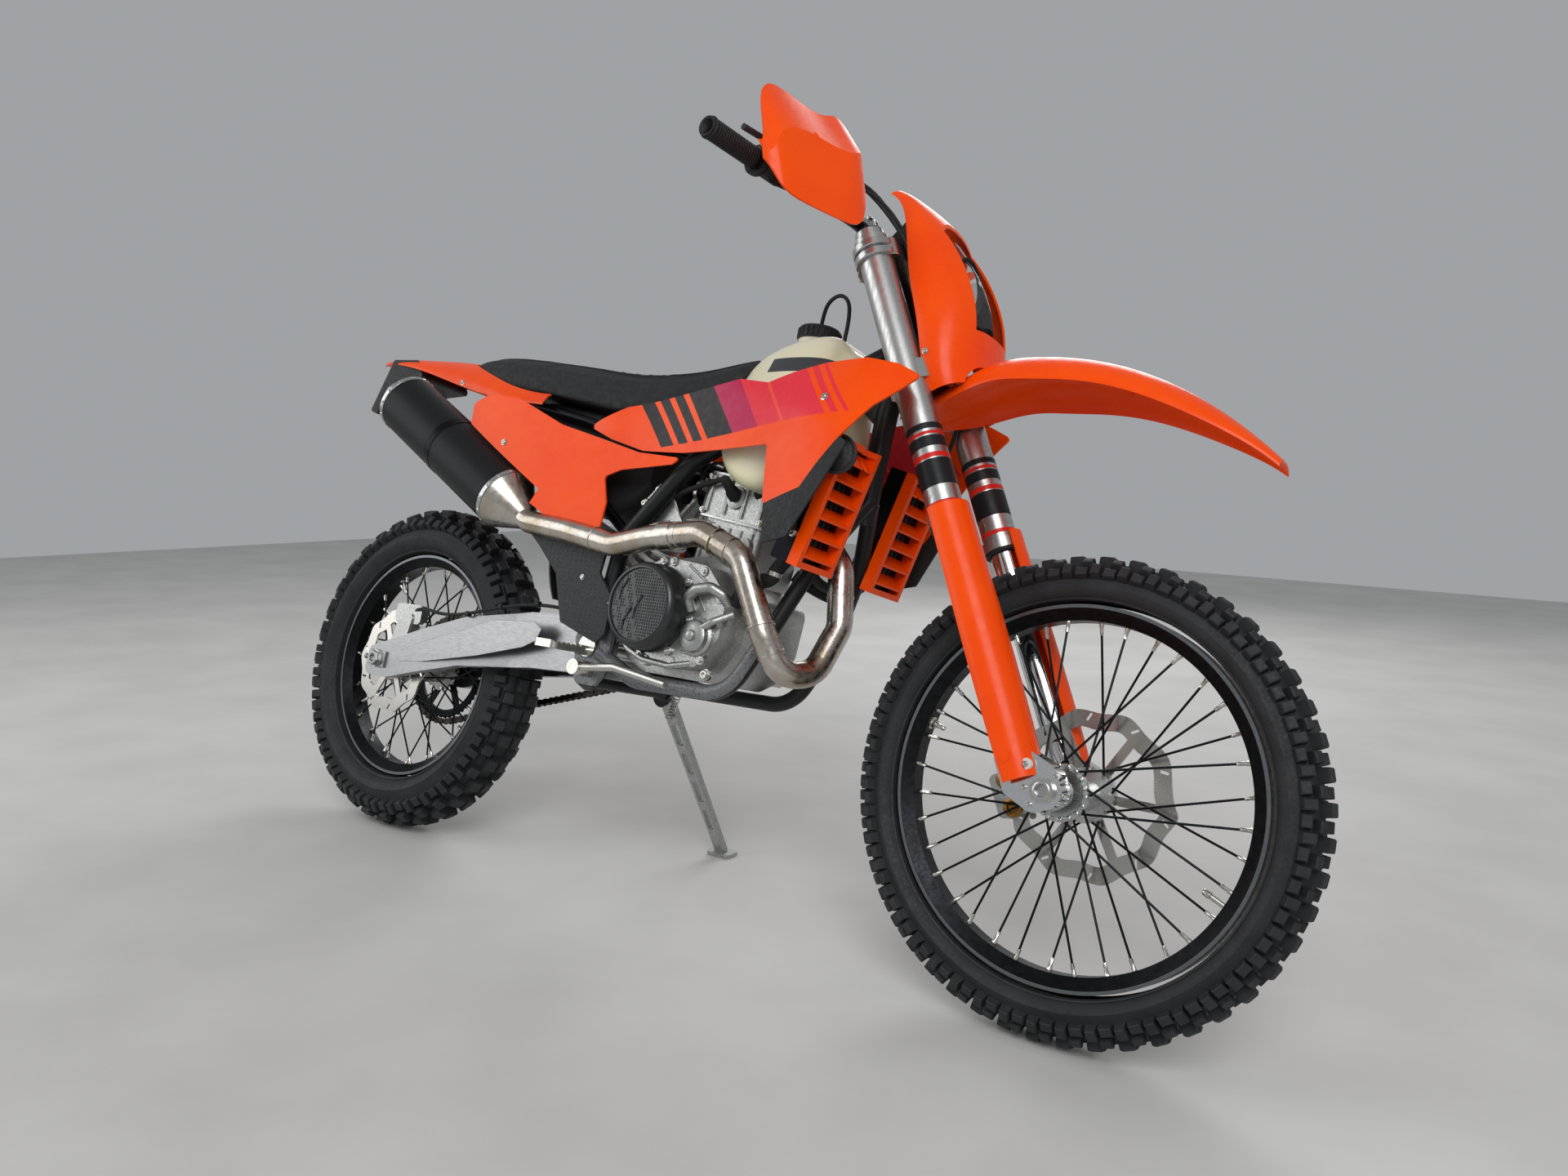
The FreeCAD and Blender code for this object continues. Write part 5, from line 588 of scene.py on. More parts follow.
# %% Tyre maker
CHAMFER = 1.4 * MM
BLOCK_SINK = 3.0 * MM
BLOCK_DRAFT = 0.86
CROWN_EDGE = math.radians(74)
CROWN_STEPS = 7
BEAD_HEIGHT = 6 * MM
SIDEWALL = ((0, 0), (0.42, 0.05), (0.5, 0.13), (0.44, 0.16), (0.66, 0.27), (0.9, 0.45), (1, 0.62))


def tyre_casing(shape, axle, rim_radius, rim_half, casing_radius, half_width, crown):
    """The casing and its beads, as a closed turned ring."""
    side = [(rim_radius, rim_half)]
    top = casing_radius - crown * (1 - math.cos(CROWN_EDGE))
    for wide, tall in SIDEWALL:
        side.append(
            (rim_radius + (top - rim_radius) * tall, rim_half + (half_width - rim_half) * wide))
    arc = []
    for i in range(CROWN_STEPS + 1):
        tilt = CROWN_EDGE * (1 - i / CROWN_STEPS)
        arc.append((casing_radius - crown * (1 - math.cos(tilt)), crown * math.sin(tilt)))
    inner = (rim_radius + BEAD_HEIGHT, rim_half * 0.8)
    right = [(r, -y) for r, y in side[1:] + arc[:-1]]
    profile = [inner] + side[1:] + arc + right[::-1] + [(inner[0], -inner[1])]
    shape.turned(axle, left, profile, sides=120, closed=True)


def tread_block(shape, axle, turn, crown_centre, crown, tilt, length, width, height):
    """One block: turn is its angle round the axle, tilt its angle across the crown in degrees."""
    tilt = math.radians(tilt)
    length, width, height = length * MM, width * MM, height * MM
    outward = forward * math.cos(turn) + up * math.sin(turn)
    around = up * math.cos(turn) - forward * math.sin(turn)
    rise_way = outward * math.cos(tilt) + left * math.sin(tilt)
    across = left * math.cos(tilt) - outward * math.sin(tilt)
    base = axle + outward * crown_centre + rise_way * (crown - BLOCK_SINK)
    levels = (
        (0, 1.0), (height + BLOCK_SINK - CHAMFER, BLOCK_DRAFT + 0.02), (height + BLOCK_SINK, None))
    points = []
    for lift, taper in levels:
        long_half = length / 2 * (taper or BLOCK_DRAFT) - (0 if taper else CHAMFER)
        wide_half = width / 2 * (taper or BLOCK_DRAFT) - (0 if taper else CHAMFER)
        for a, b in ((-1, -1), (1, -1), (1, 1), (-1, 1)):
            points.append(base + rise_way * lift + around * a * long_half + across * b * wide_half)
    faces = [(0, 1, 2, 3), (8, 9, 10, 11)]
    for level in (0, 4):
        for i in range(4):
            j = (i + 1) % 4
            faces.append((level + i, level + j, level + 4 + j, level + 4 + i))
    shape.add(points, faces)


def knobbly_tyre(name, axle, radius, sizes, crown, rows, rim_radius, rim_half, half_width):
    """sizes: tilt in degrees, length, width and height in mm, for each kind of block."""
    shoulders = 2 * rows
    shape = Shape()
    height = sizes[0][3] * MM
    casing_radius = radius - height
    tyre_casing(shape, axle, rim_radius, rim_half, casing_radius, half_width, crown)
    crown_centre = casing_radius - crown
    for i in range(rows):
        for kind, (tilt, length, width, tall) in enumerate(sizes[:2]):
            turn = 2 * math.pi * (i + 0.5 * kind) / rows
            for side in (-1, 1):
                tread_block(
                    shape, axle, turn, crown_centre, crown, side * tilt, length, width, tall)
    for i in range(shoulders):
        turn = 2 * math.pi * (i + 0.25) / shoulders
        tilt, length, width, tall = sizes[2 + i % 2]
        for side in (-1, 1):
            tread_block(shape, axle, turn, crown_centre, crown, side * tilt, length, width, tall)
    shape.piece(
        name + "_tyre_tread", rubber, name + "_wheel", "tyre_rubber", stands_for=name + "_tyre")


# %% Both tyres
FRONT_BLOCKS = ((12, 21, 15, 14), (34, 18, 14, 13), (58, 16, 20, 13), (63, 20, 15, 11))
REAR_BLOCKS = ((12.5, 28, 23, 18), (34, 24, 22, 17), (57, 17, 27, 15), (61, 22, 20, 13))
knobbly_tyre("front", front_axle, FRONT_RADIUS + 0.6 * MM, FRONT_BLOCKS, crown=34 * MM, rows=48,
             rim_radius=0.2785, rim_half=0.0215, half_width=0.0395)
knobbly_tyre("rear", rear_axle, REAR_RADIUS + 2.0 * MM, REAR_BLOCKS, crown=50 * MM, rows=36,
             rim_radius=0.2415, rim_half=0.0295, half_width=0.0575)

# %% [markdown]
# ## Fasteners, hoses and coils
#
# The engine bay gets its look from small repeated parts. A socket bolt is one turned profile with a
# washer and a recess. A hose is a NURBS curve with a round bevel, which bends as rubber does. A
# coil is a tube swept along a helix, and a band is a closed turned ring.

# %% Small part makers
def place(x, y, z):
    """A place on the upright bike, given in millimetres."""
    return bike(x * MM, y * MM, z * MM)


def steer(ahead, side, along):
    """A place on what steers, given in millimetres."""
    return fork(ahead * MM, side * MM, along * MM)


def spots(where, *rows):
    """Several places at once, by one of the functions that give a place."""
    return [where(*row) for row in rows]


def leaning(foot, lean):
    """A function for places in a part that leans forward: x and z from its foot, y from the
    bike's middle, in millimetres."""
    def at(x, y, z):
        return place(foot[0] + x * math.cos(lean) + z * math.sin(lean), y,
                     foot[1] + z * math.cos(lean) - x * math.sin(lean))
    return at


def mm(*pairs):
    """A profile whose radii and heights are given in millimetres."""
    return [(radius * MM, height * MM) for radius, height in pairs]


def bolts(name, places, way, radius, body="chassis", washer=1.35):
    """Socket bolts with washers at places given in the leaning frame; radius in millimetres."""
    shape = Shape()
    r = radius * MM
    for spot in places:
        shape.turned(
            spot, way, [(r * washer, -r * 0.5), (r * washer, r * 0.3), (r, r * 0.36), (r, r * 1.05),
                (r * 0.86, r * 1.22), (r * 0.52, r * 1.22), (r * 0.48, r * 0.6), (0, r * 0.6)],
            sides=12)
    shape.piece(name, plated, body)


def hose(name, points, radius, body="chassis"):
    """A held hose or cable through control points in the leaning frame; radius in millimetres."""
    data = bpy.data.curves.new(name, "CURVE")
    data.dimensions = "3D"
    spline = data.splines.new("NURBS")
    spline.points.add(len(points) - 1)
    for point, spot in zip(spline.points, points):
        point.co = (*spot, 1)
    spline.order_u = 3
    spline.use_endpoint_u = True
    spline.resolution_u = 6
    data.bevel_depth = radius * MM
    data.bevel_resolution = 3
    data.use_fill_caps = True
    made = bpy.data.objects.new(name, data)
    bpy.context.collection.objects.link(made)
    made.data.materials.append(soft_black.material)
    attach(made, body)


def add_band(shape, spot, way, inner, outer, width, lip=0.6):
    """A closed ring round a tube; sizes in millimetres."""
    half = width / 2 * MM
    i, o, l = inner * MM, outer * MM, lip * MM
    shape.turned(
        spot, way, [(i, -half), (o - l, -half), (o, -half + l), (o, half - l), (o - l, half),
            (i, half)], sides=32, closed=True)


def add_coil(shape, start, end, radius, wire, turns, steps=14):
    """A coil spring between two places; radius and wire in millimetres."""
    axis = (end - start).normalized()
    across = axis.orthogonal().normalized()
    other = axis.cross(across)
    path = []
    for i in range(int(turns * steps) + 1):
        angle = 2 * math.pi * i / steps
        path.append(start + (end - start) * (i / (turns * steps))
                    + (across * math.cos(angle) + other * math.sin(angle)) * radius * MM)
    shape.swept(path, wire * MM, sides=8, up_hint=axis)


def rounded(points, bend, steps=6):
    """A path whose corners are rounded by arcs of about the same radius; all in metres."""
    path = [points[0]]
    for before, corner, after in zip(points[:-2], points[1:-1], points[2:]):
        one = before - corner
        two = after - corner
        turn = math.pi - one.angle(two)
        reach = min(bend * math.tan(turn / 2), one.length * 0.48, two.length * 0.48)
        start = corner + one.normalized() * reach
        end = corner + two.normalized() * reach
        for i in range(steps + 1):
            t = i / steps
            path.append(start * (1 - t) ** 2 + corner * 2 * t * (1 - t) + end * t ** 2)
    path.append(points[-1])
    return path


right = -left
SIDES = ((-1, "right"), (1, "left"))

# %% [markdown]
# ## Engine
#
# The clutch cover is a black die-cast lid with a raised rim. Its face carries a field of small
# studs, broken by smooth slanted bars. The studs stand on a square grid 5.2 mm apart, each a low
# six-sided frustum, cut off where the bars and the rim begin.

# %% Clutch cover
CLUTCH = (742, 522)
CLUTCH_FACE = -128
STUD_PITCH = 5.2
STUD_FIELD = 60
BARE_BARS = ((-33, -24), (-14, -5), (-52, -45))
cover = Shape()
cover.turned(
    place(CLUTCH[0], CLUTCH_FACE, CLUTCH[1]), right, mm((77, 0), (77, 12), (75.5, 14), (75, 36),
        (71, 44), (66, 47.5), (63.5, 47.5), (62, 44), (0, 44)), sides=72)
count = int(STUD_FIELD / STUD_PITCH)
for i in range(-count, count + 1):
    for j in range(-count, count + 1):
        x, z = i * STUD_PITCH, j * STUD_PITCH
        slant = x + 0.35 * z + (9 if z < -6 else 0)
        if math.hypot(x, z) > STUD_FIELD or any(a < slant < b for a, b in BARE_BARS):
            continue
        cover.turned(
            place(CLUTCH[0] + x, CLUTCH_FACE - 43.6, CLUTCH[1] + z), right,
            mm((2.1, 0), (1.5, 1.7)), sides=6)
for low, high, middle in ((-46, -8, -26), (-26, 16, -6), (4, 42, -44)):
    start = place(CLUTCH[0] + middle + 12, CLUTCH_FACE - 44.5, CLUTCH[1] + high)
    knee = place(CLUTCH[0] + middle, CLUTCH_FACE - 44.5, CLUTCH[1] + low + 18)
    end = place(CLUTCH[0] + middle - 2, CLUTCH_FACE - 44.5, CLUTCH[1] + low)
    cover.swept([start, knee, end], 1.8 * MM, sides=6)
cover.piece("clutch_cover", lid_enamel, slot_name="cover_black", stands_for="engine_covers")
BOLT_CIRCLE = 84
rim_bolts = [place(CLUTCH[0] + BOLT_CIRCLE * math.cos(math.radians(turn)), CLUTCH_FACE - 5,
                   CLUTCH[1] + BOLT_CIRCLE * math.sin(math.radians(turn)))
             for turn in (38, 88, -8, -55, -100, 140)]
bosses = Shape()
for spot in rim_bolts:
    bosses.turned(spot, right, mm((8.5, -10), (8, 0), (7, 1), (0, 1)), sides=20)

# %% [markdown]
# Round the cover, the right side of the engine is one casting: bosses for the bolts, the water pump
# with its pipes, and ribs to the front and along the seam with the crankcase. They are separate
# shapes in one piece, because the real ones are cast in one.

# %% Casting details on the right
CASTING_RIBS = (((800, 604), (872, 562)), ((806, 588), (852, 528)), ((814, 456), (850, 452)))
COVER_BOLTS = (
    (766, 607), (836, 595), (880, 552), (886, 512), (862, 446), (800, 436), (742, 432), (676, 582))
for x, z in COVER_BOLTS:
    bosses.turned(place(x, -124, z), right, mm((10, -6), (8.5, 5), (7.5, 6.5), (0, 6.5)), sides=24)
bosses.turned(
    place(846, -128, 484), right, mm((34, -2), (33, 4), (28, 7), (26, 15), (22, 18), (10, 18.5),
        (9, 24), (6, 26), (0, 26)), sides=40)
bosses.swept(
    rounded(spots(place, (848, -140, 490), (880, -138, 512), (905, -118, 530)), 20 * MM), 6.5 * MM,
    sides=14)
bosses.swept(
    rounded(spots(place, (822, -128, 528), (820, -142, 548), (840, -146, 562), (868, -144, 568),
            (890, -134, 558), (893, -120, 545)), 14 * MM), 9.5 * MM, sides=16)
bosses.swept(
    rounded(spots(place, (676, -126, 466), (700, -132, 446), (740, -134, 432), (800, -134, 428),
            (846, -132, 438)), 30 * MM), 5.5 * MM, sides=12)
for (x, z), (far_x, far_z) in CASTING_RIBS:
    bosses.swept([place(x, -126, z), place(far_x, -126, far_z)], 3.5 * MM, sides=10)
bosses.piece("right_cover_casting", cast)
bolts("cover_bolts", rim_bolts + [place(x, -130.5, z) for x, z in COVER_BOLTS], right, 3.6)
bolts("drain_plug", [place(868, -114, 424)], right, 7.5)

# %% Left side: ignition cover, bosses and bolts
Shape().turned(
    place(810, 112, 512), left, mm((57, -3), (57, 4), (54, 9), (46, 14), (30, 15.5), (28, 13.5),
        (0, 13.5)), sides=64
).piece("ignition_cover", cast, stands_for="engine_covers")
LEFT_BOLTS = ((752, 582), (822, 592), (868, 552), (872, 492), (838, 440), (782, 440), (748, 500))
left_bosses = Shape()
for x, z in LEFT_BOLTS:
    left_bosses.turned(place(x, 108, z), left, mm((10, -6), (8.5, 5), (0, 6)), sides=24)
left_bosses.piece("left_cover_bosses", cast)
bolts("left_cover_bolts", [place(x, 115, z) for x, z in LEFT_BOLTS], left, 3.6)

# %% [markdown]
# The cylinder leans 8 degrees forward. Its head, cam cover and barrel meet at gasket lines, with
# bolts down the sides, the spark plug's cap in the right side and the throttle body behind.

# %% Cylinder details
stack = leaning((812, 600), math.radians(8))
gaskets = Shape()
CORNER = 20
for level, wide, long in ((96, 74.5, 84.5), (174, 74.5, 84.5), (0, 69.5, 71.5)):
    outline = []
    for quarter, (a, b) in enumerate(((1, 1), (-1, 1), (-1, -1), (1, -1))):
        for i in range(7):
            turn = math.radians(90 * quarter + 15 * i)
            outline.append(stack(a * (long - CORNER) + CORNER * math.cos(turn),
                                 b * (wide - CORNER) + CORNER * math.sin(turn), level - 2.5))
    gaskets.extruded(outline, stack(0, 0, 5) - stack(0, 0, 0))
gaskets.piece("cylinder_joints", machined, slot_name="engine_alloy", bevel=0.6 * MM)
ribs = Shape()
for y, low, high, radius, row in ((68, 12, 84, 4, (-52, -26, 0, 26, 52)),
                                  (73, 104, 168, 5, (-60, -20, 20, 60))):
    for x in row:
        for side in (-1, 1):
            ribs.swept([stack(x, side * y, low), stack(x, side * y, high)], radius * MM, sides=10)
ribs.turned(stack(0, -70, 138), right, mm((22, 0), (20, 7), (13, 9), (0, 9)), sides=32)
ribs.turned(stack(48, -70, 60), right, mm((15, 0), (14, 10), (0, 10)), sides=28)
ribs.piece("cylinder_ribs", cast)
bolts(
    "cylinder_bolts", [stack(x, -56, 212) for x in (-60, 0, 60)]
    + [stack(x, -76, z) for x in (-66, 66) for z in (104, 166)], right, 4)
bolts("cam_cover_bolts", [stack(x, y, 213) for x in (-56, 56) for y in (-42, 42)], up, 4.5)
Shape().turned(
    stack(0, -78, 138), right + up * 0.6, mm((12, 0), (12.5, 14), (10, 20), (8.5, 44), (6, 48),
        (0, 48)), sides=24
).piece("spark_cap", soft_black)
root = stack(-80, 0, 140)
intake = (place(640, 0, 762) - root).normalized()
Shape().turned(
    root, intake, mm((30, 0), (33, 4), (27, 10), (27, 22), (31, 24), (31, 48), (26, 52), (26, 62),
        (36, 68), (36, 84), (0, 84)), sides=36
).piece("throttle_body", black_metal, slot_name="frame_paint")
clips = Shape()
for along in (16, 57):
    add_band(clips, root + intake * along * MM, intake, 26, 29, 8)
clips.turned(
    stack(-96, -34, 150), right, mm((12, 0), (12, 14), (7, 16), (7, 26), (0, 26)), sides=20)
clips.piece("intake_clips", plated)
hose(
    "injector_wire", spots(stack, (-98, -52, 152), (-102, -68, 170), (-60, -78, 196),
        (-10, -72, 190)), 3)
hose(
    "ignition_lead", spots(stack, (8, -102, 166), (16, -116, 192), (-10, -98, 228),
        (-60, -74, 226)), 3.6)
hose("loom", spots(place, (650, -70, 706), (700, -86, 730), (742, -88, 748), (800, -84, 766)), 5)

# %% [markdown]
# A plate on each side ties the head to the frame. It is a cast triangle with three bolts.

# %% Head stays
STAY_HOLES = ((640, 712, 10), (668, 738, 11), (664, 702, 13))
for side, name in SIDES:
    way, y = left * side, side * 84
    stay = Shape()
    corners = spots(
        place, (626, y, 712), (664, y, 752), (690, y, 740), (742, y, 668), (728, y, 660),
        (652, y, 690))
    stay.extruded(corners, way * 5 * MM)
    for x, z, r in STAY_HOLES:
        stay.turned(place(x, y, z), way, mm((r, -1), (r, 9), (r - 1.5, 10), (0, 10)), sides=28)
    stay.piece(name + "_head_stay", cast, bevel=1.2 * MM)
    bolts(name + "_stay_bolts", [place(x, side * 94, z) for x, z, _ in STAY_HOLES], way, 5)

# %% [markdown]
# ## Exhaust
#
# The header is made of lengths of stainless tube. Where they slide together there are collars and
# short springs, and each bend ends in a weld bead. The silencer's sleeve is held by rivets at both
# ends and by a band in the middle.

# %% Collars, welds and springs
PIPE = spots(
    place, *((912, 0, 712), (972, 0, 700), (1030, -12, 640), (1052, -20, 540), (1046, -62, 456),
        (1022, -122, 442), (992, -148, 505), (930, -158, 622), (838, -158, 655), (720, -154, 640),
        (640, -150, 622), (520, -150, 640), (400, -142, 652)))
# Which length of pipe, how far along it, outer radius and width
COLLARS = ((6, 0.08, 24.2, 5), (7, 0.36, 23.8, 26), (7, 0.62, 25, 4), (8, 0.4, 23.6, 4),
           (8, 0.62, 24.6, 30), (5, 0.5, 23.4, 3), (2, 0.5, 23.2, 3), (10, 0.4, 23.4, 3))
collars = Shape()
for index, share, outer, width in COLLARS:
    spot = PIPE[index].lerp(PIPE[index + 1], share)
    add_band(collars, spot, PIPE[index + 1] - PIPE[index], 21, outer, width)
collars.piece("header_collars", exhaust, slot_name="exhaust_steel")
springs = Shape()
for start, end in (spots(place, (760, -153, 670), (722, -151, 664)),
                   spots(place, (806, -153, 677), (850, -153, 676))):
    add_coil(springs, start, end, 3.4, 0.9, 11)
    springs.swept([start, start + (start - end) * 0.2], 1.2 * MM, sides=8)
    springs.swept([end, end + (end - start) * 0.2], 1.2 * MM, sides=8)
springs.piece("header_springs", plated)

# %% Silencer trim
front_end, rear_end = place(329.6, -143, 690.5), place(-7.5, -170, 876.1)
run_way = (rear_end - front_end).normalized()
ring_places = (front_end + run_way * 6 * MM, rear_end - run_way * 6 * MM)
RIVETS = 14
trim = Shape()
for spot in ring_places:
    add_band(trim, spot, run_way, 61, 63.4, 10, 1.0)
trim.turned(
    rear_end + run_way * 30 * MM, run_way, mm((30, 0), (31.5, 8), (29, 11), (25, 11), (24, -10),
        (0, -10)), sides=48)
trim.piece("silencer_rings", machined, slot_name="exhaust_steel")
rivets = Shape()
side_one = run_way.orthogonal().normalized()
side_two = run_way.cross(side_one)
for spot in ring_places:
    for i in range(RIVETS):
        a = 2 * math.pi * i / RIVETS
        way = side_one * math.cos(a) + side_two * math.sin(a)
        rivets.turned(
            spot + way * 62.8 * MM, way, mm((3.6, 0), (3.2, 1.2), (1.8, 1.9), (0, 2.1)), sides=12)
rivets.piece("silencer_rivets", plated)
band = Shape()
add_band(band, front_end.lerp(rear_end, 0.52), run_way, 61.5, 63.2, 18, 0.8)
band.piece("silencer_band", black_metal, slot_name="frame_paint")

# %% [markdown]
# ## Cooling
#
# Each radiator is a stack of thin fins in a black tank, 4.5 mm apart, behind upright tubes. Rubber
# hoses run to the pump and the head, held by bright clips, and the horn sits beside the right one.

# %% Radiator fins, hoses and horn
core = leaning((1036.3, 727.8), math.radians(15))
FINS = 40
FIN_PITCH = 4.5
for sign, name in SIDES:
    fins = Shape()
    for i in range(FINS):
        z = -90 + i * FIN_PITCH
        points = [
            core(x, sign * y, z) for x, y in ((-18.4, 72), (18.4, 72), (18.4, 156), (-18.4, 156))]
        fins.extruded(points, core(0, 0, 1.1) - core(0, 0, 0))
    for y in (86, 100, 114, 128, 142):
        fins.extruded(
            spots(core, (18.2, sign * (y - 1.2), -92), (18.2, sign * (y + 1.2), -92),
                (18.2, sign * (y + 1.2), 92), (18.2, sign * (y - 1.2), 92)),
            core(1.2, 0, 0) - core(0, 0, 0))
    fins.piece(name + "_radiator_fins", fin_finish, slot_name="radiator_alloy")
bolts("radiator_bolts", [core(10, -167, 84), core(10, -167, -60)], right, 5.5)
hose(
    "lower_hose", [core(-14, -120, -98), place(978, -122, 612), place(972, -124, 592),
        place(940, -122, 590), place(918, -118, 572), place(900, -112, 548)], 12.5)
hose(
    "upper_hose", [stack(40, -66, 150), stack(66, -80, 176), place(900, -86, 760),
        place(960, -96, 790), core(-16, -112, 80)], 11)
hose(
    "left_hose", [core(-14, 120, -98), place(974, 116, 606), place(930, 104, 600),
        stack(66, 66, 40)], 12)
hose(
    "cross_hose", [core(-10, -70, -100), place(1000, -40, 606), place(1000, 40, 606),
        core(-10, 70, -100)], 9)
hose_clips = Shape()
add_band(
    hose_clips, place(977, -122.5, 603), place(976, -122.6, 598) - place(978, -122, 612), 12, 14.2,
    8)
add_band(
    hose_clips, place(929, -120, 581), place(918, -118, 572) - place(940, -122, 590), 12, 14.2, 8)
add_band(hose_clips, stack(53, -73, 163), stack(66, -80, 176) - stack(40, -66, 150), 10.5, 12.8, 8)
hose_clips.piece("hose_clips", plated)
horn_way = (right + forward * 0.25 + up * 0.05).normalized()
Shape().turned(
    place(1090, -172, 794), horn_way, mm((24, -8), (31, -3), (32.5, 3), (32.5, 6), (29, 8), (27, 5),
        (18, 6), (14, 9), (8, 9), (7, 11), (0, 11)), sides=48
).piece("horn", black_plastic)

# %% [markdown]
# ## Wheels
#
# Each wheel has 36 spokes, and each spoke ends in a nipple that stands out of the rim on its inner
# side. The nipples follow the spokes' own lacing: in pairs to either flange, leaning forward and
# back. A rim lock and a valve pass through the rim as well. Repeated parts go in one piece for each
# wheel, for they turn together.

# %% Nipples, valves and rim locks
SPOKES = 36
LACE = math.radians(40)


def wheel_way(angle):
    """The way out from an axle, at an angle up from straight ahead."""
    return forward * math.cos(angle) + up * math.sin(angle)


def add_nipples(shape, axle, flange_radius, flange_middle, rim_floor):
    """A nipple at the rim and a head at the hub for every spoke; sizes in millimetres."""
    for i in range(SPOKES):
        side = 1 if i % 2 else -1
        lace = 1 if (i // 2) % 2 else -1
        at_rim = 2 * math.pi * i / SPOKES
        at_hub = at_rim + LACE * lace
        start = axle + wheel_way(at_hub) * (flange_radius - 3.6) * MM + left * side * (
            flange_middle + lace * 4) * MM
        end = axle + wheel_way(at_rim) * (rim_floor + 3) * MM + left * side * (7 + lace * 2.3) * MM
        along = (end - start).normalized()
        shape.turned(
            end - along * 21 * MM, along, mm((1.9, 0), (2.9, 1), (2.9, 12), (3.6, 13), (3.9, 18.5)),
            sides=8)
        head = start + along * 2 * MM
        shape.turned(head, left * side, mm((2.9, -3), (3.2, 1.5), (2.2, 3.2)), sides=8)


def add_valve(shape, axle, angle, rim_floor):
    way = wheel_way(math.radians(angle))
    shape.turned(
        axle + way * (rim_floor + 4) * MM, -way, mm((8, 0), (8, 5), (4, 6), (4, 26), (5, 27),
            (5, 36), (3.6, 38)), sides=12)


def add_rim_lock(shape, axle, angle, rim_floor):
    way = wheel_way(math.radians(angle))
    shape.turned(
        axle + way * (rim_floor + 4) * MM, -way, mm((11, 0), (11, 5), (7.5, 5.5), (7.5, 12)),
        sides=6)
    shape.turned(axle + way * (rim_floor - 8) * MM, -way, mm((4, 0), (4, 14), (3, 16)), sides=10)


for name, axle, flange_radius, flange_middle, rim_floor, valve_angle, lock_angle in (
        ("front", front_axle, 41, 51, 251, -25, 165), ("rear", rear_axle, 48, 55, 214, 125, -35)):
    body = name + "_wheel"
    nipples = Shape()
    add_nipples(nipples, axle, flange_radius, flange_middle, rim_floor)
    nipples.piece(name + "_nipples", plated, body, "spoke_steel")
    stems = Shape()
    add_valve(stems, axle, valve_angle, rim_floor)
    add_rim_lock(stems, axle, lock_angle, rim_floor)
    stems.piece(name + "_valve_and_lock", plated, body, "spoke_steel")

# %% [markdown]
# The hub flanges carry a small round boss at each pair of spokes, and a machined ring round the
# axle closes the hub. Six bolts hold each disc, and six the sprocket. The sprocket's are set where
# rays meet its arms on all six sides.

# %% Hub faces, disc and sprocket bolts
BOLT_PHASE = 0.26


def ring_of(count, axle, radius, side, phase=0.0):
    """Places round an axle, on its left by side millimetres."""
    return [
        axle + wheel_way(phase + 2 * math.pi * i / count) * radius * MM + left * side * MM
        for i in range(count)]


def add_hub(shape, axle, flange_radius, half, bore, pockets):
    for side in (-1, 1):
        face = axle + left * side * half * MM
        shape.turned(
            face, left * side, mm((bore, -3), (bore, 0.5), (bore + 5, 1.4), (bore + 6, 0.6),
                (flange_radius - 7, 0.5), (flange_radius - 6, -3)), sides=48, closed=True)
        for spot in ring_of(pockets, axle, flange_radius - 3.2, side * half):
            shape.turned(
                spot, left * side, mm((3.4, -2.5), (3.4, 0.5), (2.4, 0.9), (2.1, 0.2), (0, 0.2)),
                sides=10)


for name, axle, flange_radius, half, bore in (("front", front_axle, 41, 58, 15),
                                              ("rear", rear_axle, 48, 62, 17)):
    hubs = Shape()
    add_hub(hubs, axle, flange_radius, half, bore, pockets=18)
    hubs.piece(name + "_hub_faces", machined, name + "_wheel", "hub_alloy")
bolts("front_disc_bolts", ring_of(6, front_axle, 34, 68.5, BOLT_PHASE), left, 3.6, "front_wheel")
bolts("rear_disc_bolts", ring_of(6, rear_axle, 38, -76.5, BOLT_PHASE), right, 3.6, "rear_wheel")
sprocket_spots = []
for phase in range(0, 60, 4):
    for radius in (54, 58, 62, 50):
        tries = ring_of(6, rear_axle, radius, 120, math.radians(phase))
        hits = [met(nodes["rear_sprocket"], spot, right) for spot in tries]
        if len(sprocket_spots) < 6 and all(hits):
            sprocket_spots = hits
bolts("sprocket_bolts", sprocket_spots, left, 4.4, "rear_wheel")

# %% [markdown]
# ## Chain
#
# The chain runs round both sprockets at their pitch lines. Its path is two straight runs and two
# arcs. Every 15.9 mm there is a pin, and between two pins lies a pair of figure-eight plates, the
# inner ones 4 mm closer together than the outer ones. This piece takes the place of the CAD's loop.

# %% Chain links
CHAIN_PITCH = 15.875
CHAIN_Y = 78
BIG, SMALL = 115.5, 39.5
chain_rear = Vector((0, 341))
chain_front = Vector((668, 462))


def chain_path(step):
    """Places at even steps along the closed chain, as (x, z) in millimetres."""
    run = chain_front - chain_rear
    lean = math.acos((BIG - SMALL) / run.length)
    tilt = math.atan2(run.y, run.x)
    points = []
    for centre, radius, start, end in ((chain_rear, BIG, tilt + lean, tilt + 2 * math.pi - lean),
                                       (chain_front, SMALL, tilt - lean, tilt + lean)):
        steps = max(2, int(abs(end - start) * radius / 2))
        points += [centre + Vector((math.cos(a), math.sin(a))) * radius
                   for a in (start + (end - start) * i / steps for i in range(steps + 1))]
    points.append(points[0])
    lengths = [0]
    for a, b in zip(points[:-1], points[1:]):
        lengths.append(lengths[-1] + (b - a).length)
    count = round(lengths[-1] / step / 2) * 2
    spaced = []
    j = 0
    for i in range(count):
        want = lengths[-1] * i / count
        while lengths[j + 1] < want:
            j += 1
        spaced.append(
            points[j].lerp(points[j + 1], (want - lengths[j]) / (lengths[j + 1] - lengths[j])))
    return spaced


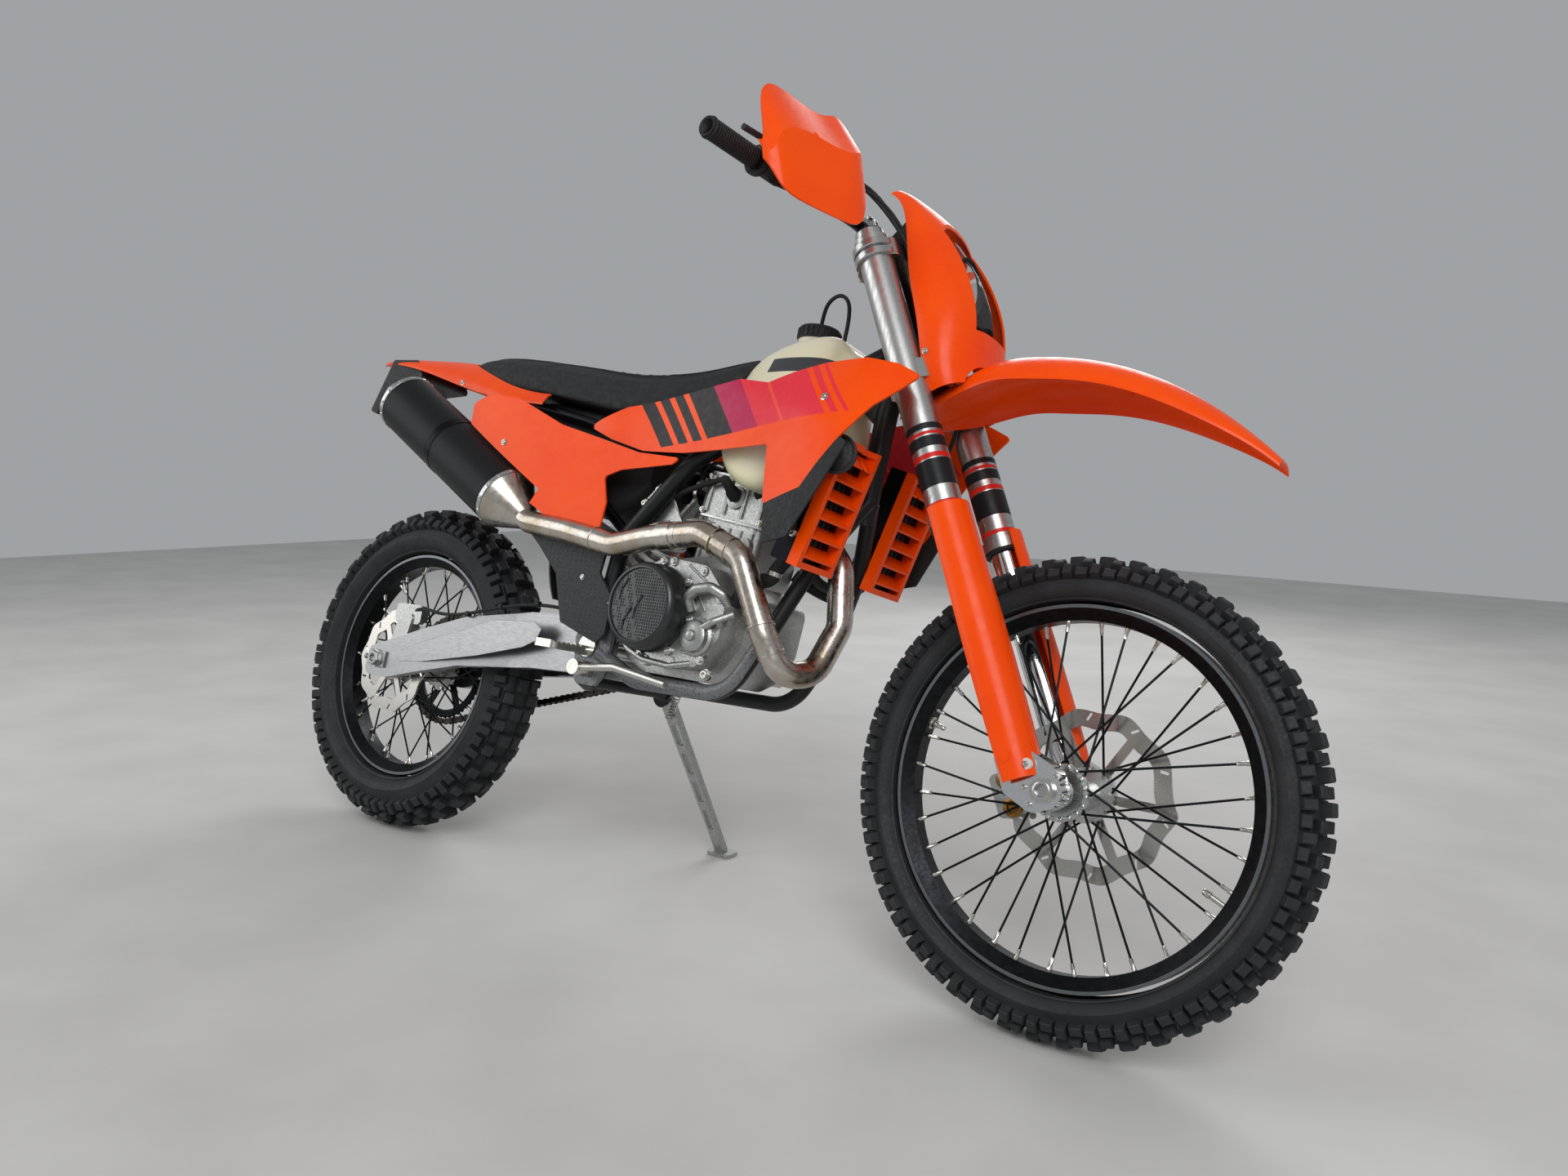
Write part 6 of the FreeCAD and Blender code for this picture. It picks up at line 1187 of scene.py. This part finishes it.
def link_plate(shape, a, b, y, thickness):
    """A figure-eight plate between two pins."""
    run = (b - a).normalized()
    across = Vector((-run.y, run.x))
    outline = []
    for centre, turn in ((b, 0), (a, math.pi)):
        for k in range(-2, 3):
            angle = turn + k * math.radians(38)
            outline.append(centre + (run * math.cos(angle) + across * math.sin(angle)) * 6.6)
        outline.append((a + b) / 2 + across * (4.6 if turn == 0 else -4.6))
    shape.extruded([place(p.x, y, p.y) for p in outline], left * thickness * MM)


INNER_GAP, OUTER_GAP = 5.2, 7.2
pins = chain_path(CHAIN_PITCH)
links = Shape()
for i, pin in enumerate(pins):
    after = pins[(i + 1) % len(pins)]
    gap = INNER_GAP if i % 2 else OUTER_GAP
    link_plate(links, pin, after, CHAIN_Y + gap - 0.2, 1.7)
    link_plate(links, pin, after, CHAIN_Y - gap - 1.5, 1.7)
    links.turned(place(pin.x, CHAIN_Y - 9.4, pin.y), left, mm((2.4, 0), (2.4, 18.8)), sides=6)
    links.turned(place(pin.x, CHAIN_Y - 4.6, pin.y), left, mm((4.9, 0), (4.9, 9.2)), sides=8)
links.piece("chain_links", dark_steel, slot_name="chain_steel", stands_for="drive_chain")

# %% [markdown]
# ## Swingarm
#
# The arm's flat side carries a brushed panel. On the left a plastic slider carries the chain over
# the arm, and at the back a block with a bolt on either side sets how far the axle sits back.

# %% Panels, adjusters and slider
for side, tag in SIDES:
    way = left * side
    face = side * 113.4
    inlay = Shape()
    outline = [
        place(x, face, z) for x, z in ((66, 366), (70, 344), (140, 352), (301, 385), (420, 416),
            (452, 432), (462, 456), (440, 468), (328, 459), (230, 424), (130, 392))]
    inlay.extruded(outline, way * 1.6 * MM)
    inlay.piece(tag + "_arm_panel", arm_finish, slot_name="arm_alloy", bevel=0.7 * MM)
    block = Shape()
    block.extruded(
        [place(x, side * 113.6, z) for x, z in ((-26, 324), (26, 324), (26, 358), (-26, 358))],
        way * 5 * MM)
    block.turned(
        place(0, side * 118.4, 341), way, mm((20, 0), (20, 2.5), (16.5, 3), (16.5, 10), (14.5, 12),
            (9, 12), (8, 6), (0, 6)), sides=6)
    block.turned(
        place(-34, side * 107, 341), -forward, mm((6, -6), (6, 0), (4, 1), (4, 12), (6.5, 12),
            (6.5, 17)), sides=6)
    block.piece(tag + "_chain_adjuster", arm_finish, slot_name="axle_steel", bevel=0.8 * MM)

SLIDER = ((24, 404), (137, 437), (289, 474), (424, 500), (520, 494))
SLIDER_RIBS = ((60, 412), (110, 427), (160, 440), (210, 453), (260, 465), (310, 477), (360, 487),
               (410, 496))
slider = Shape()
bottom = [place(x, 64, z - 3) for x, z in SLIDER]
top = [place(x, 64, z + 7) for x, z in SLIDER]
slider.extruded(bottom + top[::-1], left * 28 * MM)
for x, z in SLIDER_RIBS:
    slider.extruded(
        spots(place, (x - 9, 59, z + 3), (x + 9, 59, z + 8), (x + 9, 59, z - 10),
            (x - 9, 59, z - 14)), left * 7 * MM)
slider.piece("chain_slider", black_plastic, bevel=1 * MM)

# %% Chain guide under the arm, rear brake line along it
Shape().extruded(
    [place(x, 66, z) for x, z in ((150, 372), (232, 380), (246, 352), (236, 300), (196, 286),
            (158, 296))], left * 24 * MM
).piece("chain_guide", black_plastic, bevel=3 * MM)
hose(
    "rear_brake_hose", spots(place, *((50, -84, 452), (84, -98, 462), (160, -104, 452),
            (240, -106, 462), (330, -106, 486), (430, -104, 502), (520, -102, 500),
            (590, -100, 470), (620, -104, 440))), 3.4, "chassis")
hose_guides = Shape()
for x, z in ((240, 462), (330, 486), (430, 502)):
    hose_guides.turned(
        place(x, -106, z), forward, mm((5.6, -5), (5.6, 5), (3.4, 5), (3.4, -5)), sides=12,
        closed=True)
hose_guides.piece("brake_hose_guides", black_plastic)

# %% [markdown]
# ## Front fork
#
# The fork's outer tubes are satin anodised, with a wiper at their lower end, plain black and red
# bands above it, and a cap with an adjuster at the top. Guards of plastic cover the chrome legs and
# are bolted to the axle lugs with white washers.

# %% Wipers, bands, caps
LEG_AHEAD = 22
bar_paint = gloss_plastic("painted_fork_band", "#D9261C", "#C92018")
label_black = gloss_plastic("black_fork_label", "#17181A", "#202124", 0.35)
white_washer = gloss_plastic("white_nylon_washer", "#E4E4E0", "#D6D6D0", 0.4)
wipers, bands, labels, caps, tips, collars_top = (Shape() for _ in range(6))
for side in (-100, 100):
    add_band(wipers, steer(LEG_AHEAD, side, 417), up_fork, 25, 31, 6, 1.4)
    add_band(wipers, steer(LEG_AHEAD, side, 437.5), up_fork, 28.7, 30.6, 2.4, 0.5)
    add_band(bands, steer(LEG_AHEAD, side, 449), up_fork, 28.6, 29.2, 7, 0.3)
    for low, tall in ((500, 44), (552, 18), (578, 10)):
        add_band(labels, steer(LEG_AHEAD, side, low), up_fork, 28.6, 28.95, tall, 0.2)
    for low, tall in ((528, 8), (566, 5)):
        add_band(bands, steer(LEG_AHEAD, side, low), up_fork, 28.6, 29.0, tall, 0.2)
    for level in (904, 922):
        add_band(collars_top, steer(LEG_AHEAD, side, level), up_fork, 28.7, 35.5, 13, 1.6)
    caps.turned(
        steer(LEG_AHEAD, side, 955), up_fork, mm((23, -2), (23, 4), (21, 6), (14, 6.4), (13, 12),
            (10, 13), (0, 13)), sides=24)
    tips.turned(
        steer(LEG_AHEAD, side, 967), up_fork, mm((6, 0), (6, 4), (4.4, 5), (0, 5)), sides=12)
collars_top.piece("upper_clamp_collars", machined, "steering", "hub_alloy")
wipers.piece("fork_wipers", soft_black, "steering", "black_plastic")
bands.piece("fork_red_bands", bar_paint, "steering", "fork_alloy")
labels.piece("fork_labels", label_black, "steering", "black_plastic")
caps.piece("fork_caps", black_metal, "steering", "fork_alloy", bevel=0.5 * MM)
tips.piece("fork_cap_adjusters", bar_paint, "steering", "fork_alloy")

# %% Bolts on clamps, lugs and guards
pinch = [met(nodes["triple_clamps"], steer(-120, side * 76, level), ahead_fork)
         for level in (671, 691, 903, 923) for side in (-1, 1)]
bolts("clamp_pinch_bolts", [p for p in pinch if p], -ahead_fork, 3.8, "steering")
Shape().turned(
    steer(0, 0, 930), up_fork, mm((19, -1), (19, 3), (15, 4), (15, 13), (12.5, 15), (8, 15),
        (7, 10), (0, 10)), sides=6
).piece("steering_stem_nut", plated, "steering", bevel=0.6 * MM)
outer_bolts = []
washers = Shape()
for side in (-1, 1):
    for ahead, along in ((-4, 40), (46, 40)):
        spot = met(nodes["fork_guards"], steer(ahead, side * 240, along), left * -side)
        if spot is None:
            continue
        washers.turned(spot, left * side, mm((8, -5), (8, 1), (7, 2), (0, 2)), sides=20)
        outer_bolts.append((spot + left * side * 2.5 * MM, side))
washers.piece("guard_washers", white_washer, "steering", "black_plastic")
for side, tag in SIDES:
    bolts(
        tag + "_guard_bolts", [s for s, way in outer_bolts if way == side], left * side, 3.6,
        "steering", washer=1.2)
    bolts(
        tag + "_lug_bolts", [steer(a, side * 117.5, u) for a, u in ((78, 14), (78, -14), (30, 12),
                (30, -12))], left * side, 3.2, "steering", washer=1.2)
axle_ends = Shape()
for side in (-1, 1):
    axle_ends.turned(
        steer(55, side * 117, 0), left * side, mm((17, 0), (17, 2), (14, 3), (14, 7), (12, 8.5),
            (9, 8.5), (8.5, 2), (0, 2)), sides=24)
axle_ends.piece("front_axle_ends", machined, "steering", "axle_steel")

# %% [markdown]
# The front caliper grips the disc on the left. Two golden-brown pistons show in its inner face, and
# the brake line runs up inside the guard, through three clips, to the lever.

# %% Caliper details and brake line
gold = metal("hard_anodised_piston", "#A8783A", "#86602C", 0.3, 500)
pistons = Shape()
for along in (12, 56):
    pistons.turned(
        steer(-58, 44, along), right, mm((15, -3), (15, 3), (13, 4), (9, 4), (8.5, 1), (0, 1)),
        sides=28)
pistons.piece("caliper_pistons", gold, "steering", "axle_steel")
bolts(
    "caliper_bolts", spots(steer, (-48, 89, 74), (-48, 89, -2), (-78, 88, 62), (-78, 88, 8)), left,
    4.2, "steering")
front_line = spots(
    steer, (-66, 72, 70), (-76, 84, 110), (-50, 104, 160), (-34, 132, 240), (-30, 136, 330),
    (-34, 132, 430), (-40, 120, 520), (-46, 96, 600), (30, 60, 650), (70, 10, 740), (78, -50, 860),
    (64, -90, 980), (30, -130, 1060), (-6, -190, 1086), (-28, -226, 1066))
hose("front_brake_hose", front_line, 3.4, "steering")
clips = Shape()
for along in (240, 330, 430):
    clips.turned(
        steer(-32, 134, along), up_fork, mm((6, -5), (6, 5), (3.5, 5), (3.5, -5)), sides=12,
        closed=True)
clips.piece("brake_hose_clips", black_plastic, "steering")

# %% [markdown]
# ## Headlight
#
# The lens is a clear skin in the mask's window. Behind it sits a black bowl with a chrome reflector
# in it and the bulb, and dark plates close the mask round the bowl. All of them stand on the fork's
# own axes.

# %% Lens, bowl, reflector and bulb
LIGHT = steer(128, 0, 836)
light_way = (ahead_fork * 0.93 - up_fork * 0.36).normalized()
clear = Shape()
LENS_ROWS = (
    (745, 150, 118), (775, 157, 126), (810, 158, 128), (850, 155, 124), (890, 148, 112),
    (925, 138, 96))
LENS_SHARES = (-1, -0.7, -0.35, 0, 0.35, 0.7, 1)
points = []
for along, nose, flank in LENS_ROWS:
    half_wide = 52 if along < 900 else 44
    points += [steer(nose - 6 - (nose - flank) * abs(s) ** 1.6, half_wide * s, along)
               for s in LENS_SHARES]
wide = len(LENS_SHARES)
faces = [(i, i + 1, i + wide + 1, i + wide)
         for row in range(len(LENS_ROWS) - 1) for i in range(row * wide, row * wide + wide - 1)]
clear.add(points, faces)
clear.piece("headlight_lens", lens, "steering", "lens", subdivide=2, stands_for="headlight")
Shape().turned(
    LIGHT - light_way * 46 * MM, light_way, mm((20, 0), (38, 12), (49, 40), (50, 46), (47, 46),
        (45, 42), (35, 16), (18, 4)), sides=48, closed=True
).piece("headlight_bowl", black_plastic, "steering", stands_for="headlight")
profile = [(r * MM, (6 + 0.0155 * r * r) * MM) for r in (0, 6, 12, 18, 24, 30, 36, 42)]
Shape().turned(
    LIGHT - light_way * 44 * MM, light_way, profile + mm((44.5, 35), (30, 8), (0, 2)), sides=48
).piece("headlight_reflector", chrome, "steering", "lens", stands_for="headlight")
Shape().turned(
    LIGHT - light_way * 36 * MM, light_way, mm((8, 0), (8, 12), (5.5, 14), (5.5, 24), (3, 28),
        (0, 29)), sides=20
).piece("headlight_bulb", plated, "steering", "lens", stands_for="headlight")
surround = Shape()
surround.extruded(
    spots(steer, (132, -48, 738), (132, 48, 738), (112, 50, 760), (112, -50, 760)),
    ahead_fork * 4 * MM)
surround.extruded(
    spots(steer, (104, -54, 742), (104, 54, 742), (100, 54, 880), (84, 46, 948), (84, -46, 948),
        (100, -54, 880)), ahead_fork * 3 * MM)
for side in (-1, 1):
    surround.extruded(
        spots(steer, (104, side * 54, 742), (126, side * 54, 742), (122, side * 54, 880),
            (100, side * 54, 880)), left * side * -3 * MM)
surround.piece("headlight_surround", black_plastic, "steering", bevel=2 * MM)

# %% Mask's bolts
for side, tag in SIDES:
    spot = met(nodes["headlight_mask"], steer(62, side * 260, 706), left * -side)
    bolts(tag + "_mask_bolt", [spot], left * side, 4, "steering")

# %% [markdown]
# ## Cockpit
#
# Grips have rings of small ribs, with a lock-on collar at their inner end. Levers are held by two
# bolts on each perch. The instrument has a dark screen in a raised frame.

# %% Grips, collars and bar ends
GRIP_RIBS = 19
GRIP_PITCH = 5.4
grips = Shape()
collars = Shape()
for side in (-1, 1):
    end = steer(-62, side * 405, 1052)
    bend = steer(-49.6, side * 237, 1052)
    inward = (bend - end).normalized()
    for i in range(GRIP_RIBS):
        add_band(grips, end + inward * (12 + i * GRIP_PITCH) * MM, inward, 15.6, 17.1, 2.8, 0.7)
    add_band(grips, end + inward * 4 * MM, inward, 14.5, 18.2, 6, 1.6)
    add_band(collars, end + inward * 108 * MM, inward, 15.8, 18.4, 8, 0.8)
    add_band(collars, end + inward * 124.5 * MM, inward, 12, 24.5, 3, 1)
    collars.turned(end - inward * 3 * MM, -inward, mm((12, -3), (12, 1), (10, 2), (0, 2)), sides=20)
grips.piece("grip_ribs", soft_black, "steering")
collars.piece("grip_collars", black_metal, "steering", "bar_black")

# %% Bar clamps, instrument screen, cables
clamp_bolts = [steer(a, s * 48 + o, 1018) for a in (-14, 14) for s in (-1, 1) for o in (-9, 9)]
bolts("bar_clamp_bolts", clamp_bolts, up_fork, 4.0, "steering")
Shape().extruded(
    spots(steer, (24, -48, 952), (24, 48, 952), (80, 48, 979), (80, -48, 979)), up_fork * 5 * MM
).piece("instrument_frame", black_plastic, "steering", bevel=2 * MM)
glass_finish = gloss_plastic("dark_display_glass", "#26302C", "#1F2724", 0.1)
Shape().extruded(
    spots(steer, (32, -38, 958.2), (32, 38, 958.2), (72, 38, 977.4), (72, -38, 977.4)),
    up_fork * 3 * MM
).piece("instrument_screen", glass_finish, "steering", "black_plastic", bevel=0.8 * MM)
hose(
    "clutch_line", spots(steer, (-30, 232, 1066), (0, 200, 1092), (40, 140, 1070), (66, 90, 1000),
        (66, 60, 900), (52, 46, 800), (44, 44, 700)), 3.2, "steering")
for name, points in (
        ("throttle_cable_one", ((-56, -262, 1040), (-40, -220, 1020), (10, -170, 1062),
                                (56, -110, 1030), (70, -70, 940), (58, -46, 820), (46, -40, 700))),
        ("throttle_cable_two", ((-56, -258, 1030), (-34, -214, 1006), (18, -160, 1044),
                                (62, -100, 1010), (76, -60, 920), (62, -38, 810), (48, -34, 700)))):
    hose(name, spots(steer, *points), 2.8, "steering")
hose(
    "start_switch_lead", spots(steer, (-56, -236, 1052), (-10, -190, 1074), (40, -100, 1052),
        (50, -30, 1000), (60, -6, 920), (84, 0, 856)), 2.2, "steering")
for side, tag in SIDES:
    bolts(
        tag + "_perch_bolts", [steer(-26, side * 233, u) for u in (1045, 1058)], ahead_fork, 3.4,
        "steering", washer=1.1)
reservoir_lids = Shape()
for side in (-1, 1):
    reservoir_lids.extruded(
        spots(steer, (-40, side * 216 - 15, 1079), (-40, side * 216 + 15, 1079),
            (-8, side * 216 + 15, 1079), (-8, side * 216 - 15, 1079)), up_fork * 4 * MM)
reservoir_lids.piece("reservoir_lids", black_metal, "steering", "bar_black", bevel=1 * MM)

# %% [markdown]
# ## Bodywork
#
# Small parts that sit on a curved panel need its surface. `touch()` sends a ray from outside the
# bike to its middle and gives the place where it meets a CAD node, with the way out of the surface
# there.

# %% Bolts on curved panels
def touch(source, x, z, side):
    """Where a ray from one side meets a piece, and the way out of it there."""
    spot, normal, _, _ = tree_of(source).ray_cast(place(x, side * 600, z), left * -side)
    if normal.dot(left * side) < 0:
        normal = -normal
    return spot, normal


def panel_bolts(name, source, places, radius):
    """Low bolts on both sides of a panel, at (x, z) places and square to its surface."""
    shape = Shape()
    r = radius * MM
    profile = [(r * 1.5, -r * 0.6), (r * 1.5, r * 0.2), (r, r * 0.36), (r * 0.96, r * 0.8),
               (r * 0.8, r * 0.95), (r * 0.5, r * 0.95), (r * 0.46, r * 0.4), (0, r * 0.4)]
    for x, z in places:
        for side in (-1, 1):
            shape.turned(*touch(source, x, z, side), profile, sides=16)
    shape.piece(name, plated)


for name, places, radius in (("side_panel", ((311, 800), (556, 644)), 4.6),
                             ("shroud", ((1062, 880),), 4.6),
                             ("rear_fender", ((60, 945),), 4.2),
                             ("frame_guard", ((560, 560), (640, 520)), 3.6)):
    source = nodes[name if name == "rear_fender" else name + "s"]
    panel_bolts(name + "_bolts", source, places, radius)

# %% [markdown]
# ## Seat
#
# The seat is foam under a stretched cover. Its shape starts from the CAD solid, a little smaller,
# and is remeshed at 6 mm. A cloth simulation with inner pressure swells it, with its base held, and
# no point may move more than 7 mm. Then the cover's seams are laid on the swollen surface.

# %% Foam and cover
SEAT_SHRINK = 4 * MM
SEAT_VOXEL = 6 * MM
SEAT_CAP = 7 * MM
SEAT_STEPS = 20
HELD_SLOPE = -0.25
CLOTH = {"quality": 5, "mass": 0.3, "tension_stiffness": 20, "compression_stiffness": 20,
         "bending_stiffness": 2, "use_pressure": True, "uniform_pressure_force": 4.0,
         "vertex_group_mass": "base"}


def use(obj, modifier):
    """Applies a modifier for good."""
    bpy.context.view_layer.objects.active = obj
    bpy.ops.object.modifier_apply(modifier=modifier)


source = nodes["seat"]
cushion = bpy.data.objects.new("seat_cushion", source.data.copy())
cushion.matrix_world = source.matrix_world.copy()
bpy.context.collection.objects.link(cushion)
cushion.data.materials.clear()
grown = bmesh.new()
grown.from_mesh(cushion.data)
bmesh.ops.remove_doubles(grown, verts=grown.verts, dist=0.05 * MM)
grown.to_mesh(cushion.data)
grown.free()
remesh = cushion.modifiers.new("even", "REMESH")
remesh.mode = "VOXEL"
remesh.voxel_size = SEAT_VOXEL
use(cushion, "even")
bpy.context.view_layer.update()
normals = [v.normal.copy() for v in cushion.data.vertices]
for vertex, normal in zip(cushion.data.vertices, normals):
    vertex.co -= normal * SEAT_SHRINK
start_places = [v.co.copy() for v in cushion.data.vertices]
held = cushion.vertex_groups.new(name="base")
held.add([i for i, n in enumerate(normals) if n.dot(up) < HELD_SLOPE], 1.0, "ADD")
cloth = cushion.modifiers.new("foam", "CLOTH")
cloth.settings.effector_weights.gravity = 0
for key, value in CLOTH.items():
    setattr(cloth.settings, key, value)
scene = bpy.context.scene
for step in range(1, SEAT_STEPS + 1):
    scene.frame_set(step)
swollen = cushion.evaluated_get(bpy.context.evaluated_depsgraph_get()).to_mesh()
moved = [v.co.copy() for v in swollen.vertices]
cushion.modifiers.remove(cloth)
scene.frame_set(1)
for vertex, was, now in zip(cushion.data.vertices, start_places, moved):
    shift = now - was
    if shift.length > SEAT_CAP:
        shift *= SEAT_CAP / shift.length
    vertex.co = was + shift
cushion.vertex_groups.clear()
soften = cushion.modifiers.new("soften", "SMOOTH")
soften.factor = 0.5
soften.iterations = 6
use(cushion, "soften")
rounder = cushion.modifiers.new("rounder", "SUBSURF")
rounder.levels = 1
rounder.render_levels = 1
use(cushion, "rounder")
cushion.data.shade_smooth()
cushion.data.materials.append(seat_cloth.material)
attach(cushion, "chassis")
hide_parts("seat")

# %% Seams on the swollen cover
SEAM_STATIONS = (
    (70, 31), (140, 41), (220, 45), (300, 47), (380, 43), (450, 40), (520, 36), (590, 33),
    (660, 29), (730, 22), (780, 16))


def on_top(x, y):
    """The cushion's surface above a place."""
    return met(cushion, place(x, y, 1200), -up)


seams = Shape()
for side in (-1, 1):
    line = [on_top(x, side * y) for x, y in SEAM_STATIONS]
    line = [p + up * 0.6 * MM for p in line if p is not None]
    smooth_line = []
    for a, b in zip(line[:-1], line[1:]):
        smooth_line += [a.lerp(b, t / 4) for t in range(4)]
    snapped = []
    for p in smooth_line + [line[-1]]:
        snapped.append((met(cushion, p + up * 60 * MM, -up) or p) + up * 0.5 * MM)
    seams.swept(snapped, 1.9 * MM, sides=8)
for x in range(150, 640, 35):
    half_seam = 40 if x < 500 else 30
    across = [on_top(x - abs(y) * 0.25, y) for y in range(-half_seam, half_seam + 1, 8)]
    across = [p + up * 0.2 * MM for p in across if p is not None]
    if len(across) > 3:
        seams.swept(across, 1.3 * MM, sides=6, up_hint=forward)
seams.piece("seat_seams", soft_black, slot_name="seat_cover")

# %% [markdown]
# ## Tank cap and breather
#
# The black cap has a knurled side. A breather hose leaves its middle, loops over and goes down
# ahead of the cap.

# %% Filler cap and vent hose
KNURLS = 24
CAP_RADIUS = 38.6
cap = Shape()
cap.turned(
    place(890, 0, 1042), up, mm((37.5, 0), (38.5, 3), (38.5, 20), (36, 24), (22, 26), (20, 24),
        (9, 24), (8, 33), (0, 33)), sides=48)
for i in range(KNURLS):
    angle = 2 * math.pi * i / KNURLS
    foot = place(890 + CAP_RADIUS * math.cos(angle), CAP_RADIUS * math.sin(angle), 1045)
    cap.swept([foot, foot + up * 17 * MM], 1.6 * MM, sides=6)
cap.piece("filler_cap", black_plastic)
hose(
    "tank_vent_hose", spots(place, *((890, 0, 1070), (890, 0, 1090), (900, -6, 1116),
            (930, -16, 1126), (958, -24, 1108), (968, -30, 1068), (966, -32, 1020),
            (972, -30, 975))), 3.6, "chassis")

# %% [markdown]
# ## Shock absorber
#
# The shock stands for the CAD's rod and sleeve: a damper, its coil spring, two spring seats, a
# locked ring and the eyes at both ends.

# %% Spring and damper
foot = place(500, 0, 512)
top = place(735, 0, 792)
along = (top - foot).normalized()
length = (top - foot).length
damper = Shape()
damper.turned(
    foot, along, [(9 * MM, 0), (9 * MM, length * 0.3), (23 * MM, length * 0.31),
        (23 * MM, length * 0.92), (14 * MM, length * 0.95), (14 * MM, length)], sides=32)
for share, radius in ((0.17, 40), (0.61, 40), (0.64, 33)):
    damper.turned(
        foot + along * length * share, along, mm((10, -5), (radius, -5), (radius, 3), (24, 6),
            (10, 6)), sides=36, closed=True)
for end in (foot, top):
    damper.turned(
        end - left * 15 * MM, left, mm((17, 0), (17, 30), (8, 30), (8, 0)), sides=28, closed=True)
damper.piece("shock_damper", satin_tube, slot_name="fork_alloy", stands_for="rear_shock")
spring = Shape()
add_coil(spring, foot + along * length * 0.19, foot + along * length * 0.59, 34, 5.6, 6.5)
spring_paint = gloss_plastic("white_spring_coating", "#DCDDDD", "#CFD0D0", 0.3)
spring.piece("shock_spring", spring_paint, slot_name="fork_alloy", stands_for="rear_shock")

# %% [markdown]
# ## Side stand's spring
#
# A long coil keeps the stand in its place, whether it is down or up.

# %% Stand spring
stand_spring = Shape()
add_coil(stand_spring, place(632, 124, 410), place(600, 132, 330), 5.4, 1.3, 14, 10)
stand_spring.piece("stand_spring", plated)

# %% [markdown]
# ## Floor, light and camera

# %% Floor
FLOOR_SIZE = 14.0
floor_mesh = bpy.data.meshes.new("floor")
half = FLOOR_SIZE / 2
floor_mesh.from_pydata(
    [(-half, -half, 0), (half, -half, 0), (half, half, 0), (-half, half, 0)], [], [(0, 1, 2, 3)])
floor = bpy.data.objects.new("floor", floor_mesh)
bpy.context.collection.objects.link(floor)
floor_finish = Finish("pale_floor", "#C9C8C5", 0.75)
floor_finish.feed("Base Color", floor_finish.mottle(3, 5, "#CFCECB", "#C6C5C2"))
floor.data.materials.append(floor_finish.material)

# %% Soft studio light
AIM = Vector((0.1, -0.1, 0.6))


def soft_light(name, spot, size, power):
    """A square lamp that looks at the bike."""
    data = bpy.data.lights.new(name, "AREA")
    data.shape = "SQUARE"
    data.size = size
    data.energy = power
    lamp = bpy.data.objects.new(name, data)
    lamp.location = spot
    lamp.rotation_euler = (AIM - Vector(spot)).to_track_quat("-Z", "Y").to_euler()
    bpy.context.collection.objects.link(lamp)


soft_light("key", (2.6, -3.4, 3.6), 2.6, 120)
soft_light("fill", (-3.4, -2.6, 2.2), 3.0, 50)
soft_light("rim", (-1.0, 3.6, 3.0), 2.4, 70)
world = bpy.data.worlds.new("studio")
bpy.context.scene.world = world
world.use_nodes = True
world.node_tree.nodes["Background"].inputs["Color"].default_value = linear("#DADDE0")
world.node_tree.nodes["Background"].inputs["Strength"].default_value = 0.5
bpy.context.scene.view_settings.view_transform = "Standard"

# %% [markdown]
# The camera stands where the photograph was taken: to the right and ahead of the bike, at about the
# height of the seat. Its place is measured from the rear axle, on the level ground.

# %% Camera
CAMERA_FROM_AXLE = Vector((2.0952, -1.5839, 0.4868))
CAMERA_YAW = math.radians(-35.63)
CAMERA_PITCH = math.radians(-6.75)
CAMERA_ROLL = math.radians(1.57)
FOCAL_PIXELS = 1437.2
IMAGE_WIDTH = 1920
SENSOR_WIDTH = 36.0

gaze = Vector(
    (math.cos(CAMERA_PITCH) * math.sin(CAMERA_YAW), math.cos(CAMERA_PITCH) * math.cos(CAMERA_YAW),
        math.sin(CAMERA_PITCH)))
level = Vector((math.cos(CAMERA_YAW), -math.sin(CAMERA_YAW), 0))
above = level.cross(gaze)
side_way = level * math.cos(CAMERA_ROLL) + above * math.sin(CAMERA_ROLL)
top_way = above * math.cos(CAMERA_ROLL) - level * math.sin(CAMERA_ROLL)
camera_data = bpy.data.cameras.new("camera")
camera_data.sensor_width = SENSOR_WIDTH
camera_data.lens = FOCAL_PIXELS * SENSOR_WIDTH / IMAGE_WIDTH
camera = bpy.data.objects.new("camera", camera_data)
turn = Matrix((side_way, top_way, -gaze)).transposed().to_4x4()
camera.matrix_world = Matrix.Translation(rear_axle + CAMERA_FROM_AXLE) @ turn
bpy.context.collection.objects.link(camera)
bpy.context.scene.camera = camera
print("lens", round(camera_data.lens, 2), "mm")
